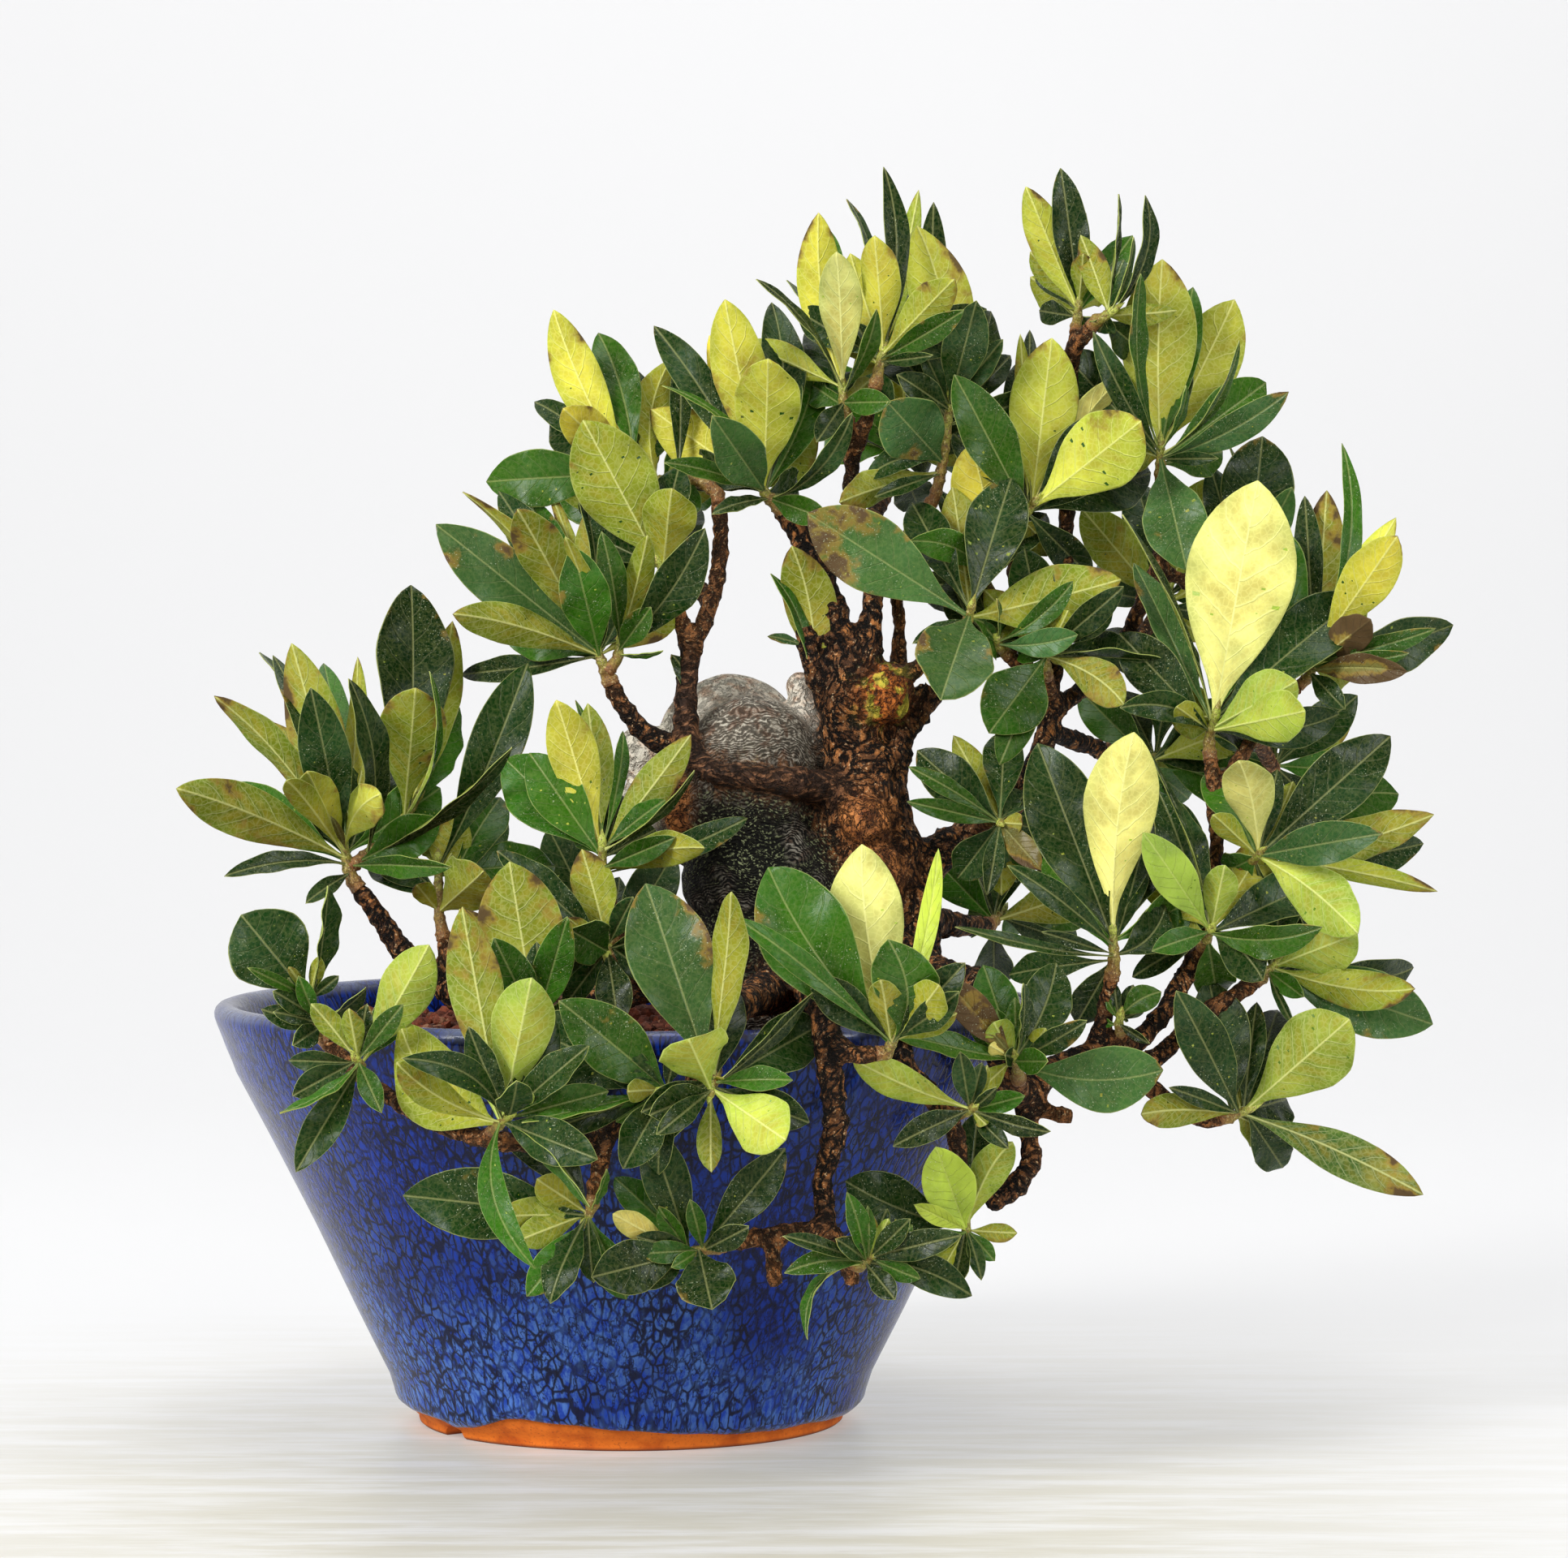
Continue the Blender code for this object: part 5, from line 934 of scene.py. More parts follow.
# A shoot's branch, its twigs as (x, y, near) points, and its leaves as (base x, base y, tip x,
# tip y, width, turn, lean, bow, colour). Turn 180 shows the camera the underside.
SHOOTS = {
    "far_left": ("left", [[(428, 1068, 20), (424, 1040, 20)],
                          [(430, 1070, 20), (468, 1042, 15), (500, 1008, 11), (514, 984, 9)]], [
        (365, 990, 328, 798, 55, 60, -10, 0, "d"), (395, 1040, 363, 797, 70, 180, -5, 0, "m"),
        (418, 1040, 398, 819, 45, 20, -20, 0, "g"), (417, 1040, 384, 853, 62, 0, 10, 0, "d"),
        (440, 1040, 441, 810, 32, 160, -15, 0, "m"), (445, 1040, 440, 840, 48, 40, 5, -8, "d"),
        (395, 1060, 267, 853, 42, 150, 0, -6, "m"), (400, 1062, 219, 972, 66, 180, 12, -6, "m"),
        (400, 1070, 277, 1079, 28, 30, 10, -6, "d"), (400, 1060, 349, 953, 34, 170, 25, 0, "m"),
        (410, 1050, 378, 948, 46, 180, 20, 0, "p"), (424, 1045, 470, 978, 55, 150, 35, 14, "p"),
        (450, 1070, 541, 1012, 54, 0, 0, 0, "g"), (440, 1072, 551, 1072, 30, 20, 25, 6, "g"),
        (500, 990, 510, 719, 98, 10, -12, 0, "d"), (512, 990, 558, 767, 52, 160, -4, 0, "m"),
        (515, 985, 566, 872, 45, 40, -10, 0, "g"), (505, 1000, 512, 847, 84, 180, 10, 0, "m"),
        (470, 1010, 540, 833, 20, 80, 10, -10, "g"), (455, 1050, 632, 924, 32, 60, 15, 0, "d")]),
    "left_inner": ("left_fork", [[(541, 1128, 17), (540, 1060, 12)]], [
        (538, 1130, 597, 1072, 78, 180, 20, 0, "m"), (541, 1080, 567, 1003, 52, 180, -5, 0, "m"),
        (541, 1070, 648, 818, 68, 0, 4, -6, "d")]),
    "low_left_tip": ("low_left", [[(393, 1268, 112), (380, 1228, 110)]], [
        (380, 1226, 298, 1128, 98, 0, 0, 0, "d"), (382, 1232, 405, 1092, 44, 55, 6, 0, "d")]),
    "low_left_middle": ("low_left_stub", [[(444, 1312, 130), (440, 1306, 131)]], [
        (447, 1318, 530, 1163, 62, 170, 4, 0, "l"), (447, 1318, 502, 1225, 46, 0, -6, 0, "g"),
        (440, 1312, 344, 1370, 24, 60, 18, 16, "g"), (446, 1318, 366, 1440, 42, 0, 12, 0, "d")]),
    "bright_pair": ("bright_pair_stub", [[(618, 1384, 148), (628, 1374, 150)]], [
        (612, 1390, 656, 1202, 70, 180, 0, 0, "l"), (610, 1388, 634, 1232, 48, 180, -8, 20, "l"),
        (618, 1390, 722, 1490, 24, 60, 6, 18, "g"), (612, 1392, 657, 1560, 34, 0, 6, -26, "g"),
        (612, 1390, 497, 1265, 86, 180, -8, 26, "m"), (614, 1388, 488, 1308, 40, 180, 8, 10, "m"),
        (614, 1392, 500, 1305, 36, 10, 18, -22, "d"), (616, 1390, 568, 1120, 62, 180, -14, 0, "m")]),
    "front_left_end": ("front_left", [[(727, 1492, 133), (722, 1502, 133)]], [
        (724, 1498, 498, 1473, 80, 0, 8, 0, "d"), (726, 1492, 620, 1400, 50, 0, -4, -20, "d"),
        (726, 1494, 661, 1452, 40, 180, 4, 0, "m")]),
    "front_low_middle": ("front_low", [[(866, 1540, 130), (842, 1545, 131)]], [
        (842, 1545, 752, 1493, 30, 180, 4, 0, "b"), (845, 1546, 733, 1573, 62, 0, 10, 0, "d"),
        (862, 1542, 877, 1612, 68, 0, 20, 0, "d"), (850, 1540, 800, 1390, 54, 0, 4, 0, "d"),
        (864, 1538, 968, 1418, 50, 0, 6, 0, "d"), (852, 1540, 757, 1450, 40, 10, -6, 0, "g")]),
    "front_low_right": ("front_middle_stub", [[(1064, 1558, 131), (1074, 1548, 132)]], [
        (1064, 1556, 1046, 1472, 28, 30, 8, 0, "g"), (1072, 1552, 1198, 1597, 42, 0, 0, 8, "d"),
        (1074, 1550, 1182, 1522, 34, 0, 8, 0, "d"), (1062, 1558, 970, 1566, 28, 10, 8, -6, "g"),
        (1062, 1559, 994, 1650, 22, 60, 10, -22, "g")]),
    "front_right_end": ("front_right", [[(1190, 1506, 100), (1191, 1520, 100)]], [
        (1190, 1516, 1153, 1413, 62, 0, 0, 0, "l"), (1192, 1514, 1250, 1402, 44, 180, 4, 8, "l"),
        (1189, 1512, 1043, 1455, 68, 0, 4, 8, "d"), (1190, 1518, 1095, 1548, 32, 0, 8, 0, "g"),
        (1190, 1508, 1205, 1372, 50, 0, -8, 0, "d")]),
    "front_right_upper": ("front_right_stub", [[(1192, 1370, 111), (1198, 1366, 113)]], [
        (1196, 1368, 1048, 1303, 42, 170, 6, 6, "l"), (1192, 1372, 1103, 1410, 34, 10, 4, 0, "d")]),
    "long_rib": ("long_rib_stub", [[(880, 1328, 140), (876, 1344, 143)]], [
        (876, 1330, 797, 1088, 96, 0, -4, 0, "w"), (878, 1328, 909, 1092, 44, 150, 6, 8, "m"),
        (878, 1340, 972, 1408, 70, 180, 14, 0, "l"), (878, 1344, 847, 1276, 82, 180, 22, 0, "l"),
        (878, 1330, 906, 1216, 42, 0, -14, 0, "d"), (880, 1332, 1000, 1222, 26, 50, 0, 0, "d"),
        (880, 1334, 1012, 1262, 66, 0, -12, 0, "d"), (876, 1344, 800, 1374, 42, 0, 14, 0, "d")]),
    "dark_pair": ("dark_pair_stub", [[(828, 1342, 139), (816, 1344, 141)]], [
        (826, 1342, 693, 1234, 72, 0, 2, 0, "g"), (822, 1344, 640, 1262, 82, 0, -10, 0, "d"),
        (820, 1343, 643, 1384, 28, 55, 10, 8, "g"), (822, 1346, 664, 1396, 36, 0, -4, 0, "d"),
        (824, 1346, 768, 1440, 50, 0, 4, 0, "d")]),
    "low_dark_group": ("low_dark", [[(668, 1262, 80), (660, 1262, 84)]], [
        (662, 1262, 628, 1062, 100, 180, -6, 0, "m"), (661, 1262, 610, 1158, 50, 0, 6, 0, "g"),
        (664, 1262, 699, 1130, 46, 0, 2, 0, "g"), (663, 1262, 568, 1122, 60, 180, 0, 0, "m")]),
    "mid_left_group": ("mid_left_stub", [[(750, 1160, 57), (748, 1172, 60)]], [
        (750, 1166, 613, 1048, 44, 15, 8, 0, "d"), (750, 1164, 718, 1048, 54, 180, -8, 0, "m"),
        (752, 1172, 705, 1148, 58, 0, 40, 0, "g"), (752, 1168, 762, 1262, 44, 0, 14, 0, "d")]),
    "mid_left_top": ("mid_left", [[(742, 1078, 50), (742, 1042, 51)]], [
        (740, 1052, 687, 862, 60, 180, 0, 0, "y"), (745, 1046, 727, 870, 46, 180, -4, 0, "m"),
        (742, 1046, 712, 860, 20, 30, -12, 0, "g"), (746, 1046, 770, 898, 20, 20, -12, 0, "g"),
        (746, 1050, 850, 910, 48, 180, -6, 0, "m"), (748, 1048, 858, 955, 18, 60, 12, 0, "d"),
        (740, 1056, 622, 935, 80, 0, -8, 0, "g"), (745, 1070, 830, 1033, 30, 0, 10, 0, "g"),
        (745, 1076, 868, 1045, 44, 180, 10, 10, "m"), (745, 1078, 922, 1006, 34, 0, -2, -6, "d")]),
    "large_bright_group": ("large_bright", [[(1096, 1290, 128), (1104, 1276, 128)]], [
        (1100, 1282, 1062, 1043, 88, 180, -2, 10, "b"), (1096, 1284, 947, 1068, 106, 0, -8, 12, "g"),
        (1104, 1284, 1096, 1162, 76, 0, 2, -18, "g"), (1104, 1276, 1156, 1043, 24, 0, -4, -8, "l"),
        (1100, 1286, 912, 1128, 30, 10, 6, 0, "g"), (1100, 1284, 1140, 1146, 30, 170, -10, 0, "m")]),
    "brown_tip_group": ("brown_tip_stub", [[(1254, 1318, 85), (1250, 1302, 89)]], [
        (1256, 1318, 1433, 1318, 78, 0, 6, -16, "w"), (1252, 1312, 1097, 1268, 34, 20, 8, 8, "g"),
        (1252, 1308, 1165, 1206, 42, 0, 8, 0, "r"), (1252, 1304, 1212, 1190, 54, 0, 0, 0, "g"),
        (1254, 1304, 1262, 1212, 26, 60, 8, 0, "d"), (1255, 1306, 1302, 1186, 60, 0, -2, -8, "d"),
        (1256, 1312, 1338, 1260, 30, 10, 8, 0, "d")]),
    "dark_right_group": ("dark_right_stub", [[(1228, 1010, 20), (1232, 1014, 24)]], [
        (1230, 1012, 1122, 945, 24, 20, 8, 0, "g"), (1230, 1012, 1120, 988, 26, 0, 2, 0, "g"),
        (1230, 1012, 1130, 925, 60, 0, -16, 0, "d"), (1232, 1014, 1180, 1082, 50, 0, 0, 0, "d"),
        (1232, 1014, 1283, 1072, 34, 0, 10, 0, "r"), (1232, 1014, 1234, 1100, 50, 180, -8, 0, "m")]),
    "right_middle": ("right_stub", [[(1288, 816, 9), (1290, 800, 11)]], [
        (1288, 812, 1222, 900, 84, 0, 8, 0, "g"), (1290, 812, 1385, 868, 52, 180, 14, 10, "m"),
        (1290, 810, 1440, 815, 40, 50, 8, 8, "d"), (1288, 815, 1232, 940, 46, 0, 18, 0, "g"),
        (1289, 808, 1318, 752, 44, 180, 8, 0, "m"), (1291, 804, 1384, 723, 36, 10, 4, 0, "d"),
        (1290, 804, 1328, 692, 60, 0, -8, 0, "d"), (1289, 806, 1262, 674, 58, 0, -4, 0, "d")]),
    "tall_bright_group": ("tall_bright", [[(1373, 1178, 53), (1371, 1150, 53)]], [
        (1372, 1155, 1397, 903, 88, 180, 4, 8, "b"), (1370, 1160, 1278, 915, 92, 0, -8, 0, "d"),
        (1373, 1165, 1408, 1035, 34, 20, -6, 0, "d"), (1374, 1176, 1436, 1116, 52, 0, 0, -14, "d"),
        (1371, 1166, 1250, 1067, 34, 15, 6, 0, "d"), (1373, 1178, 1180, 1139, 18, 30, 14, 14, "d"),
        (1370, 1160, 1320, 1060, 50, 0, -12, 0, "d")]),
    "fork_leaf": ("fork_leaf_stub", [[(1378, 1264, 52), (1380, 1254, 54)]], [
        (1380, 1257, 1431, 1222, 34, 0, 8, 6, "g")]),
    "right_side": ("right_side_stub", [[(1487, 1156, 46), (1492, 1146, 50)]], [
        (1490, 1150, 1413, 1030, 52, 0, 4, 0, "l"), (1490, 1154, 1625, 1148, 44, 20, 10, -8, "g"),
        (1490, 1152, 1556, 1208, 56, 0, 0, 8, "d"), (1492, 1146, 1510, 1065, 42, 180, 10, 0, "l"),
        (1492, 1146, 1400, 905, 16, 70, 4, 0, "d"), (1491, 1148, 1450, 985, 44, 0, -8, 0, "d")]),
    "right_head": ("right_head_stub", [[(1544, 1060, 40), (1552, 1052, 43)]], [
        (1550, 1054, 1715, 905, 76, 0, -6, 0, "d"), (1548, 1058, 1700, 1027, 52, 0, 12, 0, "w"),
        (1548, 1058, 1725, 978, 84, 0, -14, 24, "g"), (1548, 1060, 1765, 1002, 56, 180, -8, -14, "m"),
        (1548, 1062, 1768, 1095, 28, 180, -2, 0, "m"), (1546, 1056, 1525, 932, 62, 180, 10, -6, "b"),
        (1550, 1054, 1574, 948, 30, 0, -4, 0, "d"), (1548, 1062, 1672, 1150, 70, 180, 8, 8, "l")]),
    "largest_leaf": ("low_right", [[(1490, 908, 18), (1497, 884, 20)]], [
        (1500, 892, 1550, 592, 134, 180, 5, 0, "b"), (1492, 896, 1380, 635, 20, 70, 5, 0, "d"),
        (1492, 894, 1400, 690, 44, 30, -4, 8, "w"), (1494, 900, 1597, 840, 66, 180, 12, 0, "l"),
        (1493, 903, 1612, 876, 64, 180, 24, 0, "l"), (1494, 900, 1650, 880, 50, 0, -10, -12, "d"),
        (1492, 908, 1380, 872, 38, 0, 2, -18, "d")]),
    "far_right_group": ("far_right", [[(1614, 831, 7), (1620, 806, 8)]], [
        (1618, 808, 1635, 606, 60, 180, -5, 0, "m"), (1616, 806, 1608, 612, 36, 0, -12, 0, "d"),
        (1620, 806, 1657, 545, 28, 30, -8, -16, "g"), (1620, 806, 1720, 638, 46, 180, -6, 0, "p"),
        (1620, 808, 1722, 660, 64, 180, 5, 0, "p"), (1618, 820, 1690, 762, 48, 180, 18, 0, "r"),
        (1618, 816, 1767, 778, 28, 10, 0, 0, "g"), (1618, 822, 1735, 806, 26, 0, 5, 0, "g"),
        (1616, 828, 1733, 828, 38, 10, 12, 6, "r")]),
    "dark_upper_group": ("dark_upper", [[(1530, 720, -31), (1540, 706, -31)]], [
        (1536, 712, 1557, 537, 94, 0, -5, 0, "d"), (1530, 716, 1492, 572, 48, 0, -4, 0, "d"),
        (1540, 706, 1580, 555, 24, 20, -10, 0, "d"), (1540, 708, 1592, 600, 42, 0, 6, 0, "w"),
        (1528, 718, 1447, 665, 46, 180, 12, 0, "m")]),
    "upper_right_group": ("upper_right", [[(1430, 572, -7), (1430, 550, -6)]], [
        (1430, 556, 1432, 320, 96, 180, 0, 4, "p"), (1432, 556, 1520, 375, 88, 180, -6, 0, "p"),
        (1428, 556, 1412, 338, 36, 60, 5, 30, "g"), (1432, 556, 1470, 353, 50, 0, -15, 0, "g"),
        (1432, 560, 1528, 421, 20, 60, 10, -10, "g"), (1432, 564, 1587, 484, 42, 20, 5, -6, "w"),
        (1429, 558, 1350, 412, 34, 10, 2, 8, "d"), (1430, 566, 1462, 702, 80, 0, 16, 0, "w")]),
    "top_right_left": ("top_right_stub", [[(1328, 392, -13), (1329, 376, -12)]], [
        (1329, 384, 1264, 230, 50, 180, 0, 0, "p"), (1329, 386, 1278, 325, 34, 0, -14, 0, "d"),
        (1330, 380, 1307, 207, 46, 10, -4, 0, "d")]),
    "top_right_right": ("top_right", [[(1358, 392, 3), (1368, 385, 4)]], [
        (1364, 388, 1385, 240, 18, 75, 0, 8, "d"), (1368, 385, 1414, 241, 34, 50, -5, -14, "d")]),
    "large_under_group": ("large_under", [[(1256, 644, -4), (1272, 622, -1)]], [
        (1268, 630, 1408, 518, 98, 180, 10, 0, "p"), (1262, 634, 1176, 462, 66, 10, 2, 0, "g"),
        (1270, 626, 1238, 500, 60, 0, -12, 0, "d"), (1272, 624, 1296, 417, 86, 180, -6, 0, "p"),
        (1266, 630, 1255, 445, 46, 0, -20, 0, "d"), (1264, 630, 1257, 412, 26, 170, -12, 0, "m"),
        (1270, 624, 1268, 402, 26, 0, -16, 0, "d"), (1272, 624, 1352, 512, 44, 0, -12, 0, "d"),
        (1271, 624, 1330, 478, 36, 180, -18, 0, "m"), (1272, 622, 1375, 463, 46, 180, -4, 0, "b")]),
    "round_pale_group": ("behind_patch", [[(1158, 590, -6), (1166, 540, -5), (1170, 494, -4)]], [
        (1170, 496, 1130, 278, 78, 180, 0, -14, "p"), (1170, 498, 1203, 373, 56, 0, 6, 0, "d"),
        (1170, 498, 1236, 418, 34, 0, 2, 0, "d"), (1169, 505, 1108, 462, 38, 10, 8, 0, "d"),
        (1162, 570, 1094, 496, 86, 0, 12, 0, "w"), (1160, 582, 1030, 618, 46, 160, 8, 0, "m"),
        (1162, 572, 1066, 590, 34, 20, 2, -14, "d")]),
    "yellow_leaf_group": ("yellow_leaf", [[(1219, 724, -2), (1212, 710, 0)]], [
        (1218, 720, 1195, 548, 78, 180, 0, -10, "y"), (1213, 712, 1208, 622, 38, 10, 4, 0, "d"),
        (1215, 718, 1120, 666, 42, 0, 16, -18, "g"), (1213, 712, 1155, 600, 28, 20, -4, 0, "d")]),
    "patched_group": ("knuckle_right", [[(1192, 766, 16), (1196, 752, 18)]], [
        (1192, 762, 995, 632, 94, 0, 8, 0, "w"), (1194, 764, 1160, 860, 98, 0, 40, 0, "w")]),
    "right_low_lower_group": ("right_low_lower", [[(1518, 1376, 43), (1536, 1368, 43)]], [
        (1532, 1370, 1665, 1255, 95, 180, 0, 0, "l"), (1528, 1372, 1753, 1472, 55, 170, 0, 8, "w"),
        (1530, 1372, 1495, 1235, 60, 180, -4, 0, "m"), (1532, 1370, 1548, 1232, 36, 0, -10, 0, "d"),
        (1526, 1373, 1450, 1222, 60, 10, 4, 0, "d"), (1524, 1374, 1399, 1375, 42, 180, 12, -6, "m")]),
    "right_low_upper_group": ("right_low_upper", [[(1558, 1201, 31), (1570, 1190, 31)]], [
        (1568, 1193, 1745, 1228, 45, 0, -12, -10, "g"), (1566, 1195, 1765, 1262, 82, 0, 0, 0, "w"),
        (1568, 1192, 1748, 1222, 50, 180, 12, -10, "m"), (1567, 1190, 1672, 1150, 72, 180, 6, 0, "l"),
        (1568, 1190, 1610, 1125, 40, 0, -12, 0, "d")]),
    "grey_patch_group": ("right_inner", [[(1232, 800, 6), (1228, 788, 8)]], [
        (1231, 796, 1328, 782, 36, 0, 8, -6, "w"), (1230, 792, 1322, 718, 30, 0, 6, -8, "g")]),
    "centre_group": ("centre", [[(1040, 506, 0), (1038, 476, 0)]], [
        (1040, 478, 1031, 308, 54, 170, 4, 0, "b"), (1036, 484, 934, 343, 24, 70, 5, -4, "d"),
        (1037, 480, 972, 342, 22, 60, -3, 0, "d"), (1042, 482, 1083, 386, 28, 45, 10, 0, "g"),
        (1037, 480, 1008, 265, 58, 180, -10, 10, "p"), (1039, 480, 1019, 277, 36, 0, -16, 0, "g")]),
    "centre_right_group": ("centre_fork", [[(1082, 458, 4), (1088, 432, 4)]], [
        (1088, 434, 1078, 290, 52, 180, 5, 0, "p"), (1086, 436, 1048, 318, 52, 180, -8, 0, "p"),
        (1089, 434, 1094, 204, 34, 25, -5, -8, "d"), (1090, 434, 1132, 234, 30, 170, -14, 0, "m"),
        (1089, 438, 1178, 340, 50, 180, 12, 0, "p"), (1088, 442, 1186, 384, 34, 10, 16, 0, "g"),
        (1087, 438, 1049, 241, 26, 60, -16, 0, "d")]),
    "centre_left_group": ("centre_left", [[(944, 611, 4), (938, 598, 5)]], [
        (940, 602, 893, 369, 68, 180, 2, 0, "p"), (942, 604, 948, 438, 82, 180, 10, 0, "p"),
        (944, 606, 952, 366, 56, 15, -8, -14, "d"), (940, 602, 880, 515, 62, 0, 30, 0, "w"),
        (942, 608, 822, 568, 28, 30, 12, 0, "g"), (940, 602, 802, 505, 74, 180, -4, 0, "p"),
        (940, 600, 876, 415, 60, 180, -10, 0, "y"), (939, 600, 806, 396, 48, 10, -14, 0, "d"),
        (940, 602, 815, 476, 16, 70, 6, -16, "g"), (948, 614, 1050, 512, 30, 30, 8, -14, "d"),
        (944, 606, 1006, 457, 48, 0, -6, -8, "g")]),
    "upper_left_group": ("upper_left", [[(868, 596, 0), (835, 590, -3), (795, 594, -5),
                                         (772, 580, -5)]], [
        (775, 582, 682, 382, 60, 180, 0, 8, "p"), (778, 584, 692, 500, 54, 180, 12, 0, "y"),
        (782, 586, 737, 408, 54, 0, -8, -10, "g"), (790, 592, 778, 452, 42, 10, -14, 0, "d"),
        (775, 584, 655, 489, 36, 20, -10, 0, "d"), (812, 592, 824, 445, 58, 180, -4, 14, "m"),
        (838, 590, 838, 437, 28, 10, -14, 0, "d"), (860, 594, 832, 640, 46, 0, 4, 0, "g")]),
    "spot_leaf_group": ("upper_left_fork", [[(820, 708, 9), (812, 694, 10)]], [
        (818, 702, 828, 602, 68, 180, 10, 0, "m"), (814, 698, 735, 622, 24, 50, -2, 0, "d"),
        (814, 698, 718, 518, 102, 180, 4, 0, "m")]),
    "left_rosette": ("left_twin", [[(744, 822, 16), (736, 802, 17)],
                                   [(747, 829, 16), (761, 812, 15), (764, 792, 15)]], [
        (737, 806, 537, 647, 76, 0, 4, 0, "w"), (736, 810, 556, 757, 50, 180, 12, -8, "m"),
        (737, 804, 577, 601, 32, 130, -6, 0, "m"), (738, 802, 615, 607, 54, 10, -12, 0, "d"),
        (737, 804, 636, 622, 60, 180, 6, 0, "m"), (738, 802, 646, 607, 42, 10, -16, 0, "g"),
        (739, 804, 679, 601, 20, 160, -12, 0, "m"), (738, 804, 713, 577, 26, 40, -10, 0, "d"),
        (740, 808, 707, 678, 62, 0, 12, 0, "g"), (738, 806, 697, 660, 26, 150, 16, 0, "m"),
        (739, 804, 725, 627, 46, 180, -2, 0, "m"), (763, 796, 744, 660, 36, 20, 4, 0, "g"),
        (764, 794, 803, 577, 28, 55, -6, 0, "d"), (765, 796, 800, 655, 34, 170, 4, 0, "m"),
        (766, 800, 868, 657, 60, 20, 2, -6, "d")]),
}

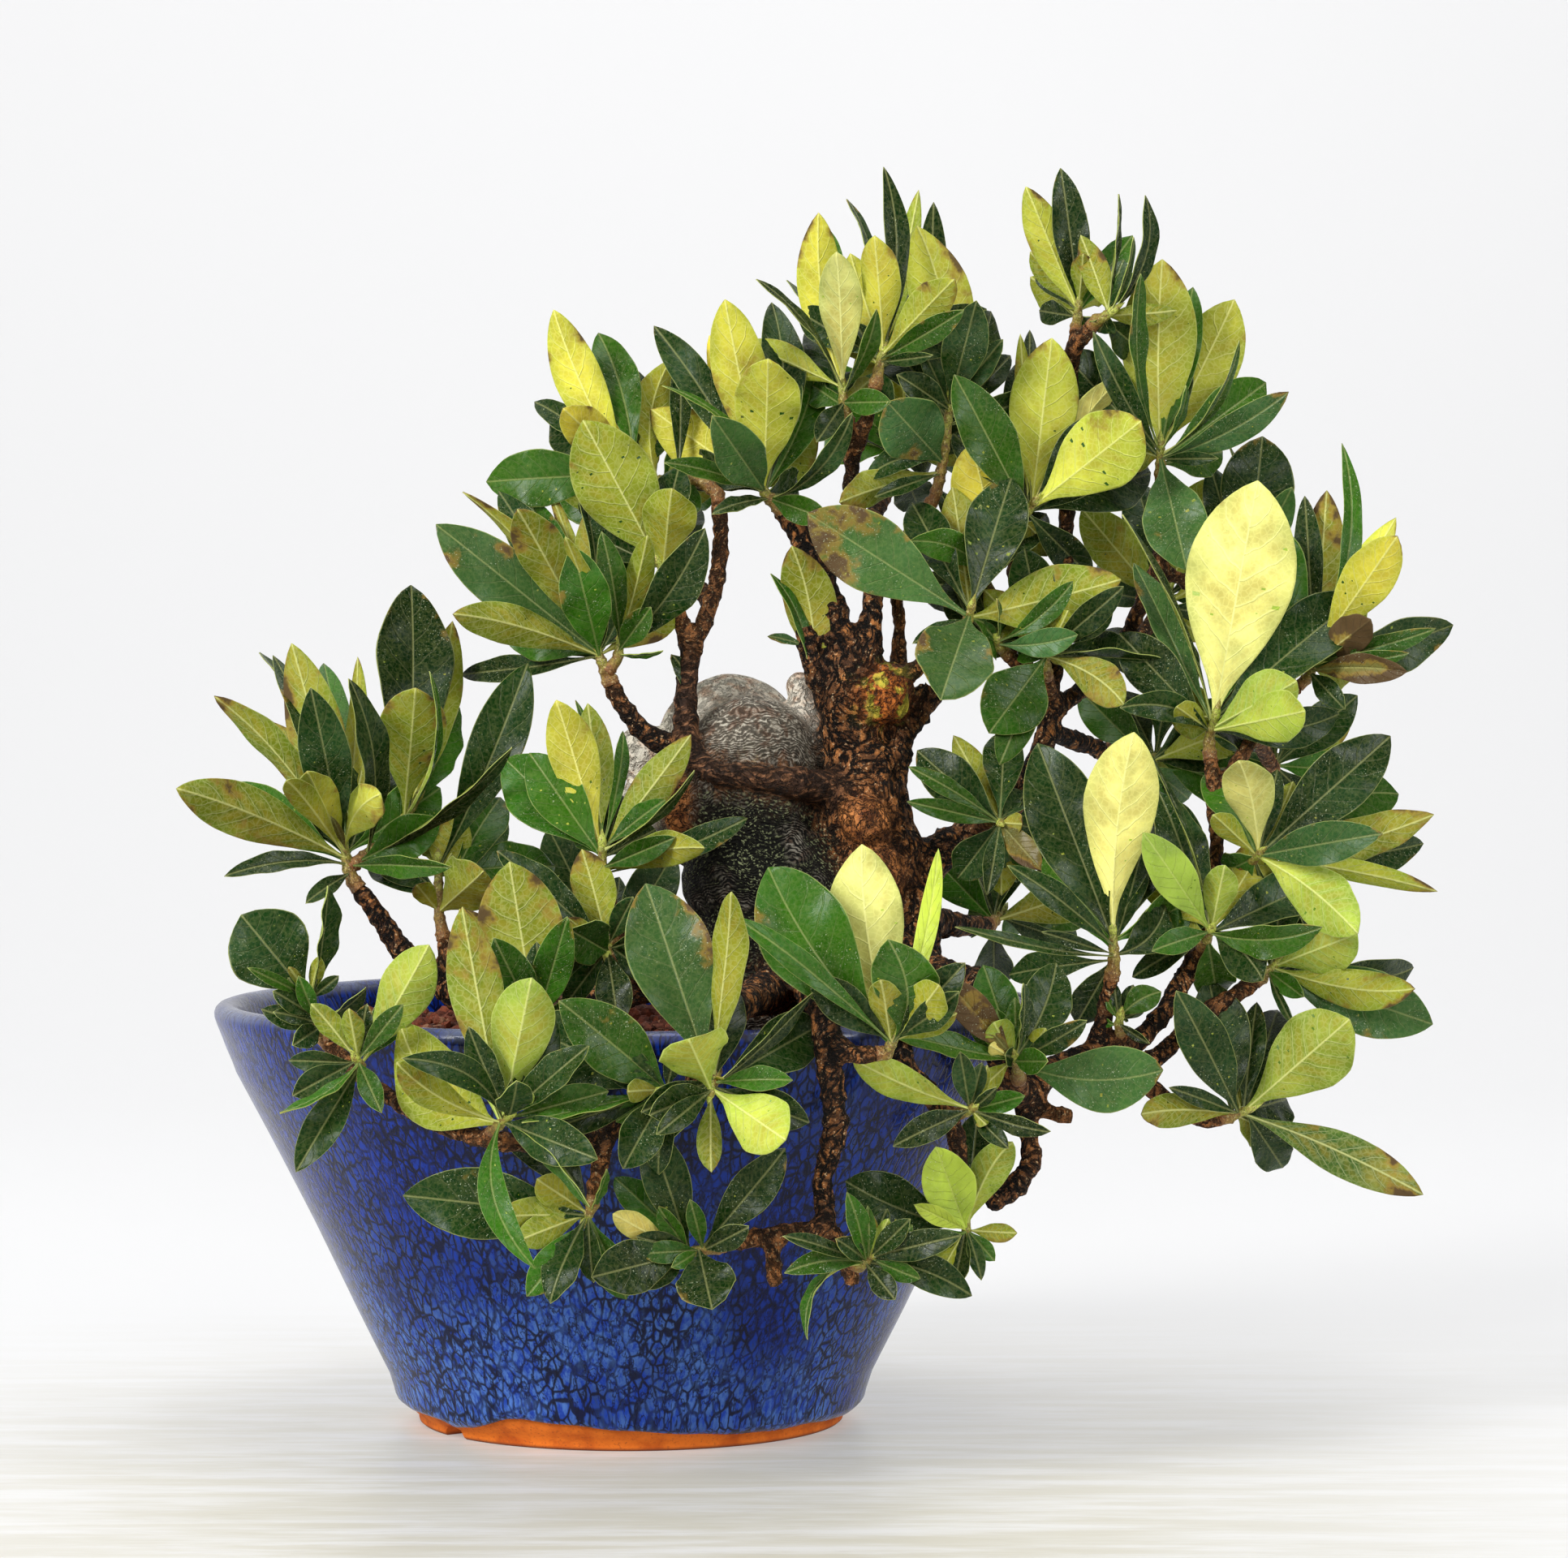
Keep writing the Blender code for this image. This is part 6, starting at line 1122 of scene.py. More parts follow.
# The small leaves of the same shoots, which fill in between the large ones
SMALL_LEAVES = {
    "far_left": [
        (405, 1062, 318, 885, 44, 160, -6, -14, "m"), (412, 1050, 340, 802, 36, 20, -16, 0, "d"),
        (424, 1046, 408, 1006, 10, 20, 24, 0, "r"), (435, 1075, 377, 1112, 24, 20, 20, 0, "d")],
    "left_inner": [
        (540, 1130, 512, 1088, 28, 170, 10, 0, "m")],
    "low_left_tip": [
        (380, 1226, 307, 1193, 15, 0, 24, 0, "g"), (380, 1230, 355, 1190, 11, 170, 24, 0, "m"),
        (393, 1262, 338, 1247, 20, 20, 10, 0, "d"), (394, 1268, 363, 1287, 28, 0, 30, 0, "d"),
        (393, 1260, 452, 1222, 26, 60, 10, 0, "d")],
    "low_left_middle": [
        (442, 1310, 430, 1243, 26, 170, 8, 0, "m")],
    "bright_pair": [
        (620, 1382, 630, 1330, 14, 20, 10, 0, "d"), (628, 1374, 657, 1347, 16, 170, 10, 0, "l")],
    "front_left_end": [
        (728, 1490, 747, 1440, 18, 60, 4, 0, "g")],
    "front_low_middle": [
        (866, 1538, 850, 1478, 22, 10, 10, 0, "g"), (868, 1540, 922, 1512, 30, 10, 10, 0, "d")],
    "front_low_right": [
        (1070, 1552, 1096, 1500, 16, 170, 4, 0, "l"), (1068, 1552, 1070, 1488, 16, 10, 4, 0, "g"),
        (1072, 1550, 1122, 1502, 26, 0, 4, 0, "d"), (1066, 1558, 1103, 1602, 28, 0, 14, 0, "d"),
        (1062, 1556, 967, 1522, 20, 20, 14, 0, "d")],
    "front_right_end": [
        (1190, 1516, 1127, 1485, 22, 0, 12, 0, "l")],
    "front_right_upper": [
        (1196, 1368, 1290, 1397, 24, 20, 8, 0, "d"), (1196, 1366, 1228, 1340, 16, 20, 10, 0, "d")],
    "long_rib": [
        (876, 1344, 812, 1396, 28, 0, 24, 0, "d")],
    "mid_left_group": [
        (750, 1170, 698, 1130, 22, 180, 8, 0, "m")],
    "brown_tip_group": [
        (1250, 1312, 1219, 1288, 22, 170, 20, 0, "b"), (1252, 1308, 1222, 1258, 38, 180, 16, 0, "l"),
        (1256, 1314, 1292, 1308, 32, 0, 30, 0, "g")],
    "dark_right_group": [
        (1230, 1008, 1238, 898, 52, 0, -22, 0, "d"), (1230, 1010, 1176, 908, 40, 170, -26, 0, "m"),
        (1232, 1014, 1262, 1016, 28, 180, 20, 0, "m"), (1230, 1014, 1218, 1100, 26, 0, 10, 0, "d")],
    "tall_bright_group": [
        (1373, 1184, 1240, 1200, 40, 10, -10, 0, "d"), (1374, 1180, 1326, 1262, 44, 0, -14, 0, "d"),
        (1372, 1176, 1283, 1148, 16, 0, 12, 0, "d")],
    "fork_leaf": [
        (1380, 1266, 1416, 1286, 12, 20, 12, 0, "d")],
    "right_side": [
        (1490, 1156, 1392, 1206, 30, 10, -6, 0, "d"),
        (1488, 1154, 1422, 1170, 32, 10, 8, 0, "g")],
    "right_head": [
        (1548, 1060, 1756, 1040, 52, 0, -20, -8, "d"),
        (1544, 1058, 1492, 1000, 30, 180, 14, 0, "m")],
    "largest_leaf": [
        (1492, 900, 1352, 770, 56, 10, -26, 0, "d"),
        (1492, 904, 1447, 868, 34, 180, 14, 0, "m")],
    "far_right_group": [
        (1616, 830, 1655, 872, 30, 0, 14, 0, "d")],
    "dark_upper_group": [
        (1532, 714, 1518, 545, 14, 60, -14, 0, "d")],
    "upper_right_group": [
        (1431, 554, 1465, 478, 20, 60, 14, 0, "g"), (1432, 566, 1500, 565, 18, 0, 12, 0, "d")],
    "top_right_left": [
        (1330, 384, 1342, 262, 14, 70, -10, 6, "d"),
        (1331, 380, 1335, 310, 30, 170, 8, 0, "m")],
    "top_right_right": [
        (1366, 386, 1398, 293, 14, 60, 6, 0, "d")],
    "round_pale_group": [
        (1168, 520, 1245, 438, 34, 0, -20, 0, "d"), (1170, 500, 1150, 250, 40, 10, -16, 10, "d"),
        (1170, 500, 1135, 425, 24, 0, 0, 0, "d"), (1160, 585, 1078, 612, 20, 10, 14, 0, "d")],
    "yellow_leaf_group": [
        (1213, 712, 1222, 660, 38, 0, 12, 0, "g"), (1212, 712, 1172, 655, 18, 0, 12, 0, "g")],
    "patched_group": [
        (1191, 766, 1125, 792, 20, 20, 8, 0, "d")],
    "right_low_lower_group": [
        (1526, 1374, 1440, 1340, 22, 10, 8, 0, "d")],
    "right_low_upper_group": [
        (1566, 1194, 1750, 1196, 52, 10, -20, -10, "d"),
        (1564, 1198, 1605, 1228, 26, 0, 14, 0, "g"), (1562, 1200, 1596, 1268, 12, 20, 8, 0, "d")],
    "grey_patch_group": [
        (1229, 790, 1208, 766, 18, 0, 10, 0, "g"), (1229, 790, 1230, 738, 12, 60, 10, 0, "g")],
    "centre_group": [
        (1042, 496, 1097, 495, 34, 0, 16, 0, "g"), (1038, 496, 1006, 545, 32, 0, 12, 0, "d")],
    "centre_right_group": [
        (1087, 446, 1149, 438, 18, 10, 16, 0, "d"), (1084, 446, 1054, 398, 24, 0, -4, 0, "d")],
    "centre_left_group": [
        (948, 612, 1022, 640, 36, 10, 4, 0, "g"),
        (950, 616, 878, 632, 26, 50, 14, 0, "d")],
    "left_rosette": [
        (740, 808, 562, 828, 34, 20, -10, 8, "d"),
        (765, 802, 802, 748, 34, 0, 14, 0, "g"), (764, 806, 817, 803, 12, 60, 10, 0, "g")],
    "large_under_group": [
        (1268, 636, 1426, 582, 66, 0, -18, 0, "d"), (1264, 634, 1345, 712, 44, 0, -14, 0, "d")],
    "right_middle": [
        (1290, 806, 1392, 800, 48, 0, -22, 0, "d")],
}
# Shoots on the far side, as (how many leaves, length of the longest in mm)
BACK_SHOOTS = {
    "back_low_left": (6, 42), "back_low_middle": (5, 42), "back_low_right": (6, 42),
    "back_right": (6, 44), "back_upper_right": (7, 44), "back_top": (6, 44),
    "back_upper_left": (6, 42), "back_far_right": (5, 40),
}
# The leaf colours' letters: the side that the camera sees, the other side, and how blotched it is
# Letter b, the palest, partly stands for light shining through the leaf as painted glow; w is dark
# green greyed by painted sheen, with real patches.
LEAF_COLOURS = {
    "d": ((14, 45, 7), (122, 140, 38), 0.10), "g": ((46, 92, 12), (140, 158, 46), 0.10),
    "l": ((172, 194, 68), (106, 144, 40), 0.08), "b": ((250, 238, 134), (176, 196, 66), 0.10),
    "p": ((212, 210, 66), (46, 86, 24), 0.26), "y": ((240, 220, 66), (104, 124, 30), 0.30),
    "m": ((142, 150, 32), (30, 68, 20), 0.30), "r": ((116, 104, 50), (92, 92, 42), 0.56),
    "w": ((60, 98, 46), (110, 136, 56), 0.29),
}
# Single leaves that stand on old wood: the row of a leaf, with its root's `near` at the end
WOOD_LEAVES = {
    "centre_left_group": [
        (1004, 838, 976, 672, 66, 170, 4, -8, "m", 8), (998, 846, 952, 706, 22, 40, 0, -8, "g", 8),
        (992, 796, 946, 783, 13, 20, 0, 0, "w", 8)],
    "upper_left_group": [
        (846, 868, 828, 806, 24, 10, 0, -8, "d", 12), (850, 884, 836, 862, 12, 20, 10, 0, "g", 13)],
}
GAP = 0.3 * MM
BARE_TWIG = 5.3 * MM
TWIG_END = 1.1 * MM
BUD_RADIUS = 1.25 * MM
TIP_CLOSE = 0.15 * MM
BLADE = 0.8 * MM
THIN = 0.42 * MM
# How many rows of corners a blade has, by the length in mm that it stays under
LEAF_ROWS = [(24, 14), (46, 22), (1000, 30)]
TWIG_SIDES = 12
BUD_SIDES = 10
ARCH = 0.12
# Where a blade's columns of corners lie from edge to edge, and its half width along its length
COLUMNS = np.array([-1.0, -0.94, -0.62, -0.30, -0.07, 0.0, 0.07, 0.30, 0.62, 0.94, 1.0])
OUTLINE = [(0.00, 0.05), (0.05, 0.06), (0.10, 0.10), (0.16, 0.19), (0.23, 0.36), (0.30, 0.54),
           (0.38, 0.72), (0.47, 0.88), (0.56, 0.98), (0.64, 1.00), (0.72, 0.95), (0.80, 0.82),
           (0.86, 0.68), (0.91, 0.51), (0.95, 0.34), (0.98, 0.17), (1.00, 0.015)]
VEINS = 9.0
INNER_FRONT = 6
INNER_BACK = 8
STEEPEST = 50.0
LEAN_TRIALS = (0, -8, 8, -16, 16, -24, 24, -32, 32)
TURN_TRIALS = (0, -15, 15, -30, 30)
PLAIN = (0.0, 0.0, 0.0)


class Leaf:
    """One leaf: where it is rooted, the sight line that holds its tip, and its form."""

    def __init__(self, root, aim, width, turn, lean, bow, colour):
        self.root, self.aim, self.width = root, aim, width
        self.turn, self.lean, self.bow = turn, lean, bow
        self.colour = colour
        self.reach = (aim - root).length

    def axes(self, lean, turn):
        """Its tip, and the ways along it, to the camera's left, out of its face and across it."""
        depth = self.root.y - self.reach * math.tan(math.radians(lean))
        tip = EYE + (self.aim - EYE) * ((depth - EYE.y) / (self.aim.y - EYE.y))
        along = (tip - self.root).normalized()
        view = (EYE - (tip + self.root) / 2).normalized()
        left = view.cross(along).normalized()
        face = Matrix.Rotation(math.radians(turn), 3, along) @ along.cross(left)
        return tip, along, left, face, face.cross(along)

    def settle(self, corners):
        """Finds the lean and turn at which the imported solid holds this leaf, by its tip."""
        best = (TIP_CLOSE, self.lean, self.turn)
        for more in LEAN_TRIALS:
            for twist in TURN_TRIALS:
                tip, along, left, face, side = self.axes(self.lean + more, self.turn + twist)
                half = face * BLADE / 2
                off = corners.find(tip + half)[2] + corners.find(tip - half)[2]
                if off < best[0]:
                    best = (off, self.lean + more, self.turn + twist)
        self.lean, self.turn = best[1:]


class Pieces:
    """Points, faces and readings gathered for one mesh."""

    def __init__(self):
        self.points, self.faces, self.slots = [], [], []
        self.place, self.kind, self.tone = [], [], []
        self.count = 0

    def add(self, points, faces, slot, place, kind, tone):
        self.faces += [tuple(self.count + corner for corner in face) for face in faces]
        self.slots += [slot] * len(faces)
        for kept, rows in ((self.points, points), (self.place, place), (self.kind, kind),
                           (self.tone, tone)):
            kept.append(np.broadcast_to(rows, (len(points), 3)))
        self.count += len(points)

    def mesh(self, name, finishes):
        made = bpy.data.meshes.new(name)
        made.from_pydata(np.concatenate(self.points), [], self.faces)
        made.polygons.foreach_set("material_index", self.slots)
        for reading in ("place", "kind", "tone"):
            keep_reading(made, reading, np.concatenate(getattr(self, reading)))
        for finish in finishes:
            made.materials.append(finish)
        made.shade_smooth()
        return made


def blade_faces(rows, columns):
    """Faces of a thin closed sheet: its upper grid, its under grid and the rim between."""
    low = rows * columns
    grid = np.arange(low).reshape(rows, columns)
    under = grid + low
    faces = []
    for row in range(rows - 1):
        for column in range(columns - 1):
            a, b = grid[row, column], grid[row + 1, column]
            c, d = grid[row + 1, column + 1], grid[row, column + 1]
            faces.append((a, b, c, d))
            faces.append((d + low, c + low, b + low, a + low))
        faces.append((grid[row, 0], under[row, 0], under[row + 1, 0], grid[row + 1, 0]))
        faces.append((grid[row, -1], grid[row + 1, -1], under[row + 1, -1], under[row, -1]))
    for column in range(columns - 1):
        beside = column + 1
        faces.append((grid[-1, column], under[-1, column], under[-1, beside], grid[-1, beside]))
        faces.append((grid[0, column], grid[0, beside], under[0, beside], under[0, column]))
    return faces


def leaf_blade(leaf, draw):
    """A blade's corners, the place of each on the leaf and the leaf's seed. It has a stalk, folded
    halves, a rippled margin and quilting between the side veins."""
    tip, along, left, face, side = [np.array(way) for way in leaf.axes(leaf.lean, leaf.turn)]
    root = np.array(leaf.root)
    length = np.linalg.norm(tip - root)
    rows = next(rows for under, rows in LEAF_ROWS if length < under * MM)
    share, across = np.meshgrid(np.linspace(0.0, 1.0, rows), COLUMNS, indexing='ij')
    peak = draw.uniform(0.86, 1.14)
    outline = np.interp(share ** peak, [row[0] for row in OUTLINE], [row[1] for row in OUTLINE])
    half = leaf.width / 2 * outline
    hump = share * (1.0 - share)
    twist = math.radians(draw.uniform(-20.0, 20.0)) * (share - 0.35)
    fold = math.tan(math.radians(draw.uniform(10.0, 34.0)))
    curl = draw.uniform(-0.02, 0.09) * length * np.clip(share - 0.55, 0.0, 1.0) ** 2 * 4.0
    waves = draw.uniform(2.0, 3.6)
    phase = draw.uniform(0.0, 6.28)
    seed = draw.random()
    out = np.abs(across)
    rib = (share - 0.13 * out - 0.05 * across ** 2) * VEINS + seed * 7.0 + 0.4 * (across > 0)
    quilt = -np.cos(2.0 * math.pi * rib) * out * (1.0 - out) * 4.0
    blade = np.clip((share - 0.14) / 0.15, 0.0, 1.0)
    lift = half * fold * (out ** 1.15 - 0.45) * (1.0 - 0.5 * share) - curl
    lift += blade * half * 0.13 * np.sin(waves * 6.28 * share + phase + 1.3 * across) * across ** 2
    lift += blade * quilt * min(0.34 * MM, 0.010 * length) * (1.0 - share ** 4)
    thick = THIN * (1.0 - 0.45 * across ** 6) + 0.9 * MM * np.exp(-(share / 0.075) ** 2)
    spine = np.exp(-(across / 0.08) ** 2) * (1.0 - 0.8 * share) * blade
    middle = (root + along * (share * length)[..., None] + left * (4.0 * leaf.bow * hump)[..., None]
              + face * (2.0 * ARCH * length * hump)[..., None])
    cos, sin = np.cos(twist)[..., None], np.sin(twist)[..., None]
    sideways = side * cos + face * sin
    upright = face * cos - side * sin
    sheet = middle + sideways * (across * half)[..., None] + upright * lift[..., None]
    upper = sheet + upright * (thick / 2 - 0.25 * MM * spine)[..., None]
    under = sheet - upright * (thick / 2 + 0.35 * MM * spine)[..., None]
    points = np.concatenate([upper.reshape(-1, 3), under.reshape(-1, 3)])
    return points, np.stack([share, across, out * half / MM], axis=2).reshape(-1, 3), seed


def add_leaf(pieces, leaf, draw):
    """Adds a leaf's blade, coloured on each of its two sides."""
    points, place, seed = leaf_blade(leaf, draw)
    shown, hidden, blotches = LEAF_COLOURS[leaf.colour]
    turned_over = math.cos(math.radians(leaf.turn)) < 0.0
    tones = (hidden, shown) if turned_over else (shown, hidden)
    light = draw.uniform(0.66, 1.30)
    warm = draw.uniform(-0.12, 0.08)
    kind, tone = [], []
    for below, shade in enumerate(tones):
        colour = np.array(linear(*shade)[:3]) * light * np.array((1.0 + warm, 1.0, 1.0 - warm))
        tone.append(np.broadcast_to(colour, (len(place), 3)))
        blotched = blotches * draw.uniform(0.5, 1.2)
        kind.append(np.broadcast_to((seed, blotched, below), (len(place), 3)))
    faces = blade_faces(len(place) // len(COLUMNS), len(COLUMNS))
    pieces.add(points, faces, 0, np.concatenate([place, place]), np.concatenate(kind),
               np.concatenate(tone))


def leaf_finish():
    finish, place = new_finish("gardenia_leaf", {"Specular IOR Level": 0.17, "IOR": 1.45})
    tone = place.kept("tone", "Color")
    share, across, away = place.kept("place").parts()
    seed, blotched, below = place.kept("kind").parts()
    above = 1.0 - below
    out = across.size()
    ribs = (share - 0.13 * out - 0.05 * out * out) * VEINS + seed * 7.0 + 0.4 * across.over(0.0)
    wobble = place.cloud(260.0, 2.0, 0.5)
    from_rib = ((ribs + 0.35 * wobble).fraction() - 0.5).size()
    side_vein = from_rib.step(0.435, 0.490) * out.fade(0.70, 0.96) * share.step(0.06, 0.16)
    midrib = away.fade(0.10, 0.42)
    netting = place.cells(620.0, 'DISTANCE_TO_EDGE').fade(0.02, 0.14)
    broad = place.cloud(52.0, 3.0, 0.5)
    blot = place.cloud(85.0, 4.0, 0.6)
    fine = place.cloud(900.0, 3.0, 0.6)
    dusty = place.cloud(2400.0, 2.0, 0.5)

    skin = tone.to(blot.step(0.40, 0.68) * 0.55, tone.to(0.55, linear(12, 30, 10)))
    # Warm pale patches on the undersides: partly stains, partly painted glow of light through the
    # leaf.
    skin = skin.to(below * broad.step(0.46, 0.66) * 0.22, linear(224, 196, 84))
    skin = skin.to(below * broad.fade(0.36, 0.54) * 0.55, tone.to(0.6, linear(60, 92, 14)))
    skin = skin.to(below * out.step(0.40, 0.98) * 0.42, tone.to(0.75, linear(88, 122, 20)))
    # Greyish green patches on the upper faces are painted sheen.
    skin = skin.to(above * broad.step(0.50, 0.68) * 0.22, linear(68, 104, 62))
    skin = skin.to(fine.step(0.40, 0.70) * (0.06 + 0.12 * below), linear(190, 196, 110))
    pale_vein = tone.to(0.45, linear(238, 238, 170))
    # Darker yellow between the veins below: partly mottling, partly painted shade in the quilted
    # hollows.
    panel_mottle_and_shade = from_rib.fade(0.10, 0.46) * below * out.fade(0.5, 1.0)
    skin = skin.to(panel_mottle_and_shade * blot.step(0.36, 0.60) * 0.30, linear(176, 150, 44))
    skin = skin.to(netting * (0.05 + 0.20 * below), pale_vein)
    skin = skin.to(side_vein * (0.10 + 0.50 * below), pale_vein)
    skin = skin.to(midrib * (0.26 + 0.59 * below), tone.to(0.62, linear(236, 236, 156)))
    skin = skin.to(out.step(0.960, 0.998) * 0.40, linear(204, 210, 126))
    ill = blot + 0.22 * share + 0.18 * out + 0.72 * blotched
    skin = skin.to(ill.step(1.02, 1.12) * 0.65, linear(150, 118, 50))
    skin = skin.to(ill.step(1.10, 1.18) * 0.85, linear(78, 58, 44))
    speck = dusty.step(0.64, 0.71) * above * blot.step(0.44, 0.60)
    skin = skin.to(speck * 0.55, linear(206, 216, 180))
    relief = (side_vein + midrib * 0.8) * (2.0 * below - 1.0) * 0.7 + 0.45 * fine
    wear(finish, {"Base Color": skin,
                  "Roughness": 0.18 + 0.30 * below + 0.20 * fine + 0.2 * ill.step(1.05, 1.15),
                  "Normal": relief.bump(0.18)})
    return finish


def twig_finish():
    finish, place = new_finish("green_twig", {"Specular IOR Level": 0.4})
    tone = place.kept("tone", "Color")
    scar = place.cloud(420.0, 3.0, 0.6)
    grain = place.cloud(1300.0, 3.0, 0.6)
    crack = (place.cloud(700.0, 3.0, 0.6) - 0.5).size()
    skin = tone.to(scar.step(0.44, 0.62) * 0.65, linear(122, 76, 40))
    skin = skin.to(grain.step(0.56, 0.66) * 0.6, linear(226, 206, 150))
    skin = skin.to(crack.fade(0.006, 0.040) * 0.7, linear(58, 38, 24))
    wear(finish, {"Base Color": skin, "Roughness": 0.45 + 0.2 * grain,
                  "Normal": (scar + grain + crack * 2.0).bump(0.25)})
    return finish


def nearest_on(path, point, skip):
    """The nearest point of a path to a point, at least `skip` along from the path's start."""
    best = None
    walked = 0.0
    for first, second in zip(path, path[1:]):
        step = second - first
        length = step.length
        low = min(1.0, max(0.0, (skip - walked) / length))
        walked += length
        if low >= 1.0:
            continue
        share = min(1.0, max(low, (point - first).dot(step) / length ** 2))
        place = first + step * share
        if best is None or (place - point).length < (best - point).length:
            best = place
    return best


def branch_end(branch):
    """The middle of a branch's flat end, and the way that it faces."""
    before, end = [seen(x, y, near) for x, y, near, radius in BRANCHES[branch][-2:]]
    return end, (end - before).normalized()


def twig_paths(branch, readings):
    """The shoot's green twigs. The first leaves the branch's flat end square on."""
    end, ahead = branch_end(branch)
    paths = []
    for number, reading in enumerate(readings):
        path = [seen(x, y, near) for x, y, near in reading]
        if number == 0:
            path = [end - ahead * 1.0 * MM, end + ahead * 2.0 * MM] + path
        paths.append(path)
    return paths


def near_of(place):
    """How far a point is in front of the pot's axis, in mm."""
    return (POT_Y - place.y) / MM


def front_leaves(paths, readings, longest):
    """Leaves rooted at the nearest point of the twigs. One that looks short beside the shoot's
    longest leaf points more towards the camera or away."""
    leaves = []
    near = near_of(paths[0][-1])
    skips = [BARE_TWIG - GAP] + [1.0 * MM] * (len(paths) - 1)
    for number, (base_x, base_y, tip_x, tip_y, width, turn, lean, bow, colour) in enumerate(readings):
        base = seen(base_x, base_y, near)
        roots = [nearest_on(path, base, skip) for path, skip in zip(paths, skips)]
        root = min(roots, key=lambda place: (place - base).length).copy()
        aim = seen(tip_x, tip_y, near_of(root))
        root -= (aim - root).normalized() * (0.30 + 0.08 * (number % 4)) * MM
        looks = min(1.0, math.hypot(tip_x - base_x, tip_y - base_y) / longest)
        more = min(24.0, 0.5 * math.degrees(math.acos(looks)))
        sign = lean if lean else 1 - 2 * (number % 2)
        lean += math.copysign(more, sign)
        leaves.append(Leaf(root, aim, width * PIXEL, turn, lean, bow * PIXEL, colour))
    return leaves


def wood_leaves(readings):
    leaves = []
    for base_x, base_y, tip_x, tip_y, width, turn, lean, bow, colour, near in readings:
        root = seen(base_x, base_y, near)
        aim = seen(tip_x, tip_y, near)
        leaves.append(Leaf(root, aim, width * PIXEL, turn, lean, bow * PIXEL, colour))
    return leaves


def back_path(branch):
    """A far-side shoot's twig: on from the branch's end, curving upwards."""
    end, ahead = branch_end(branch)
    upwards = (ahead + Vector((0.0, 0.0, 0.5))).normalized()
    bend = end + ahead * 4.0 * MM
    return [end + ahead * GAP, bend, bend + upwards * 10.0 * MM]


def spread_way(path, around, tilt):
    """The way of a leaf that tilts off the end of a twig, by its angle around the twig."""
    ahead = (path[-1] - path[-2]).normalized()
    across = ahead.cross(Vector((1.0, 0.2, 0.1))).normalized()
    out = Matrix.Rotation(around, 3, ahead) @ across
    return ahead * math.cos(tilt) + out * math.sin(tilt)


def free_leaf(root, tip, width, turn, colour):
    """A leaf between two points, which no sight line holds."""
    flat = math.hypot(tip.x - root.x, tip.z - root.z)
    lean = math.degrees(math.atan2(root.y - tip.y, flat))
    leaf = Leaf(root, tip, width, turn, max(-STEEPEST, min(STEEPEST, lean)), 0.0, colour)
    leaf.reach = flat
    return leaf


def back_leaves(shoot, path, count, longest):
    """Whorls of three leaves, each whorl turned on from the last and the upper ones steeper."""
    draw = random.Random(shoot)
    ahead = (path[-1] - path[-2]).normalized()
    leaves = []
    for number in range(count):
        whorl = number // 3
        height = 0.25 + 0.34 * whorl
        around = math.radians(120.0 * number + 55.0 * whorl + draw.uniform(-14.0, 14.0))
        tilt = math.radians(66.0 - 18.0 * whorl + draw.uniform(-6.0, 6.0))
        length = longest * MM * (0.88 - 0.10 * abs(whorl - 1) + draw.uniform(-0.08, 0.12))
        way = spread_way(path, around, tilt)
        root = path[-2].lerp(path[-1], min(0.95, height)) + ahead * 0.1 * MM * (number % 3)
        turn = 180.0 if way.z > 0.3 and way.y < 0.0 else 0.0
        colour = "m" if turn else "dg"[number % 2]
        leaves.append(free_leaf(root, root + way * length, length * 0.40, turn, colour))
    return leaves


def inner_leaves(name, path, count, longest):
    """Older, darker leaves of a shoot, set round its twig below and between the others."""
    draw = random.Random(name + " inner")
    before_pot = POT_Y - path[-1].y > 0.060
    leaves = []
    for number in range(count):
        around = math.radians(137.5 * number + draw.uniform(-20.0, 20.0))
        tilt = math.radians(draw.uniform(34.0, 84.0))
        length = longest * (draw.uniform(0.30, 0.50) if before_pot else draw.uniform(0.50, 0.85))
        way = spread_way(path, around, tilt)
        way.y = -abs(way.y) * 0.5 if before_pot else abs(way.y) + 0.15
        way.normalize()
        root = path[-2].lerp(path[-1], draw.uniform(0.0, 0.95))
        turn = draw.choice((0.0, 0.0, 20.0, -20.0, 170.0))
        colour = "m" if turn > 90.0 else draw.choice("ddg")
        width = length * draw.uniform(0.30, 0.42)
        leaves.append(free_leaf(root, root + way * length, width, turn, colour))
    return leaves


def add_twig(pieces, path, first_radius, draw):
    """A young twig with a ring at each joint, brown where it leaves the branch, and its bud."""
    line, radii, places = even_line(path, np.linspace(first_radius, TWIG_END, len(path)), 0.6 * MM)
    swell = np.ones(len(places))
    at = draw.uniform(1.5, 3.0) * MM
    while at < places[-1]:
        swell += 0.22 * np.exp(-((places - at) / (0.5 * MM)) ** 2)
        at += draw.uniform(2.5, 4.5) * MM
    points, faces = tube(line, radii * swell, TWIG_SIDES)
    share = np.repeat(places / places[-1], TWIG_SIDES)[:, None]
    old = np.array(linear(146, 96, 52)[:3])
    green = np.array(linear(150, 160, 62)[:3])
    pieces.add(points, faces, 1, PLAIN, PLAIN, old + (green - old) * share)
    add_bud(pieces, line[-1], line[-1] - line[-3], draw.uniform(4.0, 6.5) * MM, BUD_RADIUS)


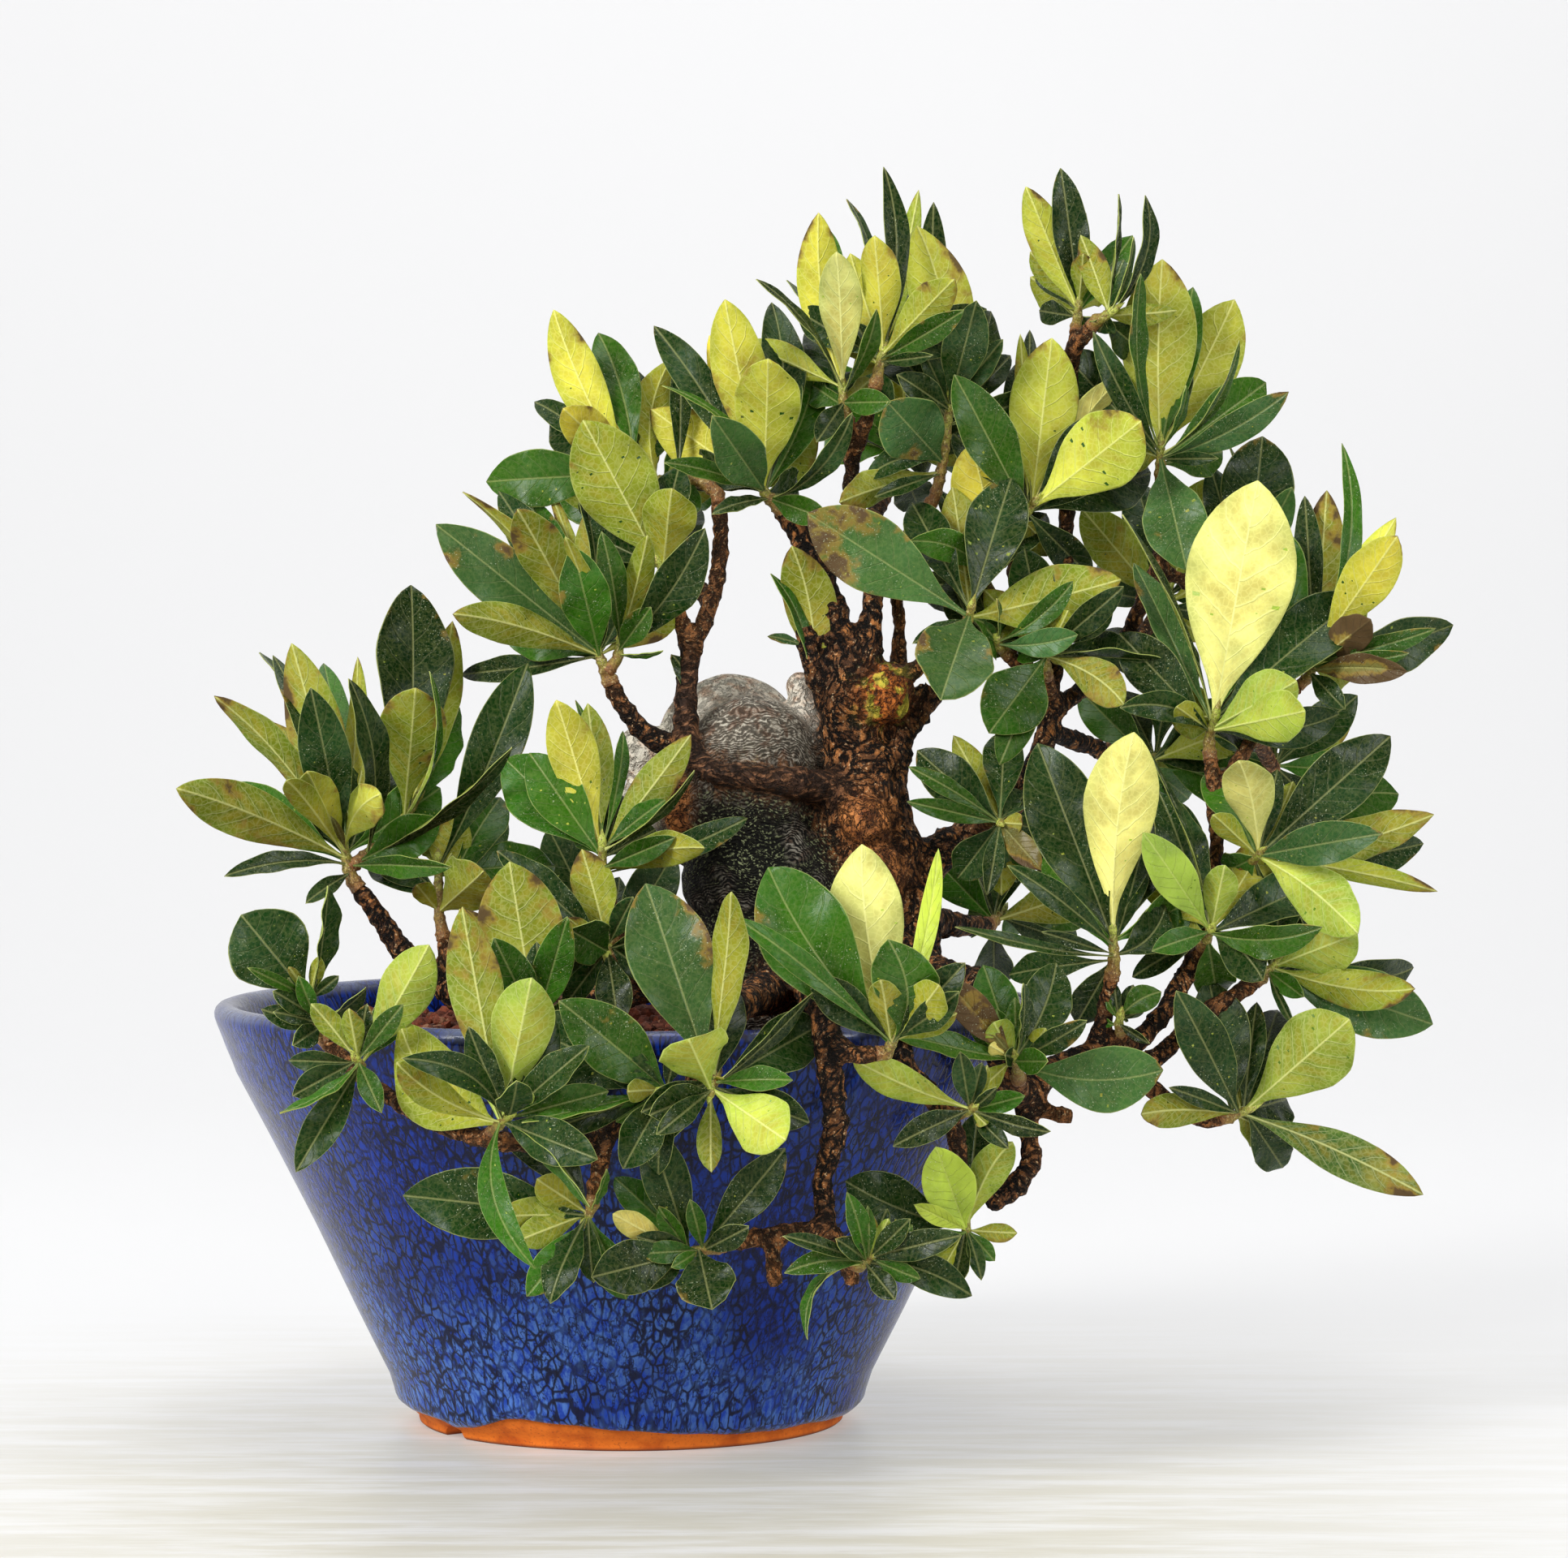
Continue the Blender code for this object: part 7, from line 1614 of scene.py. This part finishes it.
def add_bud(pieces, foot, ahead, length, radius):
    """The pointed bud at a twig's end, wrapped in its sheath."""
    ahead = ahead / np.linalg.norm(ahead)
    shares = np.linspace(0.0, 1.0, 10)
    line = foot + ahead * ((shares - 0.12) * length)[:, None]
    girth = radius * np.interp(shares, [0.0, 0.2, 0.45, 0.8, 1.0], [0.75, 1.05, 0.9, 0.35, 0.05])
    points, faces = tube(line, girth, BUD_SIDES)
    pieces.add(points, faces, 1, PLAIN, PLAIN, linear(186, 196, 84)[:3])


def packed_corners(node):
    """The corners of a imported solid, ready to be searched by place."""
    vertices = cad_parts[node].data.vertices
    corners = KDTree(len(vertices))
    for vertex in vertices:
        corners.insert(vertex.co, vertex.index)
    corners.balance()
    return corners


def make_shoot(name, branch, paths, leaves, extra, finishes):
    draw = random.Random(name)
    pieces = Pieces()
    radius = BRANCHES[branch][-1][3] * MM * 0.86
    for number, path in enumerate(paths):
        add_twig(pieces, path, radius * (0.8 if number else 1.0), draw)
    corners = packed_corners("spray_" + name)
    for leaf in leaves:
        leaf.settle(corners)
    for leaf in leaves + extra:
        add_leaf(pieces, leaf, draw)
    shoot = show("leaves_" + name, pieces.mesh("leaves_" + name, finishes))
    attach(shoot, "root")
    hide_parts("spray_" + name)


def make_shoots():
    finishes = [leaf_finish(), twig_finish()]
    for name, (branch, twigs, readings) in SHOOTS.items():
        paths = twig_paths(branch, twigs)
        longest = max(math.hypot(row[2] - row[0], row[3] - row[1]) for row in readings)
        leaves = front_leaves(paths, readings, longest)
        extra = front_leaves(paths, SMALL_LEAVES.get(name, []), longest)
        extra += wood_leaves(WOOD_LEAVES.get(name, []))
        extra += inner_leaves(name, paths[0], INNER_FRONT, longest * PIXEL)
        make_shoot(name, branch, paths, leaves, extra, finishes)
    for name, (count, longest) in BACK_SHOOTS.items():
        path = back_path(name)
        leaves = back_leaves(name, path, count, longest)
        extra = inner_leaves(name, path, INNER_BACK, longest * MM)
        make_shoot(name, name, [path], leaves, extra, finishes)


make_shoots()
